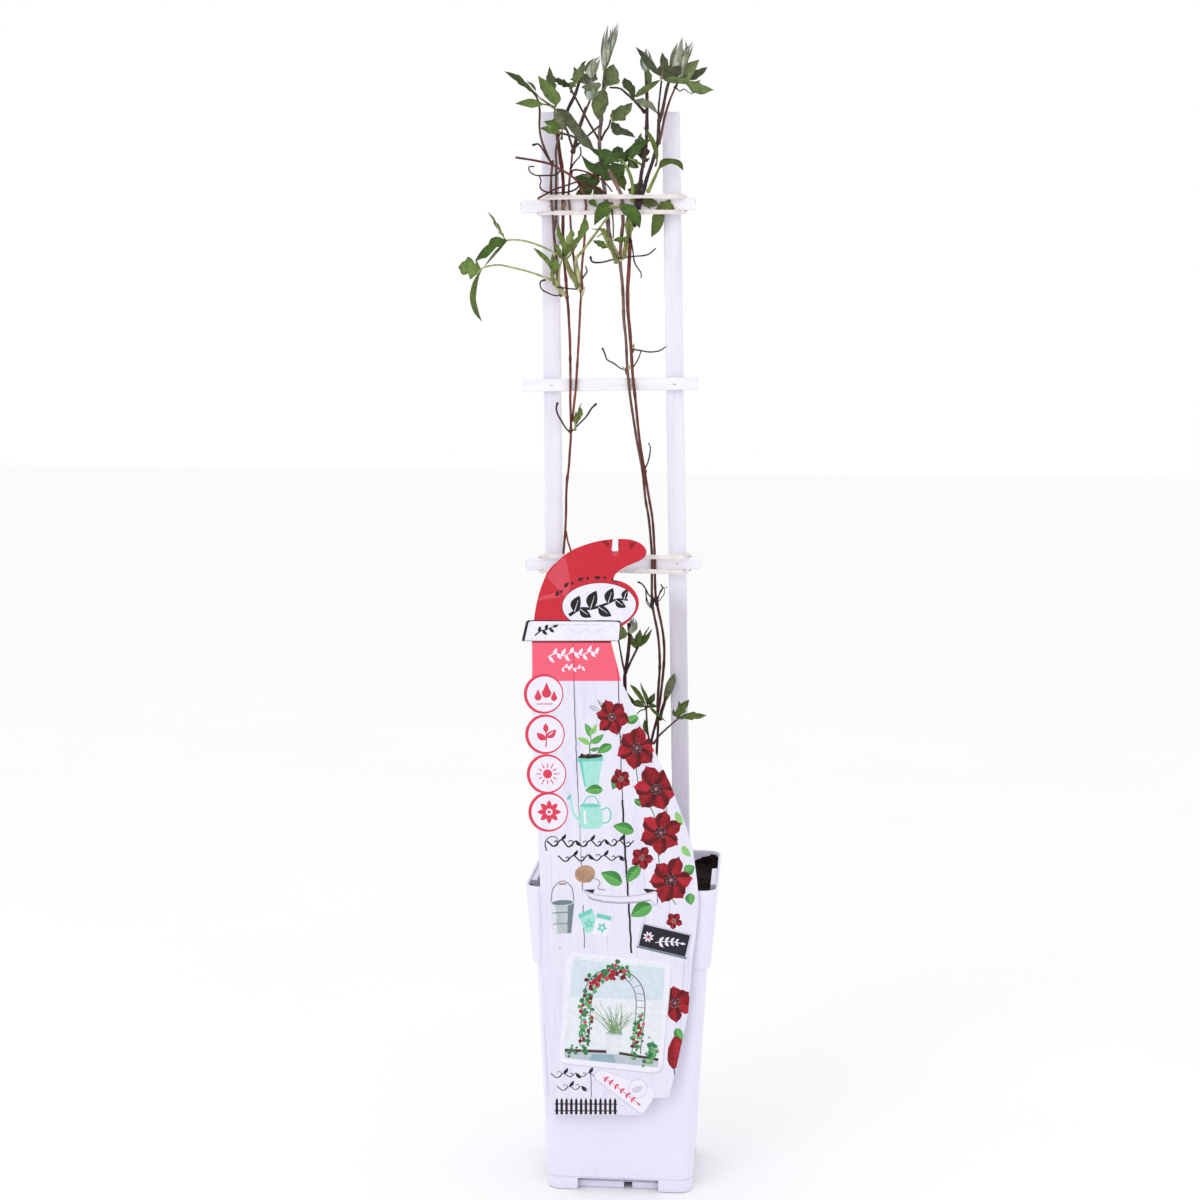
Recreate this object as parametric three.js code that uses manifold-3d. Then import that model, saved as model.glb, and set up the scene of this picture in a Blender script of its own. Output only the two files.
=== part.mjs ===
// Clematis climbing a small wooden ladder trellis in a square white nursery pot.
// Millimetres, +Z up, origin at the centre of the pot's foot on the ground,
// +Y towards the back of the plant, +X to the right.
import * as THREE from 'three';
import { mergeVertices } from 'three/addons/utils/BufferGeometryUtils.js';
import Module from 'manifold-3d';

const wasm = await Module();
wasm.setup();

// ---------------------------------------------------------------- dimensions
const GAP = 0.3;             // clearance left between neighbouring pieces
const RIM_Z = 214.27;        // top of the pot
const RIM_HALF = 65.0;       // half width of the pot's rim
const COLLAR_Z = 159.28;     // lower edge of the collar
const COLLAR_HALF = 60.54;
const BODY_TOP_HALF = 57.73;
const BODY_LOW_HALF = 50.21;
const FOOT_Z = 9.0;          // height of the foot skirt
const WALL = 1.8;
const SOIL_Z = 200.0;
const LEG_W = 12.0, LEG_T = 5.0, LEG_Y = 10.8;
const LEG_BOTTOM = 158.0;
const LEG_L = { x0: -49.0, x1: -59.1, top: 735.5 };
const LEG_R = { x0: 39.3, x1: 24.0, top: 735.5 };
const RUNG_H = 8.7, RUNG_T = 4.0, RUNG_Y = 6.0;
const RUNGS = {
  rung_top: [[-77.9, 671.3], [41.5, 673.6]],
  rung_middle: [[-76.2, 549.5], [45.5, 552.0]],
  rung_lower: [[-72.7, 426.0], [48.6, 428.5]],
};
const BAND_Y = -0.35;        // rubber bands run in front of the stems
const LABEL_T = 0.8;
const LABEL_TOP_Z = 441.0;

// Stems: each branch is [radius, [points along its centre line]].
// Foliage: stalks as branches; each leaf is [one edge, other edge, fold depth,
// thickness], both edges running from the leaf's base to its tip.
const STEMS = {
  stem_left_main: [
    [0.82,[[-21.0,-1.0,192.0],[-23.6,-0.7,240.3],[-30.0,0.1,288.6],[-37.5,1.1,336.9],[-43.8,1.9,385.3],[-46.5,2.2,433.6],[-44.4,2.2,484.8],[-42.0,2.2,513.8],[-43.1,2.2,580.8],[-44.4,2.2,602.6],[-47.9,2.2,640.5],[-48.5,2.2,652.0],[-48.5,2.5,684.4],[-50.7,3.9,703.3],[-54.4,1.0,729.8]]],
    [0.65,[[-44.9,2.2,449.6],[-43.4,2.0,441.9],[-41.2,1.9,435.1],[-38.3,1.4,386.4],[-31.3,0.2,337.8],[-22.9,-1.3,289.2],[-15.9,-2.5,240.6],[-13.0,-3.0,192.0]]],
    [0.55,[[-51.0,-2.0,537.7],[-51.9,-1.3,534.3],[-51.3,-0.7,530.9],[-46.0,1.2,521.3],[-41.9,2.2,516.5]]],
    [0.52,[[-24.4,-3.0,537.3],[-27.9,-2.1,533.8],[-32.1,-0.5,527.6],[-41.9,1.8,517.9]]],
    [1.44,[[-48.4,2.2,666.2],[-48.6,2.2,670.2],[-47.6,2.2,673.6]]]
  ],
  stem_left_outer: [
    [1.31,[[-49.5,2.0,610.7],[-51.6,2.0,620.9],[-56.5,2.2,673.6],[-56.9,2.0,683.6],[-55.6,0.5,701.6]]],
    [0.65,[[-55.6,0.5,698.9],[-57.5,-0.2,701.5],[-61.7,-2.9,711.2],[-63.3,-4.4,716.4],[-64.1,-6.4,722.8],[-63.8,-10.4,735.6],[-65.3,-12.4,741.9],[-69.2,-14.0,747.0]]],
    [0.69,[[-53.1,2.0,660.8],[-53.4,1.5,680.9],[-53.1,-1.0,698.8],[-53.1,-3.2,708.5],[-51.8,-4.0,715.1],[-50.0,-4.5,719.4],[-41.5,-4.2,717.4],[-36.8,-3.9,714.5]]],
    [0.65,[[-53.1,2.0,664.1],[-53.6,2.1,658.0],[-54.8,2.1,653.3]]],
    [0.45,[[-68.9,-3.0,711.9],[-65.5,-3.0,712.6],[-63.4,-2.7,710.6],[-55.8,0.3,698.9]]],
    [0.45,[[-60.1,-3.0,621.2],[-62.5,-2.7,620.5],[-63.6,-1.8,618.6],[-62.4,-0.1,614.9],[-59.0,0.8,613.0],[-53.6,1.6,611.0],[-49.5,1.5,611.4]]]
  ],
  stem_left_inner: [
    [0.86,[[-41.3,4.3,525.4],[-38.9,2.2,546.7],[-36.7,2.2,589.7],[-36.1,2.2,614.9],[-39.5,2.2,623.0],[-44.8,2.2,677.6],[-44.5,2.9,687.1],[-42.2,2.0,710.5]]],
    [1.03,[[-42.2,2.0,707.8],[-38.6,0.6,721.0],[-33.1,-1.0,736.8]]],
    [0.65,[[-33.1,-1.0,736.1],[-31.4,-1.9,739.3],[-29.6,-3.0,743.2]]],
    [0.65,[[-42.0,2.0,709.8],[-45.0,-3.5,719.8],[-48.4,-8.0,727.9]]],
    [0.65,[[-40.0,2.0,711.8],[-28.8,-2.5,720.6],[-21.9,-5.0,725.6]]],
    [0.41,[[-43.3,2.0,697.1],[-41.2,0.6,700.3],[-36.9,-1.4,704.7],[-36.2,-2.6,707.3],[-36.8,-4.0,710.5]]],
    [0.45,[[-36.1,1.6,615.5],[-41.3,1.6,615.5],[-52.0,-0.8,616.6]]]
  ],
  stem_left_crossing: [
    [0.69,[[-35.2,2.4,618.2],[-35.6,2.4,625.0],[-34.0,2.3,644.6],[-32.9,2.2,672.3],[-34.1,2.0,679.0],[-36.2,0.6,683.5],[-38.7,-3.0,687.9],[-43.3,-5.4,691.6],[-50.0,-6.3,695.5],[-56.8,-7.0,698.8],[-67.0,-7.5,701.0],[-79.8,-7.9,703.0]]],
    [0.58,[[-42.7,-4.6,691.4],[-41.3,-5.2,694.8],[-34.5,-5.1,694.3],[-30.4,-4.8,693.0],[-21.7,-3.3,688.5],[-17.7,-1.5,684.7],[-15.1,0.9,681.2]]],
    [0.58,[[-64.7,-5.0,676.2],[-54.9,-4.2,681.7],[-38.7,-3.0,687.2],[-33.3,-2.1,686.3],[-19.2,1.2,680.3]]],
    [0.45,[[-36.8,-1.4,685.7],[-39.4,-2.5,682.5],[-44.7,-3.9,680.4],[-53.4,-5.4,679.6],[-59.4,-7.1,680.2],[-62.7,-8.0,682.0],[-63.3,-8.5,684.6],[-62.7,-8.0,687.3],[-64.0,-9.0,691.2]]],
    [0.41,[[-49.4,-5.4,694.9],[-52.7,-6.5,691.8],[-59.9,-9.0,690.9],[-66.5,-10.9,691.0],[-70.2,-11.9,693.6],[-70.5,-12.0,696.2],[-67.2,-11.1,696.6]]],
    [0.45,[[-35.2,2.4,622.3],[-31.6,0.4,627.3],[-32.6,-1.0,630.9]]]
  ],
  stem_dark_top: [
    [0.86,[[-46.1,-3.0,725.2],[-45.5,-3.0,734.5],[-40.5,-3.7,745.1],[-35.1,-5.0,762.8]]]
  ],
  stem_right_main: [
    [0.79,[[9.0,2.0,192.0],[10.1,2.1,212.1],[18.5,3.1,272.4],[20.4,3.2,311.6],[19.9,3.2,328.4],[21.1,2.6,355.2],[20.7,2.2,367.8],[19.3,2.2,380.3],[15.3,2.2,402.6],[14.8,2.2,433.8],[12.1,3.4,459.9],[9.9,3.3,471.7],[6.9,3.2,495.7],[1.3,3.1,525.9],[-3.0,2.2,557.3],[-6.1,2.2,594.7],[-7.5,2.2,619.7],[-9.0,2.2,633.2],[-9.1,2.2,640.7],[-7.5,2.2,660.9],[-8.7,2.2,678.4],[-12.3,0.0,686.2],[-17.1,-1.5,695.4]]],
    [0.45,[[-20.1,-5.8,575.0],[-17.2,-1.8,567.6],[-7.8,1.4,561.7],[-3.5,2.0,560.7]]],
    [0.45,[[5.8,-3.6,415.4],[8.5,-2.9,414.0],[12.9,0.8,406.5],[15.3,2.0,404.0]]],
    [0.41,[[11.2,-0.9,410.1],[11.4,0.4,404.8],[12.9,1.5,400.5],[15.3,2.2,397.3]]]
  ],
  stem_right_second: [
    [0.79,[[3.0,-6.0,192.0],[4.3,-5.5,213.8],[14.6,-2.0,279.2],[15.9,-1.5,301.0],[21.7,-0.8,331.9],[24.1,1.3,359.6],[24.2,1.5,369.4],[23.2,1.7,379.1],[17.7,2.2,406.1],[16.8,2.2,432.4],[14.8,0.6,460.1],[6.4,0.5,507.5],[4.5,0.4,521.1],[0.5,2.2,555.3],[-3.4,2.2,601.5],[-3.8,2.2,615.0],[-2.8,2.2,640.7],[-2.9,2.2,650.1]]],
    [0.45,[[-1.9,2.2,648.8],[0.8,-0.2,633.8],[5.4,-1.4,626.3],[5.5,-2.0,622.9]]],
    [0.41,[[-0.1,2.0,562.1],[2.5,0.5,565.5],[6.1,-3.0,573.6]]],
    [0.45,[[-1.1,2.0,575.0],[12.2,-1.8,573.0],[19.1,-3.8,574.0],[23.2,-5.0,576.7]]],
    [0.45,[[8.9,0.6,493.1],[11.1,-0.1,496.6],[12.9,-1.6,504.2],[13.1,-2.5,508.3],[11.9,-3.0,511.0]]],
    [0.45,[[18.8,2.2,401.2],[20.5,0.3,407.0],[22.6,-1.1,411.3],[21.6,-1.9,413.8]]],
    [1.17,[[-3.0,2.2,647.4],[-2.9,2.2,651.5]]]
  ],
  stem_centre: [
    [1.03,[[-10.8,0.1,635.8],[-16.6,1.7,651.4],[-17.6,2.2,658.8],[-18.1,2.2,667.6],[-20.1,3.6,681.2],[-21.6,8.0,689.0],[-23.2,10.8,699.4],[-24.5,11.3,710.2],[-24.8,11.5,718.3],[-21.0,6.0,761.8]]],
    [0.45,[[-29.1,-2.9,636.9],[-28.0,-2.8,633.9],[-22.6,-1.9,633.3],[-10.8,0.1,636.1],[-0.3,-0.2,637.5],[10.0,-1.7,638.8],[15.2,-3.0,642.8]]],
    [0.65,[[-23.7,11.4,717.3],[-18.6,9.9,725.5],[-17.2,9.0,730.1]]],
    [0.65,[[-25.1,11.4,717.3],[-32.5,8.9,729.4],[-44.0,4.5,750.2]]]
  ],
  stem_right_tall: [
    [0.93,[[-2.3,1.9,654.8],[3.4,2.4,682.4],[4.7,3.3,693.9],[6.6,4.1,704.0],[7.8,5.0,716.2],[7.9,6.0,731.0],[7.0,4.0,762.7]]]
  ],
  stem_right_outer: [
    [0.96,[[0.4,2.2,658.2],[6.0,2.2,680.4],[15.2,-0.0,711.6],[16.5,-2.0,729.3]]],
    [0.89,[[16.5,-2.0,728.0],[18.8,-2.6,735.2],[22.7,-4.0,752.9]]],
    [0.62,[[16.5,-2.0,727.3],[16.1,-3.8,735.0],[18.2,-8.0,753.6]]]
  ]
};
const FOLIAGE = {
  shoot_lower: { stalks: [[0.82,[[-3.0,-4.0,192.0],[-2.4,-4.0,340.2],[-2.6,-4.6,350.1],[-0.2,-5.8,368.4],[0.5,-6.6,381.0],[-0.1,-7.0,386.6]]], [0.58,[[-2.5,-4.8,351.5],[-4.7,-9.1,363.8],[-7.0,-14.0,377.5]]], [0.58,[[-2.1,-4.8,352.2],[5.1,-0.6,367.9],[6.0,0.0,369.9]]], [0.55,[[6.2,0.2,371.3],[6.7,0.6,374.7]]], [0.33,[[6.4,0.4,370.6],[9.4,1.5,376.1],[13.4,3.0,383.6]]]],
    leaves: [
      [[[-6.8,-13.6,375.4],[-7.0,-13.8,380.3],[-4.0,-14.0,386.2]],[[-6.8,-13.6,375.4],[-0.8,-13.8,379.7],[-4.0,-14.0,386.2]],0.4,0.8],
      [[[0.3,-6.6,379.6],[-0.1,-7.1,383.8],[0.8,-7.9,389.4],[3.8,-8.5,392.3]],[[0.3,-6.6,379.6],[5.0,-7.1,381.8],[5.6,-7.9,388.1],[3.8,-8.5,392.3]],0.6,1.6],
      [[[6.0,0.5,369.1],[3.5,1.0,374.6],[7.4,2.0,382.6]],[[6.0,0.5,369.1],[8.0,1.2,376.1],[7.4,2.0,382.6]],0.6,0.8],
      [[[5.7,0.4,367.8],[1.6,-0.9,371.3],[0.4,-2.0,375.2]],[[5.7,0.4,367.8],[3.6,-1.1,374.5],[0.4,-2.0,375.2]],0.5,0.8]
    ] },
  leaf_upper_left: { stalks: [[0.65,[[-48.6,-9.5,729.4],[-51.2,-10.7,732.5],[-54.5,-12.0,736.0]]], [0.65,[[-54.5,-12.0,736.0],[-57.8,-13.2,738.2],[-63.0,-15.0,741.5]]], [0.62,[[-54.5,-12.0,736.0],[-52.5,-12.0,736.7],[-52.5,-12.0,739.3]]], [0.55,[[-56.5,-12.5,737.3],[-62.3,-15.0,737.6]]]],
    leaves: [
      [[[-61.1,-14.0,740.0],[-69.3,-19.9,748.4],[-76.0,-25.7,754.8],[-85.3,-32.0,756.8]],[[-61.1,-14.0,740.0],[-68.1,-18.1,744.7],[-76.8,-24.4,750.1],[-85.3,-32.0,756.8]],0.8,0.8],
      [[[-59.7,-14.0,737.4],[-66.8,-17.3,740.6],[-71.9,-19.9,740.0],[-78.8,-24.0,736.7]],[[-59.7,-14.0,737.4],[-67.4,-17.5,734.8],[-74.4,-21.3,735.8],[-78.8,-24.0,736.7]],0.8,0.8],
      [[[-52.5,-12.0,736.7],[-58.5,-12.5,741.2],[-62.9,-13.2,748.4],[-64.6,-14.0,756.5]],[[-52.5,-12.0,736.7],[-49.1,-12.3,741.2],[-55.2,-13.1,750.4],[-64.6,-14.0,756.5]],0.8,0.8],
      [[[-53.9,-12.0,743.3],[-59.5,-10.1,751.5],[-57.7,-7.0,763.8]],[[-53.9,-12.0,743.3],[-52.8,-10.2,752.1],[-57.7,-7.0,763.8]],0.5,0.8]
    ] },
  leaf_upper_arch: { stalks: [[0.55,[[-43.8,3.2,748.1],[-43.4,2.5,751.0],[-45.1,2.0,752.2]]]],
    leaves: [
      [[[-43.4,2.4,751.3],[-46.9,-0.6,754.8],[-52.0,-4.5,756.2],[-56.4,-8.0,755.1]],[[-43.4,2.4,751.3],[-48.3,-0.5,750.9],[-53.3,-4.9,753.2],[-56.4,-8.0,755.1]],0.5,0.8]
    ] },
  leaf_top_left: { stalks: [[0.69,[[-35.0,-5.4,761.4],[-38.5,-6.8,755.2],[-38.8,-7.4,751.8]]]],
    leaves: [
      [[[-38.2,-7.0,753.2],[-43.6,-7.5,755.1],[-40.2,-8.2,761.0],[-34.1,-9.0,765.4]],[[-38.2,-7.0,753.2],[-35.5,-7.3,755.1],[-32.1,-8.3,760.9],[-34.1,-9.0,765.4]],0.8,0.8],
      [[[-38.6,-7.0,754.2],[-43.5,-8.3,753.0],[-44.0,-10.0,747.5]],[[-38.6,-7.0,754.2],[-40.1,-8.4,749.7],[-44.0,-10.0,747.5]],0.4,0.8]
    ] },
  bud_upper_left: { stalks: [[0.69,[[-28.9,-4.6,744.6],[-28.2,-4.8,747.6],[-28.9,-5.0,752.2]]]],
    leaves: [
      [[[-29.6,-5.0,755.5],[-34.0,-5.5,760.0],[-31.6,-6.1,766.9],[-22.8,-7.0,770.7]],[[-29.6,-5.0,755.5],[-27.6,-5.2,757.4],[-24.5,-6.2,764.5],[-22.8,-7.0,770.7]],1.2,1.4],
      [[[-30.2,-5.0,750.8],[-38.1,-4.3,754.6],[-35.8,-4.0,758.3],[-26.1,-3.0,759.4]],[[-30.2,-5.0,750.8],[-28.6,-4.7,752.2],[-26.0,-3.8,755.6],[-26.1,-3.0,759.4]],0.8,0.8],
      [[[-30.8,-5.2,740.9],[-33.9,-5.6,746.1],[-32.5,-6.0,751.4],[-28.8,-6.5,756.6]],[[-30.8,-5.2,740.9],[-25.1,-5.6,744.8],[-26.4,-6.1,751.3],[-28.8,-6.5,756.6]],1.2,1.6],
      [[[-26.1,-5.5,746.8],[-22.3,-6.9,751.9],[-31.2,-9.4,752.0],[-35.8,-11.0,749.3]],[[-26.1,-5.5,746.8],[-28.7,-6.6,747.0],[-32.6,-8.8,747.6],[-35.8,-11.0,749.3]],0.6,0.8]
    ] },
  leaf_folded_long: { stalks: [[0.62,[[-52.5,-14.5,733.4],[-51.5,-14.3,731.1],[-48.2,-14.0,728.5]]]],
    leaves: [
      [[[-52.3,-14.0,735.1],[-44.9,-13.4,733.5],[-36.2,-12.0,723.1],[-29.4,-10.8,714.6],[-26.7,-10.0,708.4]],[[-52.3,-14.0,735.1],[-50.2,-13.6,730.8],[-42.2,-12.3,720.1],[-33.5,-10.8,710.0],[-26.7,-10.0,708.4]],1.6,0.8],
      [[[-45.6,-16.0,719.6],[-46.0,-15.7,726.9],[-49.4,-15.3,732.2],[-53.5,-15.0,734.3]],[[-45.6,-16.0,719.6],[-51.4,-15.6,724.3],[-53.8,-15.3,729.6],[-53.5,-15.0,734.3]],0.6,0.8]
    ] },
  leaf_left_low: { stalks: [[0.55,[[-49.0,-7.6,715.4],[-48.6,-8.3,718.9],[-48.6,-9.0,722.8]]]],
    leaves: [
      [[[-47.9,-9.0,722.8],[-49.0,-11.9,727.7],[-54.1,-15.4,727.3],[-60.0,-20.0,725.4]],[[-47.9,-9.0,722.8],[-51.1,-11.3,720.5],[-56.7,-16.2,722.9],[-60.0,-20.0,725.4]],0.8,0.8],
      [[[-48.6,-9.0,719.5],[-52.4,-11.5,721.8],[-58.8,-15.8,723.0],[-62.8,-19.0,721.0]],[[-48.6,-9.0,719.5],[-55.6,-13.1,718.0],[-59.4,-16.1,719.6],[-62.8,-19.0,721.0]],0.8,0.8]
    ] },
  bud_top_centre: { stalks: [[1.03,[[-21.0,5.8,763.4],[-21.2,5.7,766.4],[-21.1,5.5,773.0]]], [0.48,[[-20.8,5.4,763.5],[-16.0,3.4,776.0],[-15.5,2.8,779.8]]]],
    leaves: [
      [[[-21.6,5.4,761.7],[-23.8,5.7,769.7],[-23.8,6.2,779.8],[-22.6,6.6,787.8],[-19.1,7.0,794.8]],[[-21.6,5.4,761.7],[-18.7,5.7,768.4],[-17.1,6.2,779.1],[-16.9,6.7,789.1],[-19.1,7.0,794.8]],1.6,1.8],
      [[[-15.8,3.2,774.6],[-17.0,3.0,779.9],[-15.4,2.5,788.4],[-11.9,2.0,795.6]],[[-15.8,3.2,774.6],[-13.6,2.9,781.2],[-12.2,2.5,788.4],[-11.9,2.0,795.6]],0.6,1.0],
      [[[-18.9,5.2,765.6],[-20.1,6.4,775.1],[-18.7,8.0,786.0],[-15.4,9.5,794.6]],[[-18.9,5.2,765.6],[-16.1,6.6,776.5],[-14.9,8.1,786.0],[-15.4,9.5,794.6]],0.8,1.2]
    ] },
  leaf_centre_hanging: { stalks: [[0.72,[[-20.1,4.4,754.9],[-20.2,3.5,751.7],[-22.9,1.4,745.1]]]],
    leaves: [
      [[[-21.3,2.0,750.2],[-27.9,-0.1,745.6],[-28.8,-3.1,735.9],[-24.5,-6.0,728.1]],[[-21.3,2.0,750.2],[-18.2,0.4,745.0],[-19.4,-2.8,735.2],[-24.5,-6.0,728.1]],0.8,0.8],
      [[[-20.1,3.5,751.7],[-20.3,1.2,758.4],[-19.1,-0.9,763.4],[-14.6,-3.0,765.7]],[[-20.1,3.5,751.7],[-11.4,1.3,753.7],[-11.0,-0.5,759.4],[-14.6,-3.0,765.7]],0.8,0.8]
    ] },
  leaf_centre_pair: { stalks: [[0.62,[[-16.6,8.4,732.0],[-16.1,7.9,734.0],[-12.0,7.0,735.2]]], [0.62,[[-16.4,8.2,732.3],[-15.4,7.7,729.3],[-13.2,7.0,724.5]]]],
    leaves: [
      [[[-16.8,8.0,731.0],[-15.7,6.3,735.8],[-12.5,4.8,737.9],[-6.9,2.4,739.5],[-1.7,0.0,740.5]],[[-16.8,8.0,731.0],[-11.9,6.5,728.6],[-7.0,4.7,730.5],[-2.8,2.1,735.8],[-1.7,0.0,740.5]],0.8,0.8],
      [[[-16.7,8.0,728.6],[-11.8,5.7,727.0],[-6.8,2.3,723.2],[-2.5,-0.5,721.2],[0.8,-4.0,716.4]],[[-16.7,8.0,728.6],[-16.1,5.2,721.6],[-12.2,3.1,719.4],[-4.5,-1.0,718.3],[0.8,-4.0,716.4]],0.8,0.8]
    ] },
  leaf_right_of_centre: { stalks: [[0.62,[[6.2,6.0,735.0],[3.8,5.1,737.6],[-1.6,3.0,743.3]]], [0.52,[[-1.6,3.0,743.3],[-10.6,4.9,750.6],[-17.5,6.0,751.4]]]],
    leaves: [
      [[[-1.2,3.0,743.3],[-4.9,1.3,747.7],[-9.2,-1.1,752.4],[-7.4,-3.0,756.7]],[[-1.2,3.0,743.3],[0.5,1.7,747.8],[-1.8,-0.6,753.7],[-7.4,-3.0,756.7]],0.8,0.8],
      [[[-1.6,3.0,744.0],[3.3,-0.2,749.8],[10.2,-4.0,753.2],[17.8,-8.0,754.6]],[[-1.6,3.0,744.0],[4.7,0.5,745.3],[12.3,-3.8,749.6],[17.8,-8.0,754.6]],0.8,0.8],
      [[[-0.9,3.0,743.0],[6.7,0.8,743.3],[12.3,-1.6,739.6],[16.2,-5.0,731.6]],[[-0.9,3.0,743.0],[4.0,0.8,738.3],[11.0,-2.2,735.6],[16.2,-5.0,731.6]],0.8,0.8]
    ] },
  bud_right_upper: { stalks: [[0.89,[[7.0,3.9,764.4],[6.9,3.5,767.9]]]],
    leaves: [
      [[[7.0,3.4,760.6],[3.6,3.8,765.3],[3.3,4.3,771.4],[7.1,5.0,778.1]],[[7.0,3.4,760.6],[10.7,3.8,764.6],[10.6,4.3,771.4],[7.1,5.0,778.1]],1.4,1.6],
      [[[7.7,3.4,765.3],[7.0,1.7,758.4],[10.1,-1.0,750.0]],[[7.7,3.4,765.3],[11.2,1.3,757.6],[10.1,-1.0,750.0]],0.3,0.8]
    ] },
  leaf_right_top: { stalks: [[0.62,[[18.2,-8.2,755.2],[18.5,-8.4,757.5],[19.1,-8.6,760.8]]]],
    leaves: [
      [[[18.8,-8.5,755.5],[9.8,-10.3,761.2],[4.5,-12.2,768.4],[0.8,-14.0,775.4]],[[18.8,-8.5,755.5],[16.1,-9.5,761.0],[7.1,-12.3,771.0],[0.8,-14.0,775.4]],0.8,0.8],
      [[[18.5,-8.3,754.9],[16.2,-7.0,761.0],[16.9,-5.4,767.8],[18.1,-4.0,773.3]],[[18.5,-8.3,754.9],[22.8,-7.2,759.6],[21.6,-5.5,767.8],[18.1,-4.0,773.3]],0.8,0.8],
      [[[18.8,-8.6,754.8],[19.8,-8.7,759.4],[24.5,-8.8,763.0],[31.2,-9.0,763.6]],[[18.8,-8.6,754.8],[25.2,-8.7,753.5],[30.6,-8.8,757.4],[31.2,-9.0,763.6]],0.8,0.8],
      [[[19.2,-8.8,754.1],[26.6,-10.7,756.5],[34.8,-13.2,754.1],[45.0,-16.6,750.6],[53.8,-20.0,745.9]],[[19.2,-8.8,754.1],[25.3,-10.3,751.6],[33.5,-12.6,750.9],[42.4,-16.1,743.5],[53.8,-20.0,745.9]],0.9,0.8]
    ] },
  bud_right_top: { stalks: [[0.65,[[26.9,1.2,750.3],[29.5,0.8,755.5],[30.8,0.5,760.8]]], [0.38,[[27.2,1.2,750.6],[30.3,0.0,748.1],[33.0,-0.9,749.3],[35.8,-1.9,747.2],[39.2,-3.0,745.7]]], [0.65,[[16.2,3.4,713.7],[20.0,2.4,730.5],[23.2,1.7,741.8],[26.9,1.2,750.3]]]],
    leaves: [
      [[[28.2,0.6,754.2],[23.3,1.4,766.2],[24.2,2.0,774.3],[27.5,2.5,780.3],[31.4,3.0,785.3]],[[28.2,0.6,754.2],[33.5,1.2,762.2],[35.4,1.8,771.6],[35.9,2.4,778.9],[31.4,3.0,785.3]],1.8,2.0],
      [[[31.5,0.2,760.7],[30.8,-0.7,768.5],[34.1,-1.9,776.2],[39.3,-3.0,781.6]],[[31.5,0.2,760.7],[35.5,-0.9,768.5],[38.5,-2.0,775.5],[39.3,-3.0,781.6]],0.8,1.2],
      [[[29.5,0.6,755.5],[30.7,2.5,763.1],[35.3,4.4,767.3],[43.0,7.0,770.0]],[[29.5,0.6,755.5],[36.2,2.2,755.7],[40.1,4.3,762.0],[43.0,7.0,770.0]],0.8,0.8],
      [[[30.9,0.8,755.9],[37.5,4.1,761.0],[43.4,7.3,764.1],[48.4,10.0,765.5]],[[30.9,0.8,755.9],[39.5,4.0,756.0],[46.1,7.8,761.2],[48.4,10.0,765.5]],0.8,0.8]
    ] },
  leaf_big_left: { stalks: [[0.76,[[-0.9,2.3,675.7],[-1.2,3.3,685.2],[-3.1,4.2,692.6],[-5.6,4.8,698.1],[-8.8,5.4,702.8]]], [0.69,[[-8.8,5.4,702.8],[-14.2,5.0,703.5]]]],
    leaves: [
      [[[-6.7,5.2,702.8],[-15.5,2.8,709.4],[-23.5,0.6,709.3],[-32.5,-2.0,711.0]],[[-6.7,5.2,702.8],[-19.5,2.5,699.5],[-26.2,0.2,705.9],[-32.5,-2.0,711.0]],0.9,0.8],
      [[[-7.4,5.3,702.2],[-16.1,6.6,706.3],[-15.3,7.3,710.4],[-12.1,8.0,712.5]],[[-7.4,5.3,702.2],[-5.5,5.9,705.6],[-7.6,6.9,710.1],[-12.1,8.0,712.5]],0.7,0.8],
      [[[-6.0,5.4,700.2],[-18.2,3.3,700.6],[-30.3,0.7,701.4],[-36.3,-1.0,705.8]],[[-6.0,5.4,700.2],[-9.3,4.2,690.3],[-22.1,2.5,690.4],[-31.9,0.7,696.3],[-36.3,-1.0,705.8]],1.2,0.8],
      [[[-8.8,5.6,699.5],[-14.3,6.8,693.6],[-11.6,8.2,687.0],[-6.8,9.5,682.4]],[[-8.8,5.6,699.5],[-6.7,6.8,693.6],[-6.1,8.3,687.0],[-6.8,9.5,682.4]],0.6,0.8]
    ] },
  leaf_big_right: { stalks: [[0.55,[[6.1,8.2,698.8],[1.4,7.1,701.7],[-4.1,5.9,704.2]]]],
    leaves: [
      [[[-5.4,5.9,702.9],[-3.4,4.3,711.8],[3.5,2.8,715.6],[11.7,1.0,716.4]],[[-5.4,5.9,702.9],[1.4,4.5,706.1],[6.2,2.8,711.6],[11.7,1.0,716.4]],0.9,0.8],
      [[[-0.6,4.2,712.1],[0.5,2.5,715.9],[4.9,-1.0,720.5]],[[-0.6,4.2,712.1],[4.2,1.6,715.8],[4.9,-1.0,720.5]],0.4,0.8],
      [[[-4.1,6.1,704.3],[-0.7,6.8,705.0],[2.6,9.0,697.9]],[[-4.1,6.1,704.3],[-4.8,7.3,698.4],[2.6,9.0,697.9]],0.5,0.8]
    ] },
  leaf_right_dark: { stalks: [[0.55,[[6.2,9.0,700.6],[5.3,9.5,703.3],[5.2,10.0,706.7]]]],
    leaves: [
      [[[5.0,9.6,702.6],[1.4,10.4,708.8],[2.7,11.2,714.3],[4.6,12.0,719.0]],[[5.0,9.6,702.6],[9.2,10.3,707.4],[7.5,11.1,713.6],[4.6,12.0,719.0]],0.8,0.8],
      [[[5.3,9.5,702.0],[7.4,8.8,704.2],[10.1,8.0,704.5]],[[5.3,9.5,702.0],[8.1,8.9,701.9],[10.1,8.0,704.5]],0.3,0.8]
    ] },
  leaf_right_narrow: { stalks: [[0.52,[[14.4,-1.2,698.1],[15.4,-1.9,702.0],[14.4,-3.0,708.6]]]],
    leaves: [
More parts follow.
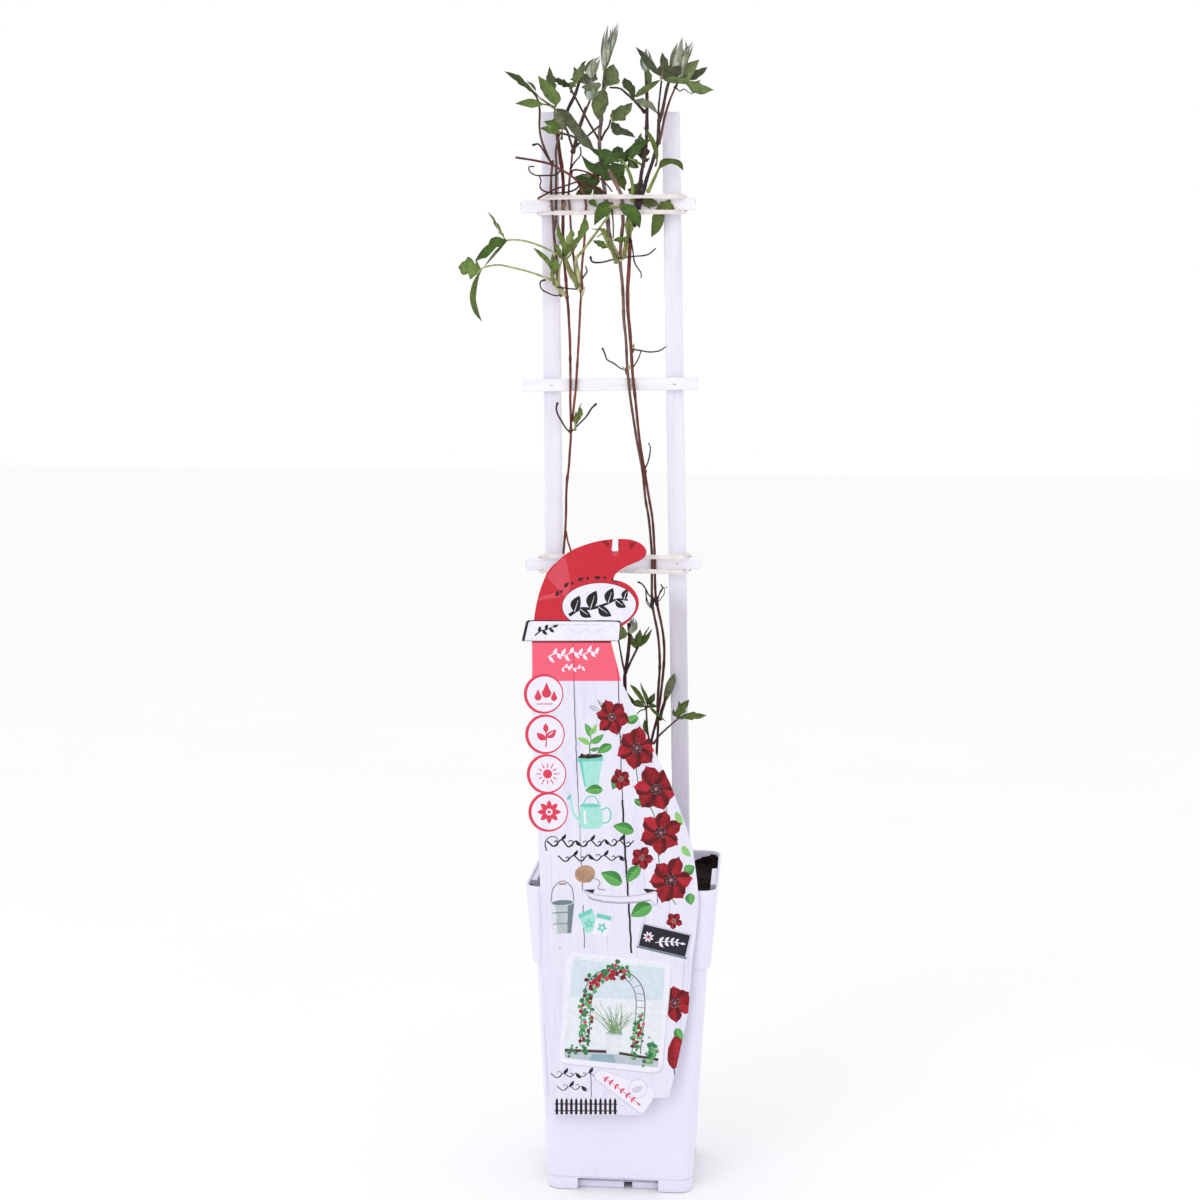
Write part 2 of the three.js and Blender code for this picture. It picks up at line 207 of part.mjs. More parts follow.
      [[[15.5,-2.0,700.0],[13.4,-3.5,707.2],[9.4,-6.1,717.2],[6.0,-8.0,723.6]],[[15.5,-2.0,700.0],[16.5,-3.3,707.2],[12.4,-5.8,717.5],[6.0,-8.0,723.6]],0.5,0.8]
    ] },
  leaf_right_folded: { stalks: [[0.55,[[9.5,0.2,681.2],[13.9,-1.6,690.1],[16.9,-3.0,696.6]]]],
    leaves: [
      [[[16.2,-3.0,695.3],[18.3,-4.9,701.7],[25.8,-7.3,702.4],[32.3,-9.7,699.9],[33.9,-12.0,693.7]],[[16.2,-3.0,695.3],[19.7,-4.4,697.1],[25.2,-7.0,699.0],[29.7,-9.3,697.3],[33.9,-12.0,693.7]],1.6,0.8]
    ] },
  leaf_mid_right: { stalks: [],
    leaves: [
      [[[-1.7,5.6,679.7],[-4.5,6.1,682.8],[0.1,7.0,686.9],[5.9,8.0,690.0]],[[-1.7,5.6,679.7],[4.0,6.4,680.5],[5.3,7.2,685.6],[5.9,8.0,690.0]],0.7,0.8],
      [[[-0.0,5.6,677.1],[-1.1,5.7,680.0],[3.7,6.0,682.8]],[[-0.0,5.6,677.1],[4.1,5.8,678.7],[3.7,6.0,682.8]],0.3,0.8]
    ] },
  leaf_mid_pair: { stalks: [[0.86,[[-39.3,0.4,636.4],[-33.8,-0.3,642.4],[-17.7,-2.8,663.8],[-14.7,-3.6,671.8]]], [0.58,[[-14.7,-3.4,673.1],[-13.8,-1.9,657.8],[-13.8,-1.2,649.8]]], [0.89,[[-16.0,-3.4,670.5],[-12.0,-3.4,670.5],[-7.9,-3.4,670.8]]]],
    leaves: [
      [[[-14.1,-3.2,673.8],[-22.8,-4.9,673.1],[-26.0,-6.6,666.8],[-26.4,-9.0,657.6]],[[-14.1,-3.2,673.8],[-15.6,-4.7,667.3],[-21.5,-7.0,661.8],[-26.4,-9.0,657.6]],1.0,0.8],
      [[[-10.0,-3.2,672.8],[-0.3,-4.6,671.7],[5.2,-6.2,664.9],[4.8,-8.0,655.9]],[[-10.0,-3.2,672.8],[-8.2,-4.1,667.7],[-2.2,-5.9,661.6],[4.8,-8.0,655.9]],1.0,0.8]
    ] },
  leaf_mid_left: { stalks: [[0.55,[[-25.9,7.0,686.9],[-29.3,7.0,685.2],[-33.4,7.0,682.8]]], [0.52,[[-27.5,6.8,684.1],[-28.0,4.5,679.2],[-28.4,2.3,674.3]]]],
    leaves: [
      [[[-23.5,7.2,688.9],[-28.0,7.6,693.3],[-36.3,8.3,693.7],[-42.9,9.0,691.1]],[[-23.5,7.2,688.9],[-27.2,7.6,684.6],[-34.8,8.1,684.6],[-42.9,9.0,691.1]],0.7,0.8],
      [[[-29.3,6.8,686.2],[-33.4,6.7,688.2],[-38.1,6.4,684.1],[-40.8,6.2,678.7]],[[-29.3,6.8,686.2],[-28.5,6.7,681.4],[-34.6,6.4,678.4],[-40.8,6.2,678.7]],0.5,0.8],
      [[[-27.9,6.8,685.8],[-23.7,6.5,684.5],[-19.2,6.0,679.4]],[[-27.9,6.8,685.8],[-27.1,6.5,679.4],[-19.2,6.0,679.4]],0.4,0.8],
      [[[-31.4,2.4,675.3],[-26.8,2.2,675.8],[-25.3,2.0,671.0]],[[-31.4,2.4,675.3],[-30.1,2.3,672.6],[-25.3,2.0,671.0]],0.1,0.7]
    ] },
  leaf_under_right: { stalks: [[0.52,[[5.7,2.1,673.7],[10.8,2.1,673.7],[21.7,2.1,671.7]]]],
    leaves: [
      [[[5.4,2.1,673.0],[6.7,2.1,676.7],[12.8,2.1,676.7],[16.6,2.1,673.4]],[[5.4,2.1,673.0],[8.8,2.1,670.7],[12.9,2.1,671.0],[16.6,2.1,673.4]],0.1,0.7],
      [[[15.6,2.1,671.4],[19.0,2.0,674.7],[24.4,1.9,675.0],[27.9,1.8,669.0]],[[15.6,2.1,671.4],[19.7,2.0,669.3],[23.8,1.9,668.8],[27.9,1.8,669.0]],0.1,0.7],
      [[[16.9,2.2,672.4],[13.2,2.7,667.0],[11.9,3.5,659.7],[11.6,4.5,650.7]],[[16.9,2.2,672.4],[20.7,2.8,665.7],[17.7,3.7,655.7],[11.6,4.5,650.7]],0.1,0.8]
    ] },
  leaf_hanging_far_left: { stalks: [[0.62,[[-49.5,1.0,636.6],[-53.3,-3.2,639.5],[-65.8,-15.0,644.6],[-72.0,-20.6,646.2],[-78.1,-26.1,646.6],[-84.8,-32.0,645.6]]], [0.34,[[-83.6,-31.0,645.8],[-86.7,-33.5,649.8],[-89.6,-37.0,656.1]]]],
    leaves: [
      [[[-84.2,-31.5,646.7],[-88.6,-33.8,651.8],[-92.2,-37.3,659.4],[-95.1,-40.0,664.4]],[[-84.2,-31.5,646.7],[-86.0,-33.3,651.8],[-90.9,-37.2,660.0],[-95.1,-40.0,664.4]],0.3,0.8],
      [[[-82.2,-31.5,645.7],[-89.2,-34.5,647.7],[-96.0,-38.9,642.1],[-100.1,-42.8,635.9],[-102.7,-46.0,630.8]],[[-82.2,-31.5,645.7],[-87.2,-34.5,641.5],[-92.1,-38.1,637.2],[-96.9,-41.9,633.4],[-102.7,-46.0,630.8]],0.9,0.8],
      [[[-82.2,-31.5,646.0],[-89.9,-29.0,640.2],[-95.6,-26.3,633.7],[-99.6,-24.0,628.2]],[[-82.2,-31.5,646.0],[-87.8,-29.3,639.5],[-94.9,-26.1,632.4],[-99.6,-24.0,628.2]],0.4,1.0]
    ] },
  leaf_hanging_left: { stalks: [[0.62,[[-56.1,1.8,621.5],[-73.0,8.2,627.6],[-93.4,15.7,632.4],[-100.7,18.3,632.0],[-106.5,20.4,630.2],[-109.5,22.0,627.2]]]],
    leaves: [
      [[[-106.6,21.0,629.6],[-110.4,22.8,633.8],[-114.9,25.0,637.4],[-120.9,27.6,635.8],[-124.5,30.0,631.8]],[[-106.6,21.0,629.6],[-109.6,22.6,625.5],[-117.0,25.5,624.6],[-122.4,28.2,628.2],[-124.5,30.0,631.8]],1.0,0.8],
      [[[-107.4,21.5,629.9],[-113.1,22.7,621.0],[-115.5,24.0,611.4],[-113.5,25.5,601.1],[-107.3,27.0,593.6]],[[-107.4,21.5,629.9],[-109.6,22.6,621.0],[-111.2,24.1,610.8],[-109.6,25.7,601.1],[-107.3,27.0,593.6]],1.2,0.8]
    ] },
  leaf_left_small: { stalks: [[0.62,[[-54.5,0.0,618.7],[-54.8,-1.1,623.4],[-56.1,-2.0,626.7]]]],
    leaves: [
      [[[-54.4,-1.4,624.0],[-58.7,-3.5,631.7],[-64.3,-6.0,637.5],[-67.9,-8.0,642.8]],[[-54.4,-1.4,624.0],[-56.0,-3.7,634.0],[-62.6,-6.3,640.5],[-67.9,-8.0,642.8]],0.6,0.8],
      [[[-54.1,-1.2,624.0],[-57.1,-2.8,630.7],[-55.2,-5.0,639.0]],[[-54.1,-1.2,624.0],[-49.9,-2.9,632.1],[-55.2,-5.0,639.0]],0.6,0.8]
    ] },
  leaf_inner_left: { stalks: [[1.24,[[-38.0,-0.3,617.4],[-44.2,-0.9,630.9],[-46.3,-1.2,636.2]]], [0.62,[[-46.0,-1.2,635.6],[-42.5,-1.6,638.9],[-41.1,-2.0,642.3]]], [0.55,[[-46.0,-1.2,634.9],[-50.0,-1.8,637.5],[-52.7,-2.5,642.2]]], [0.55,[[-41.1,-2.0,641.6],[-38.4,-2.0,645.0]]]],
    leaves: [
      [[[-46.0,-1.3,636.2],[-50.0,-2.1,644.3],[-52.9,-3.1,652.9],[-51.4,-4.0,660.3]],[[-46.0,-1.3,636.2],[-43.9,-2.1,645.0],[-48.3,-3.1,653.0],[-51.4,-4.0,660.3]],0.8,0.8],
      [[[-47.3,-1.5,634.9],[-52.3,-3.3,639.5],[-54.5,-6.0,647.3]],[[-47.3,-1.5,634.9],[-49.2,-3.7,642.8],[-54.5,-6.0,647.3]],0.5,0.8],
      [[[-46.0,-1.4,636.9],[-45.6,-1.9,643.6],[-41.8,-2.5,648.3],[-37.4,-3.0,651.0]],[[-46.0,-1.4,636.9],[-41.1,-1.9,640.9],[-37.4,-2.5,646.3],[-37.4,-3.0,651.0]],0.6,0.8],
      [[[-44.9,-1.6,641.6],[-47.0,-1.7,649.0],[-42.3,-1.8,656.4]],[[-44.9,-1.6,641.6],[-39.2,-1.7,651.1],[-42.3,-1.8,656.4]],0.6,0.8],
      [[[-38.4,-1.9,645.0],[-38.5,-2.7,654.4],[-33.3,-4.0,664.7]],[[-38.4,-1.9,645.0],[-29.2,-3.1,657.0],[-33.3,-4.0,664.7]],0.7,0.8]
    ] },
  leaf_inner_centre: { stalks: [[1.24,[[-11.3,-2.9,633.6],[-17.6,-3.1,648.3],[-22.1,-3.2,655.7]]], [0.41,[[-20.7,-3.2,653.0],[-24.7,-4.0,650.3]]], [0.34,[[-22.0,-3.2,655.4],[-28.0,-5.0,655.5]]], [0.69,[[-15.8,-3.0,644.0],[-20.6,-3.6,644.9]]]],
    leaves: [
      [[[-16.8,-3.1,643.3],[-20.5,-4.6,647.5],[-23.8,-5.7,647.9],[-27.5,-7.0,647.7]],[[-16.8,-3.1,643.3],[-20.5,-4.1,642.5],[-24.5,-5.5,644.8],[-27.5,-7.0,647.7]],0.6,0.8]
    ] },
  bud_inner_right: { stalks: [[1.03,[[-5.8,-1.1,637.1],[-5.6,-1.2,642.5],[-4.7,-1.4,647.8]]], [0.89,[[-4.7,-1.4,647.8],[-3.4,-1.5,653.2],[-3.1,-1.6,659.2]]]],
    leaves: [
      [[[-4.0,-1.5,647.8],[-7.1,-2.0,650.6],[-11.1,-2.6,650.1],[-14.1,-3.2,648.1]],[[-4.0,-1.5,647.8],[-8.4,-2.1,647.1],[-11.1,-2.6,647.2],[-14.1,-3.2,648.1]],0.5,0.8],
      [[[-3.0,-1.5,651.2],[-5.4,-2.0,655.2],[-5.8,-2.5,659.8],[-3.5,-3.2,664.5]],[[-3.0,-1.5,651.2],[0.0,-2.0,655.9],[-1.0,-2.7,661.2],[-3.5,-3.2,664.5]],0.6,1.2]
    ] },
  shoot_small_left: { stalks: [[0.65,[[-39.0,0.6,519.3],[-38.6,0.2,523.5],[-37.8,-0.4,528.9]]], [0.34,[[-36.9,-1.0,530.3],[-36.2,-1.8,534.4],[-34.4,-2.4,537.5]]]],
    leaves: [
      [[[-38.3,0.0,522.1],[-40.2,-0.4,526.2],[-38.3,-1.0,532.4]],[[-38.3,0.0,522.1],[-36.6,-0.5,527.6],[-38.3,-1.0,532.4]],0.5,0.8],
      [[[-37.6,0.0,523.5],[-37.6,-1.2,530.3],[-35.1,-2.5,535.5]],[[-37.6,0.0,523.5],[-33.4,-1.5,531.0],[-35.1,-2.5,535.5]],0.6,0.8]
    ] },
  leaf_low_left: { stalks: [[0.58,[[15.5,-3.8,304.1],[14.3,-4.5,308.1],[13.4,-5.5,314.2],[12.7,-8.0,329.9]]], [0.34,[[12.8,-7.8,327.8],[8.5,-9.9,326.6],[5.2,-12.0,323.4]]], [0.69,[[12.2,-7.9,329.1],[15.3,-8.0,329.8]]]],
    leaves: [
      [[[13.2,-8.0,329.2],[7.8,-10.7,335.1],[3.7,-13.7,341.0],[1.4,-16.0,345.8]],[[13.2,-8.0,329.2],[10.5,-10.7,337.2],[5.8,-13.9,343.8],[1.4,-16.0,345.8]],0.5,0.8],
      [[[13.5,-8.0,329.2],[10.8,-9.1,336.3],[9.0,-10.1,342.0],[8.3,-11.0,347.3]],[[13.5,-8.0,329.2],[14.2,-8.9,336.4],[11.1,-10.0,342.0],[8.3,-11.0,347.3]],0.5,0.8],
      [[[13.2,-8.0,329.9],[13.4,-7.3,334.7],[18.5,-6.0,339.2]],[[13.2,-8.0,329.9],[18.6,-7.0,333.4],[18.5,-6.0,339.2]],0.5,0.8],
      [[[13.9,-8.0,329.9],[18.8,-8.3,327.6],[27.2,-9.0,318.9]],[[13.9,-8.0,329.9],[17.4,-8.3,325.2],[27.2,-9.0,318.9]],0.4,0.8],
      [[[12.5,-8.0,329.2],[8.6,-14.1,335.2],[3.8,-20.0,334.9]],[[12.5,-8.0,329.2],[7.3,-13.2,329.5],[3.8,-20.0,334.9]],0.5,0.8],
      [[[12.5,-8.0,329.2],[6.5,-13.0,333.3],[2.0,-18.9,338.9],[-0.9,-23.0,342.5]],[[12.5,-8.0,329.2],[5.2,-12.8,330.1],[1.3,-17.8,336.0],[-0.9,-23.0,342.5]],0.5,0.8],
      [[[14.3,-4.4,307.7],[10.0,-5.7,314.1],[11.5,-7.0,321.0]],[[14.3,-4.4,307.7],[13.9,-5.8,315.6],[11.5,-7.0,321.0]],0.3,0.8]
    ] },
  leaf_low_right_a: { stalks: [[0.58,[[22.0,1.2,319.6],[24.4,3.7,329.9],[25.7,5.0,335.3]]]],
    leaves: [
      [[[24.1,3.4,329.2],[24.3,4.0,338.2],[26.9,4.6,346.6],[31.7,5.2,351.6]],[[24.1,3.4,329.2],[27.5,3.8,334.1],[32.2,4.7,345.3],[31.7,5.2,351.6]],0.7,0.8]
    ] },
  leaf_low_right_b: { stalks: [[0.58,[[17.9,-4.2,303.2],[20.9,-5.5,308.0],[35.5,-10.0,322.3]]]],
    leaves: [
      [[[34.1,-9.5,321.5],[32.3,-10.7,326.5],[36.1,-12.8,333.2],[42.7,-15.0,336.1]],[[34.1,-9.5,321.5],[38.2,-10.8,324.6],[41.3,-12.6,329.1],[42.7,-15.0,336.1]],0.7,0.8],
      [[[34.1,-9.5,321.5],[40.3,-13.1,326.7],[48.0,-17.5,327.9],[55.0,-22.0,326.3]],[[34.1,-9.5,321.5],[40.4,-12.5,321.4],[48.1,-17.1,322.3],[55.0,-22.0,326.3]],0.7,0.8]
    ] }
};
const HUE = {"shoot_lower":"leaf_light","leaf_upper_left":"leaf_mid","leaf_upper_arch":"leaf_dark","leaf_top_left":"leaf_mid","bud_upper_left":"bud_silver","leaf_folded_long":"leaf_grey","leaf_left_low":"leaf_mid","bud_top_centre":"bud_silver","leaf_centre_hanging":"leaf_mid","leaf_centre_pair":"leaf_mid","leaf_right_of_centre":"leaf_mid","bud_right_upper":"bud_silver","leaf_right_top":"leaf_mid","bud_right_top":"bud_silver","leaf_big_left":"leaf_big","leaf_big_right":"leaf_big","leaf_right_dark":"leaf_dark","leaf_right_narrow":"leaf_mid","leaf_right_folded":"leaf_mid","leaf_mid_right":"leaf_grey","leaf_mid_pair":"leaf_mid","leaf_mid_left":"leaf_mid","leaf_under_right":"leaf_mid","leaf_hanging_far_left":"leaf_light","leaf_hanging_left":"leaf_mid","leaf_left_small":"leaf_mid","leaf_inner_left":"leaf_mid","leaf_inner_centre":"leaf_mid","bud_inner_right":"leaf_light","shoot_small_left":"leaf_mid","leaf_low_left":"leaf_mid","leaf_low_right_a":"leaf_mid","leaf_low_right_b":"leaf_mid"};
const LABEL_ROWS = [[56.99,-48.86,16.82],[69.05,-49.26,23.14],[69.95,-49.26,33.96],[89.68,-49.88,38.47],[105.83,-50.41,41.65],[127.52,-51.17,46.1],[168.49,-52.53,48.96],[186.45,-53.07,51.07],[205.04,-53.6,52.51],[213.59,-53.97,51.73],[215.25,-54.04,51.56],[220.4,-54.33,50.92],[239.69,-55.78,47.84],[246.13,-56.2,45.49],[251.48,-56.58,43.56],[252.9,-56.7,43.06],[256.28,-60.53,41.85],[261.22,-63.21,40.06],[267.05,-63.41,37.98],[272.07,-61.07,35.92],[275.53,-58.81,34.5],[276.05,-58.9,34.29],[276.44,-58.91,34.14],[276.95,-58.93,33.93],[277.47,-59.01,33.72],[280.88,-62.45,32.29],[285.85,-65.14,29.95],[291.7,-65.34,26.92],[296.74,-62.99,24.31],[300.21,-60.8,22.4],[301.65,-60.91,21.62],[301.78,-60.92,21.55],[301.84,-60.92,21.55],[303.28,-61.04,20.77],[306.7,-64.42,18.87],[311.7,-67.12,16.04],[317.59,-67.32,12.71],[322.66,-64.97,10.35],[326.16,-62.36,8.77],[327.61,-62.47,8.05],[327.87,-62.48,7.98],[328.2,-62.49,7.77],[329.64,-62.61,7.12],[333.09,-66.28,5.33],[338.13,-68.98,2.69],[344.05,-69.19,-0.39],[349.15,-66.83,-3.11],[352.69,-64.01,-4.02],[354.14,-64.12,-4.4],[360.31,-64.33,-5.72],[370.26,-64.74,-8.38],[375.71,-65.06,-10.92],[376.36,-72.02,-5.14],[385.6,-70.0,-4.36],[387.64,-69.58,-1.69],[389.67,-69.17,0.79],[390.25,-64.1,1.52],[392.41,-63.9,3.65],[395.11,-63.64,5.63],[398.47,-63.28,7.05],[401.83,-62.63,7.51],[405.19,-61.99,6.88],[408.87,-61.01,4.94],[412.21,-60.15,2.11],[414.88,-59.42,-1.72],[416.4,-58.78,-5.88],[417.17,-58.46,-10.56],[419.2,-57.49,-10.34],[423.97,-54.89,-6.08],[429.5,-49.55,6.46],[433.6,-45.54,10.95],[437.7,-39.47,11.74],[440.45,-31.97,9.96],[442.49,-27.21,6.82],[443.83,-20.36,-0.43]];
const LABEL_SLOT = [[-25.23,213.08],[-13.81,213.19],[-0.39,213.28],[13.01,213.38],[24.38,213.42],[23.07,210.5],[18.42,207.29],[11.07,205.37],[-0.32,204.36],[-11.73,204.87],[-19.14,206.59],[-23.86,209.55]];

// ---------------------------------------------------------------- materials
const mat = (color, roughness, metalness = 0) => () => new THREE.MeshStandardMaterial({ color, roughness, metalness });
const M = {
  pot: mat(0xece8f2, 0.42), soil: mat(0x3a2c22, 0.95), wood: mat(0xeae6f0, 0.5), steel: mat(0xa9a8a5, 0.35, 1),
  band: mat(0xe9e1d0, 0.6), label: mat(0xc9302f, 0.4), clip: mat(0xf2f0f5, 0.35), stem: mat(0x5b3330, 0.6),
  stem_green: mat(0x77824a, 0.55), leaf_mid: mat(0x3f6a2b, 0.5), leaf_dark: mat(0x27431d, 0.5), leaf_light: mat(0x7f9347, 0.5),
  leaf_grey: mat(0x6f8060, 0.6), leaf_big: mat(0x3c6429, 0.5), leaf_bright: mat(0x44701f, 0.5), bud_silver: mat(0xa9ad97, 0.8),
};

// ---------------------------------------------------------------- solids
const solid = (geo) => {
  const g = geo.clone();
  g.deleteAttribute('normal'); g.deleteAttribute('uv');
  const m = mergeVertices(g, 1e-4);
  return new wasm.Manifold(new wasm.Mesh({
    numProp: 3,
    vertProperties: new Float32Array(m.attributes.position.array),
    triVerts: new Uint32Array(m.index.array),
  }));
};
const geometry = (s) => {
  const m = s.getMesh();
  const g = new THREE.BufferGeometry();
  g.setAttribute('position', new THREE.BufferAttribute(new Float32Array(m.vertProperties), 3));
  g.setIndex(new THREE.BufferAttribute(new Uint32Array(m.triVerts), 1));
  g.computeVertexNormals();
  return g;
};
const largest = (s, name) => {
  const parts = s.decompose();
  if (parts.length < 2) return s;
  parts.sort((a, b) => b.volume() - a.volume());
  return parts[0];
};
const boxAt = (x0, y0, z0, x1, y1, z1) => {
  const g = new THREE.BoxGeometry(x1 - x0, y1 - y0, z1 - z0);
  g.translate((x0 + x1) / 2, (y0 + y1) / 2, (z0 + z1) / 2);
  return solid(g);
};
const overlap = (a, b) => {
  const p = a.boundingBox(), q = b.boundingBox();
  return [0, 1, 2].every((i) => p.min[i] < q.max[i] && q.min[i] < p.max[i]);
};

// round bar with n sides along a list of points
const bar = (r, pts, n = 6) => {
  const v = pts.map((p) => new THREE.Vector3(...p));
  const curve = new THREE.CatmullRomCurve3(v, false, 'centripetal');
  const shape = new THREE.Shape(Array.from({ length: n }, (_, i) => {
    const a = (2 * Math.PI * i) / n;
    return new THREE.Vector2(r * 1.06 * Math.cos(a), r * 1.06 * Math.sin(a));
  }));
  const steps = Math.max(2, v.length - 1);
  return solid(new THREE.ExtrudeGeometry(shape, { steps, bevelEnabled: false, extrudePath: curve }));
};

// thin curved blade between two edges, with its midrib pushed back by `fold`
const along = (edge, t) => {
  const seg = []; let s = 0;
  for (let i = 1; i < edge.length; i++) {
    const d = new THREE.Vector3(...edge[i]).distanceTo(new THREE.Vector3(...edge[i - 1]));
    seg.push(d); s += d;
  }
  let d = t * s;
  for (let i = 0; i < seg.length; i++) {
    if (d <= seg[i] || i === seg.length - 1) {
      return new THREE.Vector3(...edge[i]).lerp(new THREE.Vector3(...edge[i + 1]), Math.min(1, d / seg[i]));
    }
    d -= seg[i];
  }
  return null;
};
const blade = (a, b, fold, thick, grow = 0) => {
  const nu = 3, nv = 2;
  const g = new THREE.BoxGeometry(1, 1, 1, nu, nv, 1);
  const p = g.attributes.position;
  for (let i = 0; i < p.count; i++) {
    const u = p.getX(i) + 0.5, v = p.getY(i) + 0.5, w = p.getZ(i);
    const t = 0.02 + 0.96 * u;
    const A = along(a, t), B = along(b, t);
    const side = B.clone().sub(A);
    const len = side.length() || 1e-6;
    side.divideScalar(len);
    const need = Math.max(0, 0.9 - len) / 2 + grow;
    A.addScaledVector(side, -need); B.addScaledVector(side, need);
    const c = A.lerp(B, v);
    const dir = along(a, Math.min(1, t + 0.05)).add(along(b, Math.min(1, t + 0.05)))
      .sub(along(a, Math.max(0, t - 0.05))).sub(along(b, Math.max(0, t - 0.05))).normalize();
    c.y += fold * Math.sin(Math.PI * Math.min(1, u * 1.05)) * (1 - Math.abs(2 * v - 1));
    c.y += w * (thick + 2 * grow);
    if (u < 0.01) c.addScaledVector(dir, -grow);
    if (u > 0.99) c.addScaledVector(dir, grow);
    p.setXYZ(i, c.x, c.y, c.z);
  }
  let s = solid(g);
  if (s.volume() < 0) {
    const f = g.index.array;
    for (let i = 0; i < f.length; i += 3) { const q = f[i]; f[i] = f[i + 1]; f[i + 1] = q; }
    s = solid(g);
  }
  return s;
};

// square shell of revolution: a lathe whose circle is a rounded square
const squareLathe = (profile, corner = 10, k = 3) => {
  const n = 4 * (k + 1);
  const g = new THREE.LatheGeometry(profile.map(([h, z]) => new THREE.Vector2(h, z)), n);
  const p = g.attributes.position;
  for (let i = 0; i < p.count; i++) {
    const x = p.getX(i), z = p.getZ(i), h = Math.hypot(x, z), up = p.getY(i);
    const idx = ((Math.round((Math.atan2(x, z) / (2 * Math.PI)) * n) % n) + n) % n;
    const q = Math.floor(idx / (k + 1)), j = idx % (k + 1);
    const c = Math.min(corner, h * 0.999);
    const a = (q * Math.PI) / 2 + (j / k) * (Math.PI / 2);
    const ox = [1, -1, -1, 1][q] * (h - c), oy = [1, 1, -1, -1][q] * (h - c);
    p.setXYZ(i, ox + c * Math.cos(a), oy + c * Math.sin(a), up);
  }
  g.computeVertexNormals();
  let s = solid(g);
  if (s.volume() < 0) {
    const f = g.index.array;
    for (let i = 0; i < f.length; i += 3) { const t = f[i]; f[i] = f[i + 1]; f[i + 1] = t; }
    s = solid(g);
  }
  return s;
};
// wooden bar with chamfered edges between two centre points; w across, t deep
const slat = (p, q, w, t, c = 0.7) => {
  const vertical = Math.abs(q[2] - p[2]) > Math.abs(q[0] - p[0]);
  const a = w / 2, b = t / 2;
  const shape = new THREE.Shape([[-a + c, -b], [a - c, -b], [a, -b + c], [a, b - c], [a - c, b], [-a + c, b], [-a, b - c], [-a, -b + c]]
    .map(([x, y]) => new THREE.Vector2(x, y)));
  const L = vertical ? q[2] - p[2] : q[0] - p[0];
  const g = new THREE.ExtrudeGeometry(shape, { depth: L, steps: 1, bevelEnabled: false });
  const pos = g.attributes.position;
  for (let i = 0; i < pos.count; i++) {
    const u = pos.getX(i), v = pos.getY(i), s = pos.getZ(i), f = s / L;
    if (vertical) pos.setXYZ(i, p[0] + (q[0] - p[0]) * f + u, p[1] + (q[1] - p[1]) * f + v, p[2] + s);
    else pos.setXYZ(i, p[0] + s, p[1] + v, p[2] + (q[2] - p[2]) * f - u);
  }
  let r = solid(g);
  if (r.volume() < 0) {
    g.index = null;
    const a2 = pos.array;
    for (let i = 0; i < a2.length; i += 9) for (let j = 0; j < 3; j++) { const t2 = a2[i + j]; a2[i + j] = a2[i + 3 + j]; a2[i + 3 + j] = t2; }
    r = solid(g);
  }
  return r;
};
// closed loop of strap: a torus laid along closed points [x, y, z, outX, outZ],
// w wide towards its outer side and t thick
const loop = (pts, w, t, grow = 0, segs = 54, n = 6) => {
  const curve = new THREE.CatmullRomCurve3(pts.map((p) => new THREE.Vector3(p[0], p[1], p[2])), true, 'catmullrom', 0.5);
  const sides = new THREE.CatmullRomCurve3(pts.map((p) => new THREE.Vector3(p[3], 0, p[4])), true, 'catmullrom', 0.5);
  const g = new THREE.TorusGeometry(10, 1, n, segs);
  const p = g.attributes.position;
  for (let i = 0; i < p.count; i++) {
    const ring = Math.floor(i / (segs + 1)), k = i % (segs + 1);
    const u = (k % segs) / segs, a = ((ring % n) / n) * 2 * Math.PI;
    const c = curve.getPoint(u), d = curve.getTangent(u), flat = sides.getPoint(u);
    flat.addScaledVector(d, -flat.dot(d)).normalize();
    const out = new THREE.Vector3().crossVectors(flat, d).normalize();
    c.addScaledVector(flat, (w / 2 + grow) * Math.cos(a)).addScaledVector(out, (t / 2 + grow) * Math.sin(a));
    p.setXYZ(i, c.x, c.y, c.z);
  }
  let s = solid(g);
  if (s.volume() < 0) {
    const f = g.index.array;
    for (let i = 0; i < f.length; i += 3) { const q = f[i]; f[i] = f[i + 1]; f[i + 1] = q; }
    s = solid(g);
  }
  return s;
};

// ---------------------------------------------------------------- pieces
const PIECES = [];            // { name, solid, keep (inflated), material }
const add = (name, s, keep, material) => PIECES.push({ name, s, keep, material });
const place = (name, s, keep, material, against = PIECES) => {
  let r = s;
  for (const o of against) if (overlap(r, o.keep)) r = r.subtract(o.keep);
  add(name, largest(r, name), keep, material);
};

// trellis: two tapering legs behind three rungs
const legX = (L, z) => L.x0 + ((L.x1 - L.x0) * (z - 165)) / (733.6 - 165);
const leg = (L, g = 0) => slat([legX(L, LEG_BOTTOM - g), LEG_Y, LEG_BOTTOM - g], [legX(L, L.top + g), LEG_Y, L.top + g], LEG_W + 2 * g, LEG_T + 2 * g);
const rung = (r, g = 0) => slat([r[0][0] - g, RUNG_Y, r[0][1]], [r[1][0] + g, RUNG_Y, r[1][1]], RUNG_H + 2 * g, RUNG_T + 2 * g);
const staplePath = (x, z) => {
  const back = LEG_Y + LEG_T / 2 + 0.75, front = RUNG_Y - RUNG_T / 2 - 0.15;
  return [x, z, back, front];
};
const staple = (x, z, g = 0) => {
  const [, , back, front] = staplePath(x, z);
  const w = 1.4, h = 0.4 + g;
  return boxAt(x - w - h, back - h, z - h, x + w + h, back + h, z + h)
    .add(boxAt(x - w - h, front - g, z - h, x - w + h, back + h, z + h))
    .add(boxAt(x + w - h, front - g, z - h, x + w + h, back + h, z + h));
};
const staples = [];
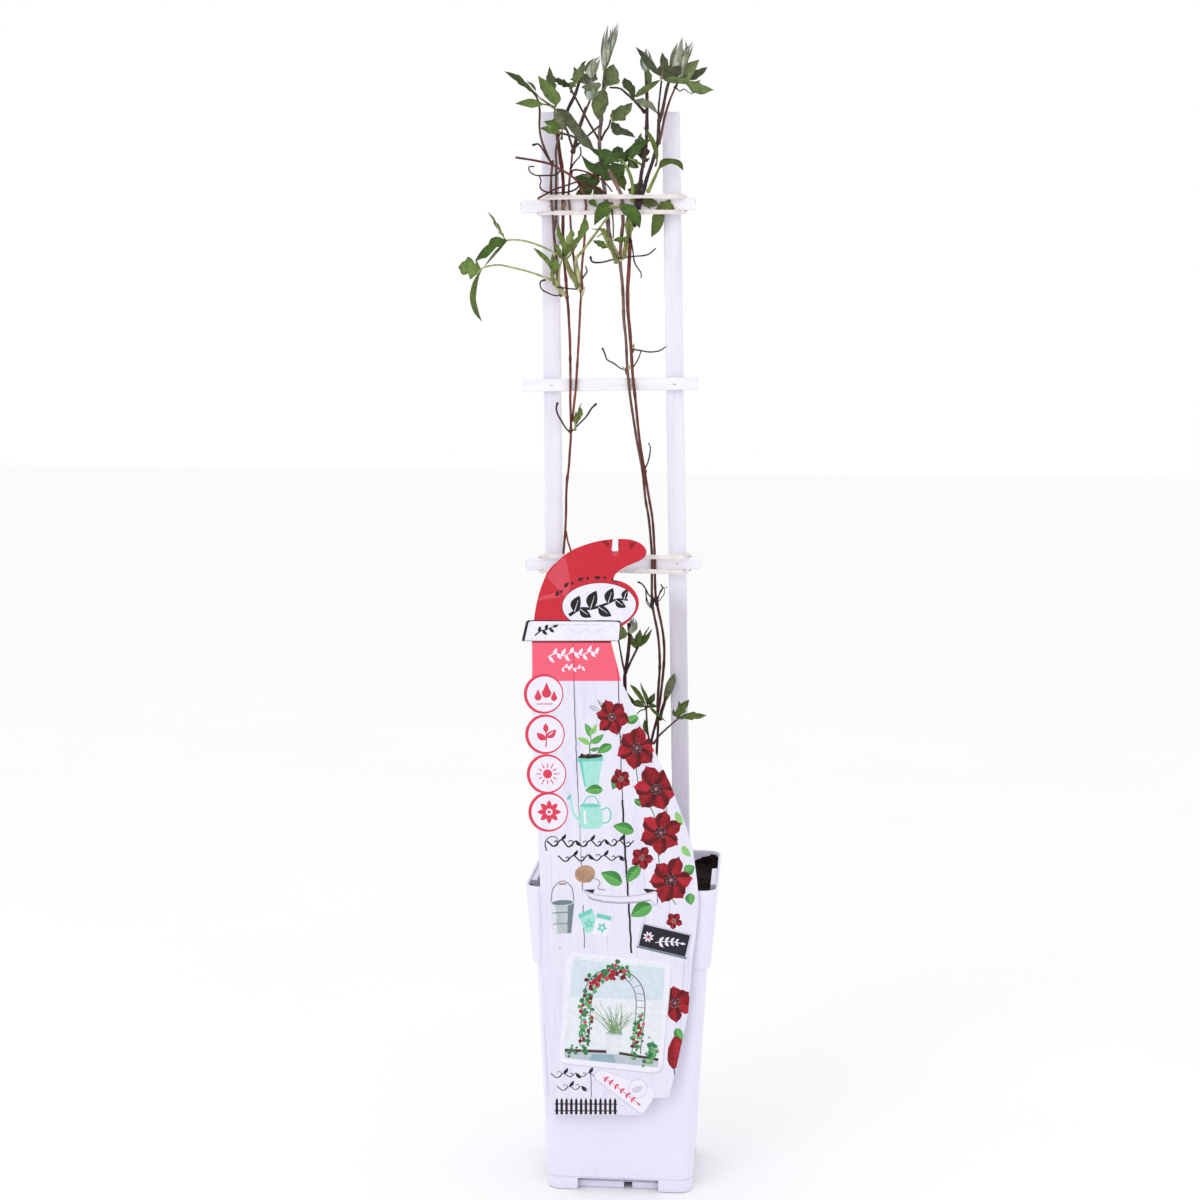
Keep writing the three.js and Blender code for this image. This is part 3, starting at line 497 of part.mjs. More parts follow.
for (const [rn, r] of Object.entries(RUNGS)) {
  for (const [side, L] of [['left', LEG_L], ['right', LEG_R]]) {
    const z = r[0][1] + ((r[1][1] - r[0][1]) * (legX(L, r[0][1]) - r[0][0])) / (r[1][0] - r[0][0]);
    staples.push([`staple_${rn.replace('rung_', '')}_${side}`, legX(L, z), z - 0.4]);
  }
}
const holes = staples.map(([, x, z]) => staple(x, z, GAP)).reduce((a, b) => a.add(b));
add('trellis_leg_left', leg(LEG_L).subtract(holes), leg(LEG_L, GAP), M.wood);
add('trellis_leg_right', leg(LEG_R).subtract(holes), leg(LEG_R, GAP), M.wood);
for (const [n, r] of Object.entries(RUNGS)) add(n, rung(r).subtract(holes), rung(r, GAP), M.wood);
for (const [n, x, z] of staples) add(n, staple(x, z), staple(x, z, GAP), M.steel);

// rubber bands: each hooks behind a rung's two ends and holds the stems
const bandEnd = (x, dir, zc, up, lo) => {
  const half = [
    [x - 12 * dir, BAND_Y, up, 0, 1], [x - 5 * dir, 1.0, up + 0.3, 0.2 * dir, 1], [x - 2.2 * dir, 5.5, zc + 5.9, 0.45 * dir, 0.9],
    [x - 1.0 * dir, 8.7, zc + 4.8, 0.8 * dir, 0.6], [x - 0.6 * dir, 9.35, zc, dir, 0],
    [x - 1.0 * dir, 8.7, zc - 4.8, 0.8 * dir, -0.6], [x - 2.2 * dir, 5.5, zc - 5.9, 0.45 * dir, -0.9],
    [x - 5 * dir, 1.0, lo - 0.3, 0.2 * dir, -1], [x - 12 * dir, BAND_Y, lo, 0, -1]];
  return dir > 0 ? half : half.reverse();
};
const bandLoop = (xl, xr, zl, zr, upl, upr, lol, lor, grow) => loop([
  ...bandEnd(xl, -1, zl, upl, lol), [(xl + xr) / 2, BAND_Y, (upl + upr) / 2 + 0.2, 0, 1],
  ...bandEnd(xr, 1, zr, upr, lor), [(xl + xr) / 2, BAND_Y, (lol + lor) / 2, 0, -1],
], 2.6, 1.2, grow, 40, 5);
const bands = {
  rubber_band_top: (g) => bandLoop(-67.2, 36.0, 671.6, 673.4, 677.2, 677.9, 666.6, 667.5, g),
  rubber_band_lower: (g) => bandLoop(-64.6, 42.2, 426.2, 428.4, 432.0, 432.8, 422.4, 422.6, g),
};
for (const [n, f] of Object.entries(bands)) place(n, f(0), f(GAP), M.band);

// planting label: a thin sheet hooked over the rim by a tongue and leaning
// back to the lower rung
const labelY = (z) => (z <= 60 ? -62 : z <= 214.5 ? -62 + (-4.6 * (z - 60)) / 154.5 : -66.6 + (57.2 * (z - 214.5)) / (LABEL_TOP_Z - 214.5));
const label = (grow = 0) => {
  const rows = LABEL_ROWS, n = rows.length - 1;
  const g = new THREE.BoxGeometry(1, 1, 1, 1, 1, n);
  const p = g.attributes.position;
  for (let i = 0; i < p.count; i++) {
    const u = p.getX(i) + 0.5, v = p.getY(i), k = Math.round((p.getZ(i) + 0.5) * n);
    const [z0, a, b] = rows[k];
    const z = z0 + (k === 0 ? -grow : k === n ? grow : 0);
    p.setXYZ(i, u < 0.5 ? a - grow : b + grow, labelY(z) + v * (LABEL_T + 2 * grow), z);
  }
  let s = solid(g);
  const c = new THREE.ExtrudeGeometry(new THREE.Shape(LABEL_SLOT.map(([x, z]) => new THREE.Vector2(x, z))), { depth: 12, bevelEnabled: false });
  c.rotateX(Math.PI / 2); c.translate(0, -60, 0);
  if (grow === 0) { let cut = solid(c); s = s.subtract(cut); }
  // tongue over the rim, as wide as the slot and tapering inside the pot
  const x0 = LABEL_SLOT[0][0], x1 = LABEL_SLOT[4][0], zt = RIM_Z + GAP + LABEL_T / 2 + 0.1;
  const path = [[-66.6, zt - 1.2], [-66.3, zt - 0.2], [-65.2, zt], [-63.4, zt], [-62.3, zt - 0.4], [-62.0, zt - 1.6], [-61.7, 204.0]];
  const t = new THREE.BoxGeometry(1, 1, 1, 1, 1, path.length - 1);
  const q = t.attributes.position;
  for (let i = 0; i < q.count; i++) {
    const u = q.getX(i) + 0.5, v = q.getY(i), k = Math.round((q.getZ(i) + 0.5) * (path.length - 1));
    const [y, z] = path[k];
    const [y0, z0] = path[Math.max(0, k - 1)], [y1, z1] = path[Math.min(path.length - 1, k + 1)];
    const d = Math.hypot(y1 - y0, z1 - z0), ny = -(z1 - z0) / d, nz = (y1 - y0) / d;
    const inset = (k / (path.length - 1)) * 7, h = (LABEL_T + 2 * grow) * v;
    q.setXYZ(i, u < 0.5 ? x0 + inset - grow : x1 - inset + grow, y - ny * h, z - nz * h);
  }
  let ts = solid(t);
  if (ts.volume() < 0) {
    const f = t.index.array;
    for (let i = 0; i < f.length; i += 3) { const w = f[i]; f[i] = f[i + 1]; f[i + 1] = w; }
    ts = solid(t);
  }
  return s.add(ts);
};
add('label_card', label(0), label(GAP), M.label);

// clip: strip hooked over the label's head and round the lower rung
const clipX = [-11.8, -7.3];
const strip = (path, x0, x1, th, grow = 0) => {
  const n = path.length - 1;
  const g = new THREE.BoxGeometry(1, 1, 1, 1, 1, n);
  const p = g.attributes.position;
  for (let i = 0; i < p.count; i++) {
    const u = p.getX(i) + 0.5, v = p.getY(i), k = Math.round((p.getZ(i) + 0.5) * n);
    const [y, z] = path[k];
    const [y0, z0] = path[Math.max(0, k - 1)], [y1, z1] = path[Math.min(n, k + 1)];
    const d0 = [y - y0, z - z0], d1 = [y1 - y, z1 - z];
    const l0 = Math.hypot(...d0) || 1, l1 = Math.hypot(...d1) || 1;
    let ny = -(d0[1] / l0 + d1[1] / l1), nz = d0[0] / l0 + d1[0] / l1;
    const l = Math.hypot(ny, nz); ny /= l; nz /= l;
    const m = 1 / Math.max(0.5, l / 2 || 1);
    p.setXYZ(i, u < 0.5 ? x0 - grow : x1 + grow, y - ny * v * (th + 2 * grow) * (k === 0 || k === n ? 1 : m), z - nz * v * (th + 2 * grow) * (k === 0 || k === n ? 1 : m));
  }
  let s = solid(g);
  if (s.volume() < 0) {
    const f = g.index.array;
    for (let i = 0; i < f.length; i += 3) { const w = f[i]; f[i] = f[i + 1]; f[i + 1] = w; }
    s = solid(g);
  }
  return s;
};
const clipPath = [[-12.9, 431.6], [-12.25, 434.4], [-10.0, 443.4], [-8.3, 445.5], [-6.3, 444.4], [-2.6, 440.2], [1.6, 436.9], [3.6, 433.9], [5.0, 433.1], [8.9, 433.0], [8.95, 422.6], [5.0, 422.5]];
place('label_clip', strip(clipPath, clipX[0], clipX[1], 0.8), strip(clipPath, clipX[0], clipX[1], 0.8, GAP), M.clip);

// pot: square shell with collar, tapering body and notched foot
const outer = squareLathe([[0, FOOT_Z - 4], [BODY_LOW_HALF - 0.4, FOOT_Z - 4], [BODY_LOW_HALF, FOOT_Z], [BODY_TOP_HALF, COLLAR_Z - 0.2], [COLLAR_HALF - 0.2, COLLAR_Z], [RIM_HALF - 0.25, RIM_Z - 1.2], [RIM_HALF - 0.7, RIM_Z - 0.15], [RIM_HALF - 1.0, RIM_Z], [0, RIM_Z]]);
const inner = (g, top) => {
  const h = (z) => (z < COLLAR_Z ? BODY_LOW_HALF + ((BODY_TOP_HALF - BODY_LOW_HALF) * (z - FOOT_Z)) / (COLLAR_Z - FOOT_Z) : COLLAR_HALF + ((RIM_HALF - COLLAR_HALF) * (z - COLLAR_Z)) / (RIM_Z - COLLAR_Z)) - WALL - g;
  return squareLathe([[0, FOOT_Z + g], [h(FOOT_Z) - 3, FOOT_Z + g], [h(FOOT_Z + 4), FOOT_Z + 4 + g], [h(COLLAR_Z - 2), COLLAR_Z - 2], [h(COLLAR_Z + 2), COLLAR_Z + 2 + 2 * g], [h(top), top], [0, top]], 8.5);
};
let pot = outer.subtract(inner(0, RIM_Z + 1));
let foot = squareLathe([[0, 0], [BODY_LOW_HALF - 0.6, 0], [BODY_LOW_HALF - 0.1, 0.6], [BODY_LOW_HALF - 0.4, FOOT_Z - 4], [0, FOOT_Z - 4]]);
foot = foot.subtract(squareLathe([[0, -1], [BODY_LOW_HALF - 2.4, -1], [BODY_LOW_HALF - 2.4, FOOT_Z - 4], [0, FOOT_Z - 4]], 8));
const pedestal = squareLathe([[0, 0], [BODY_LOW_HALF - 6.2, 0], [BODY_LOW_HALF - 6.0, FOOT_Z - 4], [0, FOOT_Z - 4]], 9)
  .subtract(squareLathe([[0, -1], [BODY_LOW_HALF - 8.2, -1], [BODY_LOW_HALF - 8.2, FOOT_Z - 4], [0, FOOT_Z - 4]], 7))
  .subtract(boxAt(3, -70, -1, 9.2, -30, FOOT_Z - 4)).subtract(boxAt(3, 30, -1, 9.2, 70, FOOT_Z - 4));
const disc = new THREE.CylinderGeometry(15, 16, FOOT_Z - 4 + 0.5, 16); disc.rotateX(Math.PI / 2); disc.translate(0, 0, (FOOT_Z - 4 + 0.5) / 2);
pot = pot.add(foot).add(pedestal).add(solid(disc));
// wide notch in the middle of each side of the foot
for (const [a, b, c, d] of [[-28.6, -52, 26.8, -45.2], [-28.6, 45.2, 26.8, 52], [-52, -27.7, -45.2, 27.7], [45.2, -27.7, 52, 27.7]]) pot = pot.subtract(boxAt(a, b, -1, c, d, FOOT_Z - 1.2));
for (const [x, y] of [[-27, -27], [27, -27], [-27, 27], [27, 27]]) {
  const c = new THREE.CylinderGeometry(4, 4, 20, 10); c.rotateX(Math.PI / 2); c.translate(x, y, 6);
  pot = pot.subtract(solid(c));
}
// shallow tie pocket in the inner face of the left and right collar walls
const pocket = (s) => boxAt(s < 0 ? -64.2 : 57.5, -37, RIM_Z - 13.5, s < 0 ? -57.5 : 64.2, 12, RIM_Z - 1.6)
  .subtract(boxAt(s < 0 ? -62.0 : 58.9, -35.4, RIM_Z - 20, s < 0 ? -58.9 : 62.0, 10.4, RIM_Z - 3.2));
for (const s of [-1, 1]) pot = pot.add(pocket(s).intersect(outer));
pot = largest(pot);
// the inflated pot: same walls, grown by the clearance
const potKeep = pot.add(pot.translate([GAP, 0, 0])).add(pot.translate([-GAP, 0, 0])).add(pot.translate([0, GAP, 0])).add(pot.translate([0, -GAP, 0])).add(pot.translate([0, 0, GAP]));
add('pot', pot, potKeep, M.pot);

// soil: fills the pot to a little below the rim, uneven on top
const soilGeo = () => {
  const s = inner(GAP, SOIL_Z - 1.5);
  return s;
};
let soil = soilGeo();
{
  const g = new THREE.BoxGeometry(112, 112, 10, 6, 6, 1);
  const p = g.attributes.position;
  for (let i = 0; i < p.count; i++) {
    const x = p.getX(i), y = p.getY(i), z = p.getZ(i);
    const r = Math.max(Math.abs(x), Math.abs(y)) / 56;
    const bump = 1.5 * Math.sin(x * 0.11 + 1.2) * Math.cos(y * 0.13 - 0.6) + 1.0 * Math.sin(x * 0.29 + y * 0.23);
    p.setZ(i, SOIL_Z - 5 + z + (z > 0 ? bump * (1.05 - r) + 1.2 * (1 - r * r) : 0));
  }
  const h = (z) => COLLAR_HALF + ((RIM_HALF - COLLAR_HALF) * (z - COLLAR_Z)) / (RIM_Z - COLLAR_Z) - WALL - GAP;
  soil = soil.add(solid(g).intersect(squareLathe([[0, SOIL_Z - 12], [h(SOIL_Z - 12), SOIL_Z - 12], [h(SOIL_Z - 12), SOIL_Z + 6], [0, SOIL_Z + 6]], 8.5)));
}

// stems
const stemSolid = (list, grow = 0) => list.map(([r, pts]) => bar(Math.max(0.45, r) + grow, pts, r < 0.72 ? 4 : r < 1 ? 5 : 6)).reduce((a, b) => a.add(b));
const stems = Object.entries(STEMS).map(([n, list]) => [n, stemSolid(list), stemSolid(list, GAP)]);
for (const [n, s, keep] of stems) place(n, s, keep, M.stem);

// foliage
for (const [n, f] of Object.entries(FOLIAGE)) {
  const make = (g) => {
    const all = f.stalks.map(([r, pts]) => bar(Math.max(0.45, r) + g, pts, r < 1 ? 4 : 5))
      .concat(f.leaves.map(([a, b, fold, th]) => blade(a, b, fold, th, g)));
    return all.reduce((a, b) => a.add(b));
  };
  place(n, make(0), make(GAP), M[HUE[n]]);
}

// the soil closes round everything that stands in it
for (const o of PIECES) if (o.name !== 'pot' && overlap(soil, o.keep)) soil = soil.subtract(o.keep);
add('soil', largest(soil), soil, M.soil);

// ---------------------------------------------------------------- assembly
const group = new THREE.Group();
group.name = 'clematis_trellis';
for (const { name, s, material } of PIECES) {
  const mesh = new THREE.Mesh(geometry(s), material());
  mesh.name = name;
  group.add(mesh);
}
export default group;
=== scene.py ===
import bpy, math, random
import numpy as np
from mathutils import Vector, Matrix
from mathutils.geometry import delaunay_2d_cdt


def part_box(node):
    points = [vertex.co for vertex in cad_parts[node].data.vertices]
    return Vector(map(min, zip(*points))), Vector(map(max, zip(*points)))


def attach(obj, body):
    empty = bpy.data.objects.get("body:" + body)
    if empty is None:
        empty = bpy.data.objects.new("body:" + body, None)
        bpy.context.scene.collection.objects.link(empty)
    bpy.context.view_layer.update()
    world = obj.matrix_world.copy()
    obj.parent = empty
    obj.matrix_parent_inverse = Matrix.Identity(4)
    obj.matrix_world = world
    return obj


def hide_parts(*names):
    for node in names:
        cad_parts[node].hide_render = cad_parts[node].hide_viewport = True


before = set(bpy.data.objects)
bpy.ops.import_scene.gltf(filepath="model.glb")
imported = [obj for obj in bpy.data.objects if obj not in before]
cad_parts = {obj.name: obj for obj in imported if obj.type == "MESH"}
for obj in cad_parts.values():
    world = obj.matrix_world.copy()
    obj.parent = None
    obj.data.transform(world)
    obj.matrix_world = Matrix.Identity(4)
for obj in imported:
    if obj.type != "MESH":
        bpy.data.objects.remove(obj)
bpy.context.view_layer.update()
MM = 0.001
rng = np.random.default_rng(7)

# centre lines: [radius, points]; leaves: [one edge, other edge, fold, thickness, kind], all in millimetres
STEMS = {
    "stem_left_main": [[0.82,[[-21.0,-1.0,192.0],[-23.65,-0.67,240.31],[-29.97,0.13,288.63],[-37.51,1.07,336.94],[-43.83,1.87,385.26],[-46.48,2.2,433.57],[-46.05,2.2,440.52],[-45.42,2.2,450.24],[-44.96,2.2,462.71],[-44.91,2.2,473.77],[-44.37,2.2,484.83],[-43.32,2.2,493.12],[-42.65,2.2,504.14],[-42.03,2.2,513.78],[-41.96,2.2,522.71],[-42.15,2.2,529.57],[-42.58,2.2,539.84],[-42.52,2.2,550.11],[-43.11,2.2,580.83],[-43.74,2.2,591.03],[-44.44,2.2,602.59],[-45.26,2.2,610.05],[-46.17,2.2,621.58],[-46.91,2.2,628.35],[-47.89,2.2,640.52],[-48.46,2.2,652.01],[-48.56,2.2,664.82],[-48.65,2.25,676.95],[-48.53,2.55,684.37],[-49.36,3.33,694.53],[-50.72,3.93,703.33],[-52.39,2.61,715.24],[-54.39,1.0,729.76]]],[0.65,[[-44.86,2.2,449.55],[-43.4,2.04,441.95],[-41.25,1.9,435.05],[-38.31,1.39,386.44],[-31.31,0.18,337.83],[-22.94,-1.28,289.22],[-15.94,-2.49,240.61],[-13.0,-3.0,192.0]]],[0.55,[[-51.0,-2.0,537.72],[-51.87,-1.32,534.29],[-51.29,-0.65,530.87],[-50.08,-0.1,528.14],[-48.39,0.44,525.41],[-46.01,1.25,521.31],[-41.91,2.2,516.53]]],[0.52,[[-24.41,-3.0,537.28],[-27.89,-2.11,533.84],[-30.0,-1.21,530.39],[-32.1,-0.5,527.63],[-35.59,0.32,524.16],[-41.89,1.8,517.91]]],[1.44,[[-48.36,2.2,666.17],[-48.6,2.2,670.21],[-47.59,2.2,673.58]]]],
    "stem_left_outer": [[1.31,[[-49.51,2.0,610.7],[-51.65,2.03,620.86],[-52.42,2.06,631.7],[-53.53,2.1,641.85],[-54.63,2.13,651.98],[-55.41,2.17,664.8],[-56.5,2.19,673.56],[-56.9,2.0,683.63],[-56.47,1.11,694.29],[-55.64,0.5,701.6]]],[0.65,[[-55.62,0.5,698.92],[-57.48,-0.22,701.52],[-59.43,-1.48,706.06],[-61.71,-2.92,711.24],[-63.29,-4.4,716.4],[-64.14,-6.4,722.82],[-63.8,-10.4,735.57],[-65.32,-12.4,741.91],[-69.23,-14.0,746.97]]],[0.69,[[-53.1,2.0,660.75],[-53.39,2.0,672.2],[-53.41,1.53,680.9],[-53.15,-1.0,698.76],[-53.14,-3.2,708.54],[-51.75,-3.96,715.12],[-50.03,-4.46,719.39],[-46.3,-4.39,718.73],[-41.54,-4.23,717.42],[-36.79,-3.89,714.46]]],[0.65,[[-53.06,2.0,664.12],[-53.64,2.06,658.05],[-54.77,2.1,653.33]]],[0.45,[[-68.87,-3.0,711.9],[-65.46,-3.0,712.57],[-63.43,-2.67,710.6],[-60.12,-1.35,705.41],[-58.14,-0.53,702.16],[-55.81,0.3,698.9]]],[0.45,[[-60.08,-3.0,621.22],[-62.51,-2.7,620.55],[-63.62,-1.8,618.56],[-62.39,-0.15,614.93],[-59.03,0.75,612.96],[-53.61,1.65,611.0],[-49.47,1.5,611.35]]]],
    "stem_left_inner": [[0.86,[[-41.27,4.3,525.44],[-40.64,3.65,530.94],[-39.71,2.6,539.87],[-38.9,2.2,546.72],[-38.42,2.2,554.93],[-37.22,2.2,577.46],[-36.7,2.2,589.72],[-36.25,2.2,601.28],[-36.09,2.2,614.85],[-39.45,2.2,622.97],[-40.55,2.2,632.44],[-41.66,2.2,641.9],[-42.78,2.2,653.37],[-44.01,2.2,670.22],[-44.82,2.2,677.62],[-44.54,2.86,687.1],[-43.37,2.56,698.48],[-42.18,2.0,710.48]]],[1.03,[[-42.16,2.0,707.81],[-40.66,1.52,712.44],[-38.6,0.64,721.02],[-35.87,-0.18,728.92],[-33.15,-1.0,736.8]]],[0.65,[[-33.14,-1.0,736.13],[-31.4,-1.91,739.33],[-29.64,-3.0,743.17]]],[0.65,[[-42.04,2.0,709.82],[-43.85,-1.1,715.46],[-45.03,-3.52,719.84],[-46.87,-5.93,724.2],[-48.4,-8.0,727.92]]],[0.65,[[-40.01,2.0,711.82],[-35.1,0.09,715.61],[-28.81,-2.45,720.63],[-24.64,-4.05,723.76],[-21.87,-5.0,725.63]]],[0.41,[[-43.31,2.0,697.08],[-41.16,0.57,700.28],[-39.04,-0.43,702.51],[-36.93,-1.43,704.74],[-36.17,-2.57,707.28],[-36.75,-4.0,710.45]]],[0.45,[[-36.11,1.6,615.5],[-41.26,1.6,615.47],[-46.64,0.3,616.05],[-52.03,-0.8,616.64]]]],
    "stem_left_crossing": [[0.69,[[-35.17,2.4,618.25],[-35.57,2.38,625.03],[-34.96,2.34,635.18],[-34.01,2.31,644.64],[-33.41,2.28,655.43],[-33.29,2.24,665.54],[-32.87,2.22,672.27],[-34.07,2.05,678.97],[-36.24,0.6,683.53],[-38.69,-3.0,687.85],[-43.27,-5.4,691.61],[-50.03,-6.27,695.52],[-56.78,-6.99,698.77],[-66.95,-7.49,701.04],[-79.85,-7.93,702.99]]],[0.58,[[-42.67,-4.56,691.37],[-41.28,-5.16,694.78],[-34.48,-5.08,694.32],[-30.41,-4.85,693.02],[-26.35,-4.5,691.06],[-21.66,-3.3,688.51],[-17.68,-1.5,684.69],[-15.09,0.9,681.24]]],[0.58,[[-64.68,-4.97,676.24],[-59.61,-4.59,678.96],[-54.89,-4.23,681.68],[-48.14,-3.72,684.09],[-42.06,-3.26,686.15],[-38.69,-3.0,687.19],[-33.31,-2.1,686.28],[-27.91,-1.2,684.03],[-23.22,0.09,682.16],[-19.2,1.2,680.26]]],[0.45,[[-36.77,-1.4,685.68],[-39.37,-2.54,682.54],[-44.68,-3.93,680.39],[-53.4,-5.39,679.57],[-59.37,-7.07,680.2],[-62.69,-8.0,681.97],[-63.33,-8.5,684.59],[-62.72,-8.0,687.31],[-64.0,-9.0,691.21]]],[0.41,[[-49.42,-5.4,694.94],[-52.7,-6.53,691.82],[-59.92,-9.0,690.88],[-66.52,-10.88,691.01],[-70.16,-11.91,693.57],[-70.5,-12.0,696.22],[-67.21,-11.06,696.65]]],[0.45,[[-35.2,2.4,622.32],[-33.78,1.62,624.31],[-31.65,0.44,627.3],[-32.59,-1.0,630.92]]]],
    "stem_dark_top": [[0.86,[[-46.14,-3.0,725.23],[-45.53,-3.0,734.55],[-43.16,-3.37,739.81],[-40.45,-3.74,745.07],[-38.43,-4.16,750.98],[-36.74,-4.58,756.87],[-35.06,-5.0,762.76]]]],
    "stem_right_main": [[0.79,[[9.0,2.0,192.0],[10.11,2.12,212.1],[12.74,2.42,232.21],[15.89,2.78,252.31],[18.52,3.08,272.42],[19.63,3.2,292.52],[20.06,3.2,303.11],[20.45,3.2,311.57],[20.33,3.2,321.42],[19.9,3.2,328.44],[20.33,3.2,339.68],[21.15,2.65,355.18],[20.74,2.2,367.81],[19.34,2.2,380.34],[16.41,2.2,394.23],[15.27,2.2,402.56],[14.99,2.2,415.06],[14.78,2.2,433.78],[13.7,2.76,446.18],[12.13,3.39,459.95],[9.93,3.33,471.66],[8.78,3.28,481.98],[6.91,3.22,495.73],[4.36,3.16,508.07],[1.28,3.07,525.87],[-1.49,2.56,543.64],[-2.98,2.2,557.28],[-3.76,2.2,566.13],[-4.6,2.2,581.1],[-6.11,2.2,594.67],[-6.73,2.2,608.23],[-7.53,2.2,619.74],[-9.04,2.2,633.25],[-9.11,2.2,640.67],[-8.09,2.2,654.16],[-7.47,2.2,660.89],[-7.88,2.2,667.61],[-8.68,2.2,678.36],[-12.35,0.0,686.19],[-15.07,-0.75,690.79],[-17.1,-1.5,695.39]]],[0.45,[[-20.08,-5.82,575.01],[-18.48,-3.82,571.34],[-17.23,-1.82,567.65],[-12.5,-0.36,565.0],[-7.79,1.45,561.66],[-3.49,2.0,560.68]]],[0.45,[[5.77,-3.65,415.42],[8.51,-2.94,414.02],[11.21,-1.0,410.08],[12.88,0.76,406.47],[15.27,2.0,403.97]]],[0.41,[[11.2,-0.91,410.07],[11.4,0.42,404.75],[12.91,1.49,400.5],[15.33,2.2,397.34]]]],
    "stem_right_second": [[0.79,[[3.0,-6.0,192.0],[4.35,-5.53,213.8],[7.55,-4.42,235.59],[11.39,-3.08,257.39],[14.59,-1.97,279.18],[15.94,-1.5,300.98],[17.22,-1.32,309.41],[19.54,-1.12,318.55],[21.66,-0.83,331.86],[22.99,0.2,344.34],[24.14,1.29,359.6],[24.16,1.49,369.35],[23.2,1.7,379.07],[21.49,1.89,388.08],[19.51,2.07,396.38],[17.73,2.2,406.07],[17.1,2.2,418.56],[16.8,2.2,432.42],[16.14,1.6,444.22],[14.83,0.59,460.14],[12.7,0.56,471.82],[10.5,0.53,484.18],[8.58,0.5,495.83],[6.39,0.47,507.47],[4.52,0.43,521.14],[2.41,1.24,540.26],[0.47,2.2,555.26],[-0.72,2.2,570.92],[-1.92,2.2,586.55],[-3.44,2.2,601.47],[-3.79,2.2,615.02],[-3.17,2.2,627.87],[-2.76,2.2,640.7],[-2.93,2.2,650.13]]],[0.45,[[-1.89,2.2,648.79],[-0.35,0.87,640.61],[0.81,-0.23,633.81],[3.29,-0.95,629.39],[5.4,-1.45,626.34],[5.47,-2.0,622.94]]],[0.41,[[-0.07,2.0,562.07],[2.52,0.53,565.47],[4.64,-1.24,569.53],[6.07,-3.0,573.57]]],[0.45,[[-1.1,2.0,575.0],[5.19,0.2,573.98],[12.16,-1.8,572.97],[19.07,-3.8,573.99],[23.19,-5.0,576.7]]],[0.45,[[8.95,0.6,493.09],[11.08,-0.09,496.57],[12.93,-1.62,504.17],[13.07,-2.45,508.29],[11.9,-3.0,511.02]]],[0.45,[[18.75,2.2,401.22],[20.51,0.33,406.98],[22.6,-1.07,411.31],[21.57,-1.88,413.78]]],[1.17,[[-3.03,2.2,647.44],[-2.87,2.2,651.48]]]],
    "stem_centre": [[1.03,[[-10.84,0.1,635.8],[-14.4,0.9,644.61],[-16.57,1.71,651.4],[-17.57,2.2,658.84],[-18.13,2.2,667.59],[-20.07,3.6,681.16],[-21.63,8.0,689.0],[-23.18,10.83,699.4],[-24.48,11.28,710.23],[-24.77,11.5,718.33],[-23.74,10.17,728.91],[-22.37,8.08,745.37],[-21.68,6.83,755.21],[-21.0,6.0,761.75]]],[0.45,[[-29.06,-2.94,636.88],[-28.02,-2.77,633.86],[-22.63,-1.85,633.27],[-10.84,0.09,636.14],[-0.26,-0.18,637.51],[10.04,-1.74,638.79],[15.16,-3.0,642.76]]],[0.65,[[-23.73,11.44,717.31],[-20.97,10.5,722.24],[-18.55,9.88,725.51],[-17.17,9.0,730.09]]],[0.65,[[-25.1,11.43,717.31],[-27.81,10.54,721.57],[-32.54,8.89,729.42],[-36.58,7.38,736.6],[-41.28,5.6,745.05],[-43.95,4.5,750.24]]]],
    "stem_right_tall": [[0.93,[[-2.27,1.9,654.82],[-0.8,2.02,662.91],[1.14,2.12,672.33],[3.4,2.36,682.42],[4.72,3.29,693.91],[6.61,4.1,704.05],[7.78,4.95,716.19],[7.9,6.0,731.02],[7.79,5.08,745.57],[7.23,4.42,756.12],[6.97,4.0,762.7]]]],
    "stem_right_outer": [[0.96,[[0.4,2.2,658.22],[1.91,2.2,664.28],[3.73,2.2,672.34],[5.95,2.2,680.4],[8.59,1.65,690.4],[12.24,1.07,701.04],[15.23,-0.02,711.59],[16.19,-1.05,720.79],[16.47,-2.0,729.3]]],[0.89,[[16.49,-2.0,727.98],[18.79,-2.58,735.2],[20.73,-3.37,745.02],[21.71,-3.74,749.59],[22.69,-4.0,752.86]]],[0.62,[[16.49,-2.0,727.31],[16.15,-3.76,735.04],[17.15,-6.1,745.3],[18.16,-8.0,753.6]]]],
}
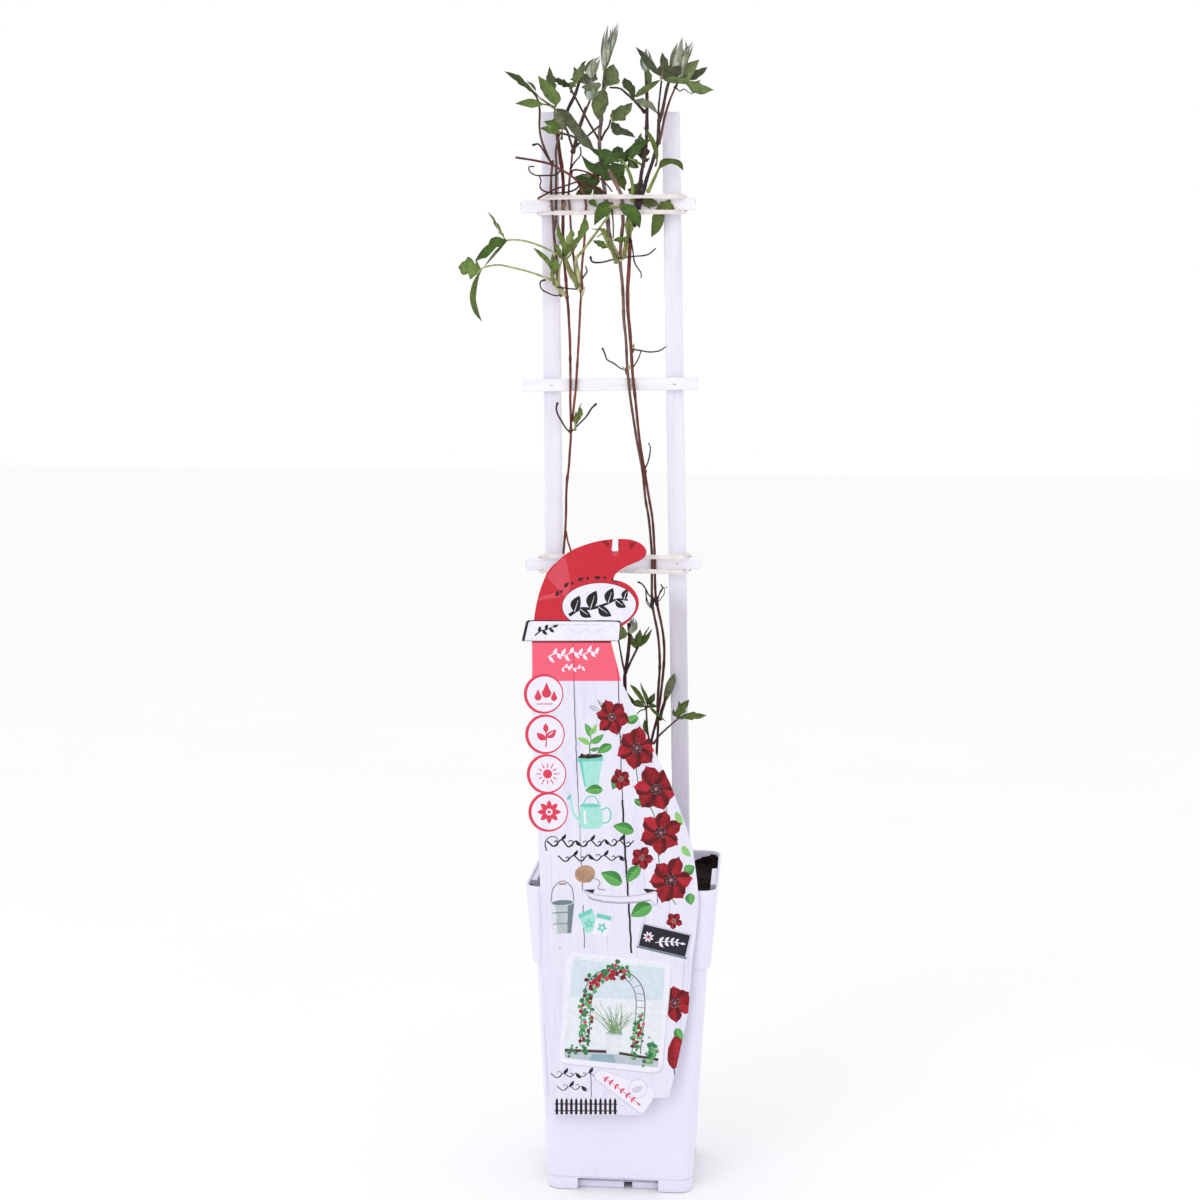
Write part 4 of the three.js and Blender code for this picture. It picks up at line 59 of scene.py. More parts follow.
LEAVES = {
    "shoot_lower": {"tubes":[[0.82,[[-3.0,-4.0,192.0],[-2.94,-4.0,221.64],[-2.79,-4.0,251.29],[-2.62,-4.0,280.93],[-2.47,-4.0,310.58],[-2.41,-4.0,340.22],[-2.61,-4.64,350.08],[-1.81,-5.0,355.72],[-0.16,-5.82,368.38],[0.45,-6.64,380.99],[-0.14,-7.0,386.56]]],[0.58,[[-2.48,-4.8,351.5],[-3.78,-7.1,358.04],[-4.74,-9.14,363.83],[-6.32,-12.72,373.93],[-6.96,-14.0,377.52]]],[0.58,[[-2.14,-4.8,352.2],[1.45,-2.58,360.36],[5.06,-0.55,367.85],[6.05,0.0,369.89]]],[0.55,[[6.23,0.2,371.27],[6.66,0.6,374.72]]],[0.33,[[6.37,0.4,370.55],[9.37,1.5,376.06],[13.37,3.0,383.64]]]],"leaves":[[[[-6.76,-13.6,375.41],[-7.0,-13.75,380.26],[-3.95,-14.0,386.21]],[[-6.76,-13.6,375.41],[-0.81,-13.78,379.68],[-3.95,-14.0,386.21]],0.4,0.8,"leaf_light"],[[[0.32,-6.6,379.59],[-0.1,-7.08,383.8],[0.78,-7.87,389.44],[3.76,-8.5,392.32]],[[0.32,-6.6,379.59],[4.96,-7.11,381.81],[5.63,-7.89,388.14],[3.76,-8.5,392.32]],0.6,1.6,"bud_silver"],[[[6.03,0.5,369.14],[3.51,1.03,374.61],[7.39,2.0,382.6]],[[6.03,0.5,369.14],[8.0,1.21,376.07],[7.39,2.0,382.6]],0.6,0.8,None],[[[5.7,0.4,367.75],[1.58,-0.87,371.31],[0.36,-2.0,375.25]],[[5.7,0.4,367.75],[3.64,-1.11,374.51],[0.36,-2.0,375.25]],0.5,0.8,None]],"hue":"leaf_light"},
    "leaf_upper_left": {"tubes":[[0.65,[[-48.61,-9.5,729.38],[-51.23,-10.66,732.54],[-54.5,-12.0,736.0]]],[0.65,[[-54.5,-12.0,736.0],[-57.78,-13.16,738.16],[-63.01,-15.0,741.54]]],[0.62,[[-54.5,-12.0,736.0],[-52.48,-12.0,736.66],[-52.5,-12.0,739.3]]],[0.55,[[-56.49,-12.5,737.26],[-62.31,-15.0,737.58]]]],"leaves":[[[[-61.08,-14.0,740.03],[-69.26,-19.91,748.42],[-76.03,-25.72,754.79],[-85.33,-32.0,756.8]],[[-61.08,-14.0,740.03],[-68.09,-18.13,744.73],[-76.82,-24.45,750.07],[-85.33,-32.0,756.8]],0.8,0.8,None],[[[-59.72,-14.0,737.39],[-66.81,-17.32,740.57],[-71.91,-19.91,740.02],[-78.82,-24.0,736.7]],[[-59.72,-14.0,737.39],[-67.43,-17.5,734.81],[-74.41,-21.34,735.75],[-78.82,-24.0,736.7]],0.8,0.8,None],[[[-52.48,-12.0,736.66],[-58.54,-12.52,741.22],[-62.91,-13.23,748.39],[-64.57,-14.0,756.52]],[[-52.48,-12.0,736.66],[-49.1,-12.32,741.23],[-55.17,-13.11,750.37],[-64.57,-14.0,756.52]],0.8,0.8,None],[[[-53.88,-12.0,743.27],[-59.54,-10.05,751.49],[-57.7,-7.0,763.84]],[[-53.88,-12.0,743.27],[-52.77,-10.16,752.12],[-57.7,-7.0,763.84]],0.5,0.8,None]],"hue":"leaf_mid"},
    "leaf_upper_arch": {"tubes":[[0.55,[[-43.82,3.2,748.06],[-43.44,2.5,750.95],[-45.1,2.0,752.22]]]],"leaves":[[[[-43.43,2.4,751.27],[-46.92,-0.63,754.83],[-51.99,-4.53,756.25],[-56.39,-8.0,755.09]],[[-43.43,2.4,751.27],[-48.26,-0.5,750.86],[-53.3,-4.87,753.22],[-56.39,-8.0,755.09]],0.5,0.8,"leaf_dark"]],"hue":"leaf_dark"},
    "leaf_top_left": {"tubes":[[0.69,[[-35.02,-5.4,761.38],[-36.96,-6.15,757.96],[-38.5,-6.75,755.23],[-38.83,-7.4,751.83]]]],"leaves":[[[[-38.2,-7.0,753.21],[-43.58,-7.47,755.14],[-40.18,-8.16,760.97],[-34.07,-9.0,765.44]],[[-38.2,-7.0,753.21],[-35.48,-7.35,755.14],[-32.07,-8.26,760.93],[-34.07,-9.0,765.44]],0.8,0.8,None],[[[-38.61,-7.0,754.2],[-43.49,-8.3,753.03],[-43.97,-10.0,747.5]],[[-38.61,-7.0,754.2],[-40.07,-8.38,749.71],[-43.97,-10.0,747.5]],0.4,0.8,None]],"hue":"leaf_mid"},
    "bud_upper_left": {"tubes":[[0.69,[[-28.85,-4.6,744.6],[-28.19,-4.76,747.56],[-28.88,-5.0,752.16]]]],"leaves":[[[[-29.59,-5.0,755.47],[-33.99,-5.45,760.04],[-31.63,-6.09,766.88],[-22.81,-7.0,770.67]],[[-29.59,-5.0,755.47],[-27.56,-5.25,757.41],[-24.51,-6.16,764.54],[-22.81,-7.0,770.67]],1.2,1.4,"bud_silver"],[[[-30.23,-5.0,750.84],[-38.1,-4.35,754.59],[-35.79,-3.95,758.29],[-26.06,-3.0,759.4]],[[-30.23,-5.0,750.84],[-28.57,-4.66,752.21],[-25.96,-3.81,755.64],[-26.06,-3.0,759.4]],0.8,0.8,"leaf_mid"],[[[-30.8,-5.2,740.87],[-33.86,-5.57,746.13],[-32.52,-5.98,751.36],[-28.8,-6.5,756.57]],[[-30.8,-5.2,740.87],[-25.05,-5.59,744.78],[-26.42,-6.07,751.34],[-28.8,-6.5,756.57]],1.2,1.6,"bud_silver"],[[[-26.09,-5.5,746.78],[-22.31,-6.94,751.86],[-31.22,-9.43,751.98],[-35.79,-11.0,749.32]],[[-26.09,-5.5,746.78],[-28.71,-6.62,746.96],[-32.59,-8.77,747.65],[-35.79,-11.0,749.32]],0.6,0.8,"leaf_mid"]],"hue":"bud_silver"},
    "leaf_folded_long": {"tubes":[[0.62,[[-52.55,-14.5,733.35],[-51.54,-14.31,731.06],[-48.17,-14.0,728.46]]]],"leaves":[[[[-52.27,-14.0,735.07],[-44.89,-13.4,733.49],[-36.16,-12.01,723.09],[-29.44,-10.8,714.63],[-26.74,-10.0,708.42]],[[-52.27,-14.0,735.07],[-50.25,-13.64,730.82],[-42.19,-12.3,720.07],[-33.45,-10.8,709.98],[-26.74,-10.0,708.42]],1.6,0.8,"leaf_grey"],[[[-45.56,-16.0,719.62],[-45.98,-15.65,726.92],[-49.43,-15.28,732.25],[-53.52,-15.0,734.27]],[[-45.56,-16.0,719.62],[-51.36,-15.64,724.29],[-53.79,-15.3,729.61],[-53.52,-15.0,734.27]],0.6,0.8,"leaf_light"]],"hue":"leaf_grey"},
    "leaf_left_low": {"tubes":[[0.55,[[-49.02,-7.6,715.35],[-48.65,-8.27,718.92],[-48.61,-9.0,722.81]]]],"leaves":[[[[-47.93,-9.0,722.81],[-49.04,-11.94,727.74],[-54.1,-15.42,727.29],[-60.03,-20.0,725.38]],[[-47.93,-9.0,722.81],[-51.08,-11.27,720.54],[-56.69,-16.19,722.9],[-60.03,-20.0,725.38]],0.8,0.8,None],[[[-48.58,-9.0,719.49],[-52.43,-11.46,721.84],[-58.76,-15.83,722.95],[-62.8,-19.0,721.03]],[[-48.58,-9.0,719.49],[-55.62,-13.13,717.99],[-59.38,-16.12,719.61],[-62.8,-19.0,721.03]],0.8,0.8,None]],"hue":"leaf_mid"},
    "bud_top_centre": {"tubes":[[1.03,[[-21.0,5.8,763.38],[-21.23,5.71,766.36],[-21.07,5.5,772.98]]],[0.48,[[-20.84,5.4,763.45],[-18.58,4.53,768.83],[-15.98,3.39,775.95],[-15.5,2.8,779.83]]]],"leaves":[[[[-21.64,5.4,761.66],[-23.78,5.71,769.7],[-23.77,6.18,779.75],[-22.65,6.59,787.78],[-19.14,7.0,794.81]],[[-21.64,5.4,761.66],[-18.66,5.67,768.35],[-17.1,6.17,779.06],[-16.89,6.68,789.11],[-19.14,7.0,794.81]],1.6,1.8,"bud_silver"],[[[-15.82,3.2,774.59],[-17.01,2.96,779.86],[-15.36,2.48,788.39],[-11.88,2.0,795.56]],[[-15.82,3.2,774.59],[-13.62,2.87,781.16],[-12.18,2.45,788.37],[-11.88,2.0,795.56]],0.6,1.0,"bud_silver"],[[[-18.94,5.2,765.61],[-20.13,6.37,775.11],[-18.66,8.02,786.02],[-15.44,9.5,794.57]],[[-18.94,5.2,765.61],[-16.08,6.63,776.47],[-14.92,8.1,786.02],[-15.44,9.5,794.57]],0.8,1.2,"bud_silver"]],"hue":"bud_silver"},
    "leaf_centre_hanging": {"tubes":[[0.72,[[-20.14,4.4,754.85],[-20.18,3.5,751.72],[-21.5,2.5,748.58],[-22.88,1.4,745.1]]]],"leaves":[[[[-21.27,2.0,750.17],[-27.86,-0.08,745.57],[-28.76,-3.11,735.85],[-24.53,-6.0,728.15]],[[-21.27,2.0,750.17],[-18.19,0.43,744.96],[-19.42,-2.79,735.21],[-24.53,-6.0,728.15]],0.8,0.8,None],[[[-20.11,3.5,751.72],[-20.27,1.23,758.37],[-19.15,-0.88,763.35],[-14.62,-3.0,765.66]],[[-20.11,3.5,751.72],[-11.41,1.3,753.71],[-11.01,-0.53,759.41],[-14.62,-3.0,765.66]],0.8,0.8,"leaf_dark"]],"hue":"leaf_mid"},
    "leaf_centre_pair": {"tubes":[[0.62,[[-16.6,8.4,732.03],[-16.1,7.94,733.97],[-11.96,7.0,735.18]]],[0.62,[[-16.45,8.2,732.33],[-15.36,7.74,729.26],[-13.22,7.0,724.48]]]],"leaves":[[[[-16.76,8.0,730.97],[-15.67,6.32,735.76],[-12.51,4.81,737.89],[-6.93,2.36,739.55],[-1.7,0.0,740.55]],[[-16.76,8.0,730.97],[-11.86,6.52,728.56],[-6.99,4.71,730.53],[-2.8,2.06,735.84],[-1.7,0.0,740.55]],0.8,0.8,None],[[[-16.74,8.0,728.62],[-11.78,5.67,726.98],[-6.76,2.29,723.21],[-2.48,-0.47,721.2],[0.83,-4.0,716.44]],[[-16.74,8.0,728.62],[-16.13,5.16,721.57],[-12.21,3.06,719.44],[-4.46,-0.98,718.27],[0.83,-4.0,716.44]],0.8,0.8,None]],"hue":"leaf_mid"},
    "leaf_right_of_centre": {"tubes":[[0.62,[[6.22,6.0,735.03],[3.8,5.07,737.57],[-1.58,3.0,743.29]]],[0.52,[[-1.58,3.0,743.29],[-5.74,3.88,746.75],[-10.6,4.87,750.57],[-17.5,6.0,751.41]]]],"leaves":[[[[-1.24,3.0,743.29],[-4.91,1.27,747.71],[-9.2,-1.09,752.36],[-7.43,-3.0,756.71]],[[-1.24,3.0,743.29],[0.49,1.66,747.76],[-1.8,-0.59,753.74],[-7.43,-3.0,756.71]],0.8,0.8,"leaf_dark"],[[[-1.58,3.0,743.96],[3.29,-0.16,749.81],[10.22,-3.98,753.22],[17.81,-8.0,754.59]],[[-1.58,3.0,743.96],[4.65,0.54,745.27],[12.27,-3.82,749.6],[17.81,-8.0,754.59]],0.8,0.8,None],[[[-0.89,3.0,742.96],[6.69,0.75,743.3],[12.27,-1.59,739.65],[16.25,-5.0,731.56]],[[-0.89,3.0,742.96],[4.03,0.81,738.33],[11.0,-2.17,735.59],[16.25,-5.0,731.56]],0.8,0.8,None]],"hue":"leaf_mid"},
    "bud_right_upper": {"tubes":[[0.89,[[6.96,3.9,764.35],[6.94,3.5,767.93]]]],"leaves":[[[[7.03,3.4,760.62],[3.57,3.79,765.34],[3.34,4.3,771.39],[7.08,5.0,778.12]],[[7.03,3.4,760.62],[10.69,3.77,764.65],[10.58,4.32,771.37],[7.08,5.0,778.12]],1.4,1.6,"bud_silver"],[[[7.66,3.4,765.26],[7.01,1.68,758.37],[10.1,-1.0,750.01]],[[7.66,3.4,765.26],[11.24,1.33,757.64],[10.1,-1.0,750.01]],0.3,0.8,"leaf_mid"]],"hue":"bud_silver"},
    "leaf_right_top": {"tubes":[[0.62,[[18.21,-8.2,755.22],[18.46,-8.36,757.5],[19.11,-8.6,760.75]]]],"leaves":[[[[18.83,-8.5,755.5],[9.79,-10.32,761.17],[4.45,-12.21,768.44],[0.8,-14.0,775.37]],[[18.83,-8.5,755.5],[16.13,-9.48,760.95],[7.11,-12.27,771.05],[0.8,-14.0,775.37]],0.8,0.8,None],[[[18.49,-8.3,754.87],[16.21,-7.04,760.99],[16.85,-5.43,767.83],[18.07,-4.0,773.32]],[[18.49,-8.3,754.87],[22.75,-7.19,759.64],[21.56,-5.46,767.81],[18.07,-4.0,773.32]],0.8,0.8,None],[[[18.84,-8.6,754.83],[19.8,-8.69,759.42],[24.46,-8.83,763.0],[31.16,-9.0,763.61]],[[18.84,-8.6,754.83],[25.24,-8.71,753.48],[30.56,-8.85,757.39],[31.16,-9.0,763.61]],0.8,0.8,"leaf_dark"],[[[19.19,-8.8,754.14],[26.63,-10.72,756.46],[34.78,-13.2,754.11],[44.95,-16.63,750.63],[53.75,-20.0,745.88]],[[19.19,-8.8,754.14],[25.33,-10.28,751.6],[33.46,-12.56,750.92],[42.36,-16.06,743.52],[53.75,-20.0,745.88]],0.9,0.8,None]],"hue":"leaf_mid"},
    "bud_right_top": {"tubes":[[0.65,[[26.88,1.2,750.3],[29.53,0.84,755.54],[30.83,0.5,760.78]]],[0.38,[[27.22,1.2,750.63],[30.33,0.04,748.13],[33.05,-0.88,749.32],[35.81,-1.9,747.19],[39.24,-3.0,745.7]]],[0.65,[[16.25,3.4,713.66],[17.7,3.07,719.3],[19.97,2.41,730.54],[23.25,1.74,741.75],[26.88,1.2,750.3]]]],"leaves":[[[[28.21,0.6,754.18],[23.3,1.38,766.23],[24.19,1.96,774.26],[27.47,2.49,780.29],[31.43,3.0,785.32]],[[28.21,0.6,754.18],[33.48,1.16,762.2],[35.36,1.83,771.56],[35.92,2.39,778.92],[31.43,3.0,785.32]],1.8,2.0,"bud_silver"],[[[31.51,0.2,760.74],[30.78,-0.69,768.53],[34.08,-1.87,776.25],[39.29,-3.0,781.64]],[[31.51,0.2,760.74],[35.5,-0.87,768.49],[38.47,-2.01,775.55],[39.29,-3.0,781.64]],0.8,1.2,"bud_silver"],[[[29.54,0.6,755.5],[30.72,2.48,763.07],[35.33,4.36,767.32],[42.98,7.0,770.04]],[[29.54,0.6,755.5],[36.23,2.21,755.73],[40.13,4.35,762.01],[42.98,7.0,770.04]],0.8,0.8,None],[[[30.88,0.8,755.86],[37.45,4.11,760.98],[43.39,7.33,764.11],[48.38,10.0,765.51]],[[30.88,0.8,755.86],[39.54,4.05,755.99],[46.13,7.75,761.18],[48.38,10.0,765.51]],0.8,0.8,None]],"hue":"bud_silver"},
    "leaf_big_left": {"tubes":[[0.76,[[-0.95,2.3,675.7],[-1.25,3.32,685.19],[-3.15,4.15,692.65],[-5.64,4.79,698.09],[-8.8,5.4,702.84]]],[0.69,[[-8.8,5.4,702.84],[-14.23,5.0,703.47]]]],"leaves":[[[[-6.74,5.2,702.82],[-15.5,2.76,709.37],[-23.51,0.63,709.33],[-32.5,-2.0,711.02]],[[-6.74,5.2,702.82],[-19.48,2.52,699.5],[-26.17,0.18,705.93],[-32.5,-2.0,711.02]],0.9,0.8,"leaf_big"],[[[-7.42,5.3,702.16],[-16.09,6.64,706.33],[-15.29,7.34,710.44],[-12.14,8.0,712.53]],[[-7.42,5.3,702.16],[-5.45,5.94,705.59],[-7.6,6.91,710.06],[-12.14,8.0,712.53]],0.7,0.8,"leaf_big"],[[[-6.04,5.4,700.16],[-18.18,3.29,700.59],[-30.26,0.72,701.44],[-36.29,-1.0,705.79]],[[-6.04,5.4,700.16],[-9.27,4.23,690.31],[-22.11,2.45,690.44],[-31.92,0.7,696.28],[-36.29,-1.0,705.79]],1.2,0.8,"leaf_big"],[[[-8.78,5.6,699.51],[-14.27,6.84,693.59],[-11.56,8.18,687.01],[-6.81,9.5,682.43]],[[-8.78,5.6,699.51],[-6.74,6.79,693.6],[-6.09,8.33,687.03],[-6.81,9.5,682.43]],0.6,0.8,"leaf_mid"]],"hue":"leaf_big"},
    "leaf_big_right": {"tubes":[[0.55,[[6.09,8.2,698.8],[1.35,7.09,701.7],[-4.07,5.9,704.24]]]],"leaves":[[[[-5.42,5.9,702.9],[-3.37,4.35,711.77],[3.49,2.76,715.59],[11.73,1.0,716.38]],[[-5.42,5.9,702.9],[1.45,4.5,706.1],[6.25,2.81,711.59],[11.73,1.0,716.38]],0.9,0.8,"leaf_big"],[[[-0.64,4.2,712.09],[0.45,2.45,715.89],[4.88,-1.0,720.46]],[[-0.64,4.2,712.09],[4.24,1.59,715.78],[4.88,-1.0,720.46]],0.4,0.8,None],[[[-4.08,6.1,704.27],[-0.72,6.82,705.02],[2.64,9.0,697.87]],[[-4.08,6.1,704.27],[-4.77,7.26,698.35],[2.64,9.0,697.87]],0.5,0.8,None]],"hue":"leaf_big"},
    "leaf_right_dark": {"tubes":[[0.55,[[6.17,9.0,700.57],[5.29,9.46,703.3],[5.22,10.0,706.72]]]],"leaves":[[[[4.95,9.6,702.65],[1.41,10.42,708.79],[2.68,11.22,714.26],[4.63,12.0,719.05]],[[4.95,9.6,702.65],[9.16,10.3,707.43],[7.47,11.13,713.57],[4.63,12.0,719.05]],0.8,0.8,"leaf_dark"],[[[5.3,9.5,701.96],[7.37,8.77,704.24],[10.14,8.0,704.49]],[[5.3,9.5,701.96],[8.07,8.91,701.9],[10.14,8.0,704.49]],0.3,0.8,None]],"hue":"leaf_dark"},
    "leaf_right_narrow": {"tubes":[[0.52,[[14.43,-1.2,698.12],[15.43,-1.88,702.05],[14.4,-3.0,708.58]]]],"leaves":[[[[15.46,-2.0,700.03],[13.42,-3.45,707.2],[9.39,-6.08,717.18],[6.05,-8.0,723.57]],[[15.46,-2.0,700.03],[16.46,-3.31,707.21],[12.41,-5.83,717.54],[6.05,-8.0,723.57]],0.5,0.8,None]],"hue":"leaf_mid"},
    "leaf_right_folded": {"tubes":[[0.55,[[9.46,0.2,681.22],[10.82,-0.35,683.84],[13.86,-1.65,690.06],[16.9,-3.0,696.6]]]],"leaves":[[[[16.24,-3.0,695.26],[18.29,-4.87,701.72],[25.81,-7.31,702.44],[32.34,-9.71,699.86],[33.85,-12.0,693.66]],[[16.24,-3.0,695.26],[19.67,-4.42,697.11],[25.17,-7.02,698.96],[29.66,-9.28,697.26],[33.85,-12.0,693.66]],1.6,0.8,None]],"hue":"leaf_mid"},
    "leaf_mid_right": {"tubes":[],"leaves":[[[[-1.74,5.6,679.7],[-4.54,6.07,682.77],[0.15,6.97,686.9],[5.86,8.0,690.04]],[[-1.74,5.6,679.7],[4.01,6.37,680.46],[5.27,7.23,685.59],[5.86,8.0,690.04]],0.7,0.8,"leaf_grey"],[[[-0.01,5.6,677.15],[-1.07,5.72,680.05],[3.66,6.0,682.78]],[[-0.01,5.6,677.15],[4.06,5.79,678.72],[3.66,6.0,682.78]],0.3,0.8,"leaf_grey"]],"hue":"leaf_grey"},
    "leaf_mid_pair": {"tubes":[[0.86,[[-39.26,0.4,636.38],[-33.77,-0.35,642.43],[-27.61,-1.28,650.46],[-22.15,-2.12,657.81],[-17.72,-2.81,663.8],[-16.03,-3.21,667.79],[-14.68,-3.6,671.78]]],[0.58,[[-14.71,-3.4,673.13],[-14.49,-2.83,667.16],[-13.78,-1.95,657.84],[-13.82,-1.2,649.84]]],[0.89,[[-16.04,-3.4,670.45],[-11.96,-3.4,670.46],[-7.89,-3.4,670.81]]]],"leaves":[[[[-14.05,-3.2,673.82],[-22.75,-4.94,673.11],[-25.96,-6.64,666.8],[-26.37,-9.0,657.57]],[[-14.05,-3.2,673.82],[-15.58,-4.72,667.33],[-21.47,-7.02,661.76],[-26.37,-9.0,657.57]],1.0,0.8,"leaf_bright"],[[[-9.96,-3.2,672.83],[-0.35,-4.64,671.72],[5.25,-6.22,664.91],[4.77,-8.0,655.87]],[[-9.96,-3.2,672.83],[-8.15,-4.12,667.73],[-2.2,-5.92,661.57],[4.77,-8.0,655.87]],1.0,0.8,"leaf_bright"]],"hue":"leaf_mid"},
    "leaf_mid_left": {"tubes":[[0.55,[[-25.85,7.0,686.87],[-29.26,7.0,685.18],[-33.36,7.0,682.81]]],[0.52,[[-27.53,6.8,684.15],[-27.99,4.55,679.22],[-28.45,2.3,674.3]]]],"leaves":[[[[-23.49,7.2,688.91],[-28.02,7.64,693.33],[-36.31,8.34,693.73],[-42.87,9.0,691.09]],[[-23.49,7.2,688.91],[-27.25,7.56,684.56],[-34.84,8.14,684.61],[-42.87,9.0,691.09]],0.7,0.8,None],[[[-29.26,6.8,686.17],[-33.38,6.67,688.17],[-38.12,6.44,684.1],[-40.8,6.2,678.68]],[[-29.26,6.8,686.17],[-28.52,6.67,681.44],[-34.64,6.43,678.38],[-40.8,6.2,678.68]],0.5,0.8,"leaf_dark"],[[[-27.88,6.8,685.84],[-23.74,6.53,684.47],[-19.2,6.0,679.37]],[[-27.88,6.8,685.84],[-27.11,6.48,679.41],[-19.2,6.0,679.37]],0.4,0.8,"leaf_dark"],[[[-31.4,2.4,675.31],[-26.75,2.23,675.78],[-25.32,2.0,671.05]],[[-31.4,2.4,675.31],[-30.14,2.27,672.61],[-25.32,2.0,671.05]],0.1,0.7,"leaf_mid"]],"hue":"leaf_mid"},
    "leaf_under_right": {"tubes":[[0.52,[[5.69,2.1,673.68],[10.8,2.1,673.69],[16.26,2.1,672.36],[21.71,2.1,671.7]]]],"leaves":[[[[5.36,2.1,673.01],[6.68,2.1,676.7],[12.81,2.1,676.71],[16.59,2.1,673.37]],[[5.36,2.1,673.01],[8.79,2.1,670.67],[12.87,2.1,671.01],[16.59,2.1,673.37]],0.1,0.7,"leaf_mid"],[[[15.59,2.1,671.35],[18.96,2.03,674.71],[24.4,1.94,675.05],[27.88,1.8,669.01]],[[15.59,2.1,671.35],[19.7,2.01,669.34],[23.79,1.91,668.81],[27.88,1.8,669.01]],0.1,0.7,"leaf_mid"],[[[16.94,2.2,672.37],[13.23,2.74,667.04],[11.91,3.5,659.71],[11.62,4.5,650.69]],[[16.94,2.2,672.37],[20.73,2.76,665.72],[17.74,3.72,655.7],[11.62,4.5,650.69]],0.1,0.8,None]],"hue":"leaf_mid"},
    "leaf_hanging_far_left": {"tubes":[[0.62,[[-49.47,1.0,636.65],[-53.33,-3.16,639.46],[-59.58,-9.19,642.38],[-65.79,-15.0,644.62],[-71.96,-20.63,646.18],[-78.1,-26.06,646.56],[-84.8,-32.0,645.63]]],[0.34,[[-83.57,-31.0,645.84],[-86.65,-33.51,649.8],[-89.59,-37.0,656.1]]]],"leaves":[[[[-84.19,-31.5,646.66],[-88.64,-33.78,651.75],[-92.25,-37.34,659.35],[-95.07,-40.0,664.37]],[[-84.19,-31.5,646.66],[-86.01,-33.27,651.8],[-90.92,-37.24,660.02],[-95.07,-40.0,664.37]],0.3,0.8,None],[[[-82.17,-31.5,645.68],[-89.2,-34.51,647.74],[-96.0,-38.87,642.12],[-100.14,-42.83,635.91],[-102.7,-46.0,630.76]],[[-82.17,-31.5,645.68],[-87.16,-34.46,641.48],[-92.06,-38.07,637.25],[-96.91,-41.85,633.36],[-102.7,-46.0,630.76]],0.9,0.8,None],[[[-82.17,-31.5,646.01],[-89.86,-29.02,640.2],[-95.59,-26.3,633.72],[-99.59,-24.0,628.19]],[[-82.17,-31.5,646.01],[-87.8,-29.28,639.53],[-94.93,-26.11,632.41],[-99.59,-24.0,628.19]],0.4,1.0,"leaf_dark"]],"hue":"leaf_light"},
    "leaf_hanging_left": {"tubes":[[0.62,[[-56.1,1.8,621.51],[-64.37,4.99,624.7],[-73.03,8.25,627.58],[-84.63,12.51,630.51],[-93.37,15.68,632.38],[-100.68,18.27,631.96],[-106.55,20.45,630.22],[-109.55,22.0,627.2]]]],"leaves":[[[[-106.62,21.0,629.56],[-110.38,22.8,633.79],[-114.9,25.0,637.36],[-120.88,27.55,635.77],[-124.54,30.0,631.76]],[[-106.62,21.0,629.56],[-109.63,22.65,625.52],[-117.04,25.51,624.61],[-122.36,28.17,628.2],[-124.54,30.0,631.76]],1.0,0.8,None],[[[-107.39,21.5,629.93],[-113.12,22.66,621.02],[-115.52,23.98,611.41],[-113.45,25.51,601.11],[-107.28,27.0,593.57]],[[-107.39,21.5,629.93],[-109.61,22.6,621.03],[-111.18,24.12,610.75],[-109.6,25.68,601.14],[-107.28,27.0,593.57]],1.2,0.8,"leaf_mid"]],"hue":"leaf_mid"},
    "leaf_left_small": {"tubes":[[0.62,[[-54.53,0.0,618.71],[-54.79,-1.13,623.38],[-56.1,-2.0,626.7]]]],"leaves":[[[[-54.43,-1.4,624.04],[-58.72,-3.53,631.66],[-64.33,-5.96,637.54],[-67.9,-8.0,642.77]],[[-54.43,-1.4,624.04],[-55.98,-3.7,634.02],[-62.6,-6.29,640.55],[-67.9,-8.0,642.77]],0.6,0.8,None],[[[-54.1,-1.2,624.05],[-57.08,-2.77,630.7],[-55.2,-5.0,638.99]],[[-54.1,-1.2,624.05],[-49.88,-2.93,632.07],[-55.2,-5.0,638.99]],0.6,0.8,None]],"hue":"leaf_mid"},
    "leaf_inner_left": {"tubes":[[1.24,[[-38.02,-0.3,617.42],[-41.13,-0.65,624.82],[-44.24,-0.95,630.87],[-46.31,-1.2,636.25]]],[0.62,[[-45.96,-1.2,635.57],[-42.52,-1.65,638.93],[-41.15,-2.0,642.28]]],[0.55,[[-45.96,-1.2,634.9],[-50.03,-1.81,637.54],[-52.73,-2.5,642.2]]],[0.55,[[-41.14,-2.0,641.61],[-38.43,-2.0,644.99]]]],"leaves":[[[[-45.96,-1.3,636.24],[-50.05,-2.11,644.26],[-52.89,-3.11,652.93],[-51.35,-4.0,660.26]],[[-45.96,-1.3,636.24],[-43.9,-2.09,644.96],[-48.31,-3.07,652.95],[-51.35,-4.0,660.26]],0.8,0.8,None],[[[-47.3,-1.5,634.87],[-52.29,-3.3,639.45],[-54.48,-6.0,647.33]],[[-47.3,-1.5,634.87],[-49.2,-3.71,642.8],[-54.48,-6.0,647.33]],0.5,0.8,None],[[[-45.95,-1.4,636.91],[-45.61,-1.92,643.62],[-41.84,-2.48,648.3],[-37.37,-3.0,650.97]],[[-45.95,-1.4,636.91],[-41.15,-1.89,640.94],[-37.37,-2.51,646.3],[-37.37,-3.0,650.97]],0.6,0.8,None],[[[-44.94,-1.6,641.62],[-47.04,-1.68,649.02],[-42.3,-1.8,656.43]],[[-44.94,-1.6,641.62],[-39.19,-1.72,651.06],[-42.3,-1.8,656.43]],0.6,0.8,"leaf_light"],[[[-38.44,-1.9,644.99],[-38.45,-2.73,654.35],[-33.31,-4.0,664.66]],[[-38.44,-1.9,644.99],[-29.22,-3.14,657.03],[-33.31,-4.0,664.66]],0.7,0.8,None]],"hue":"leaf_mid"},
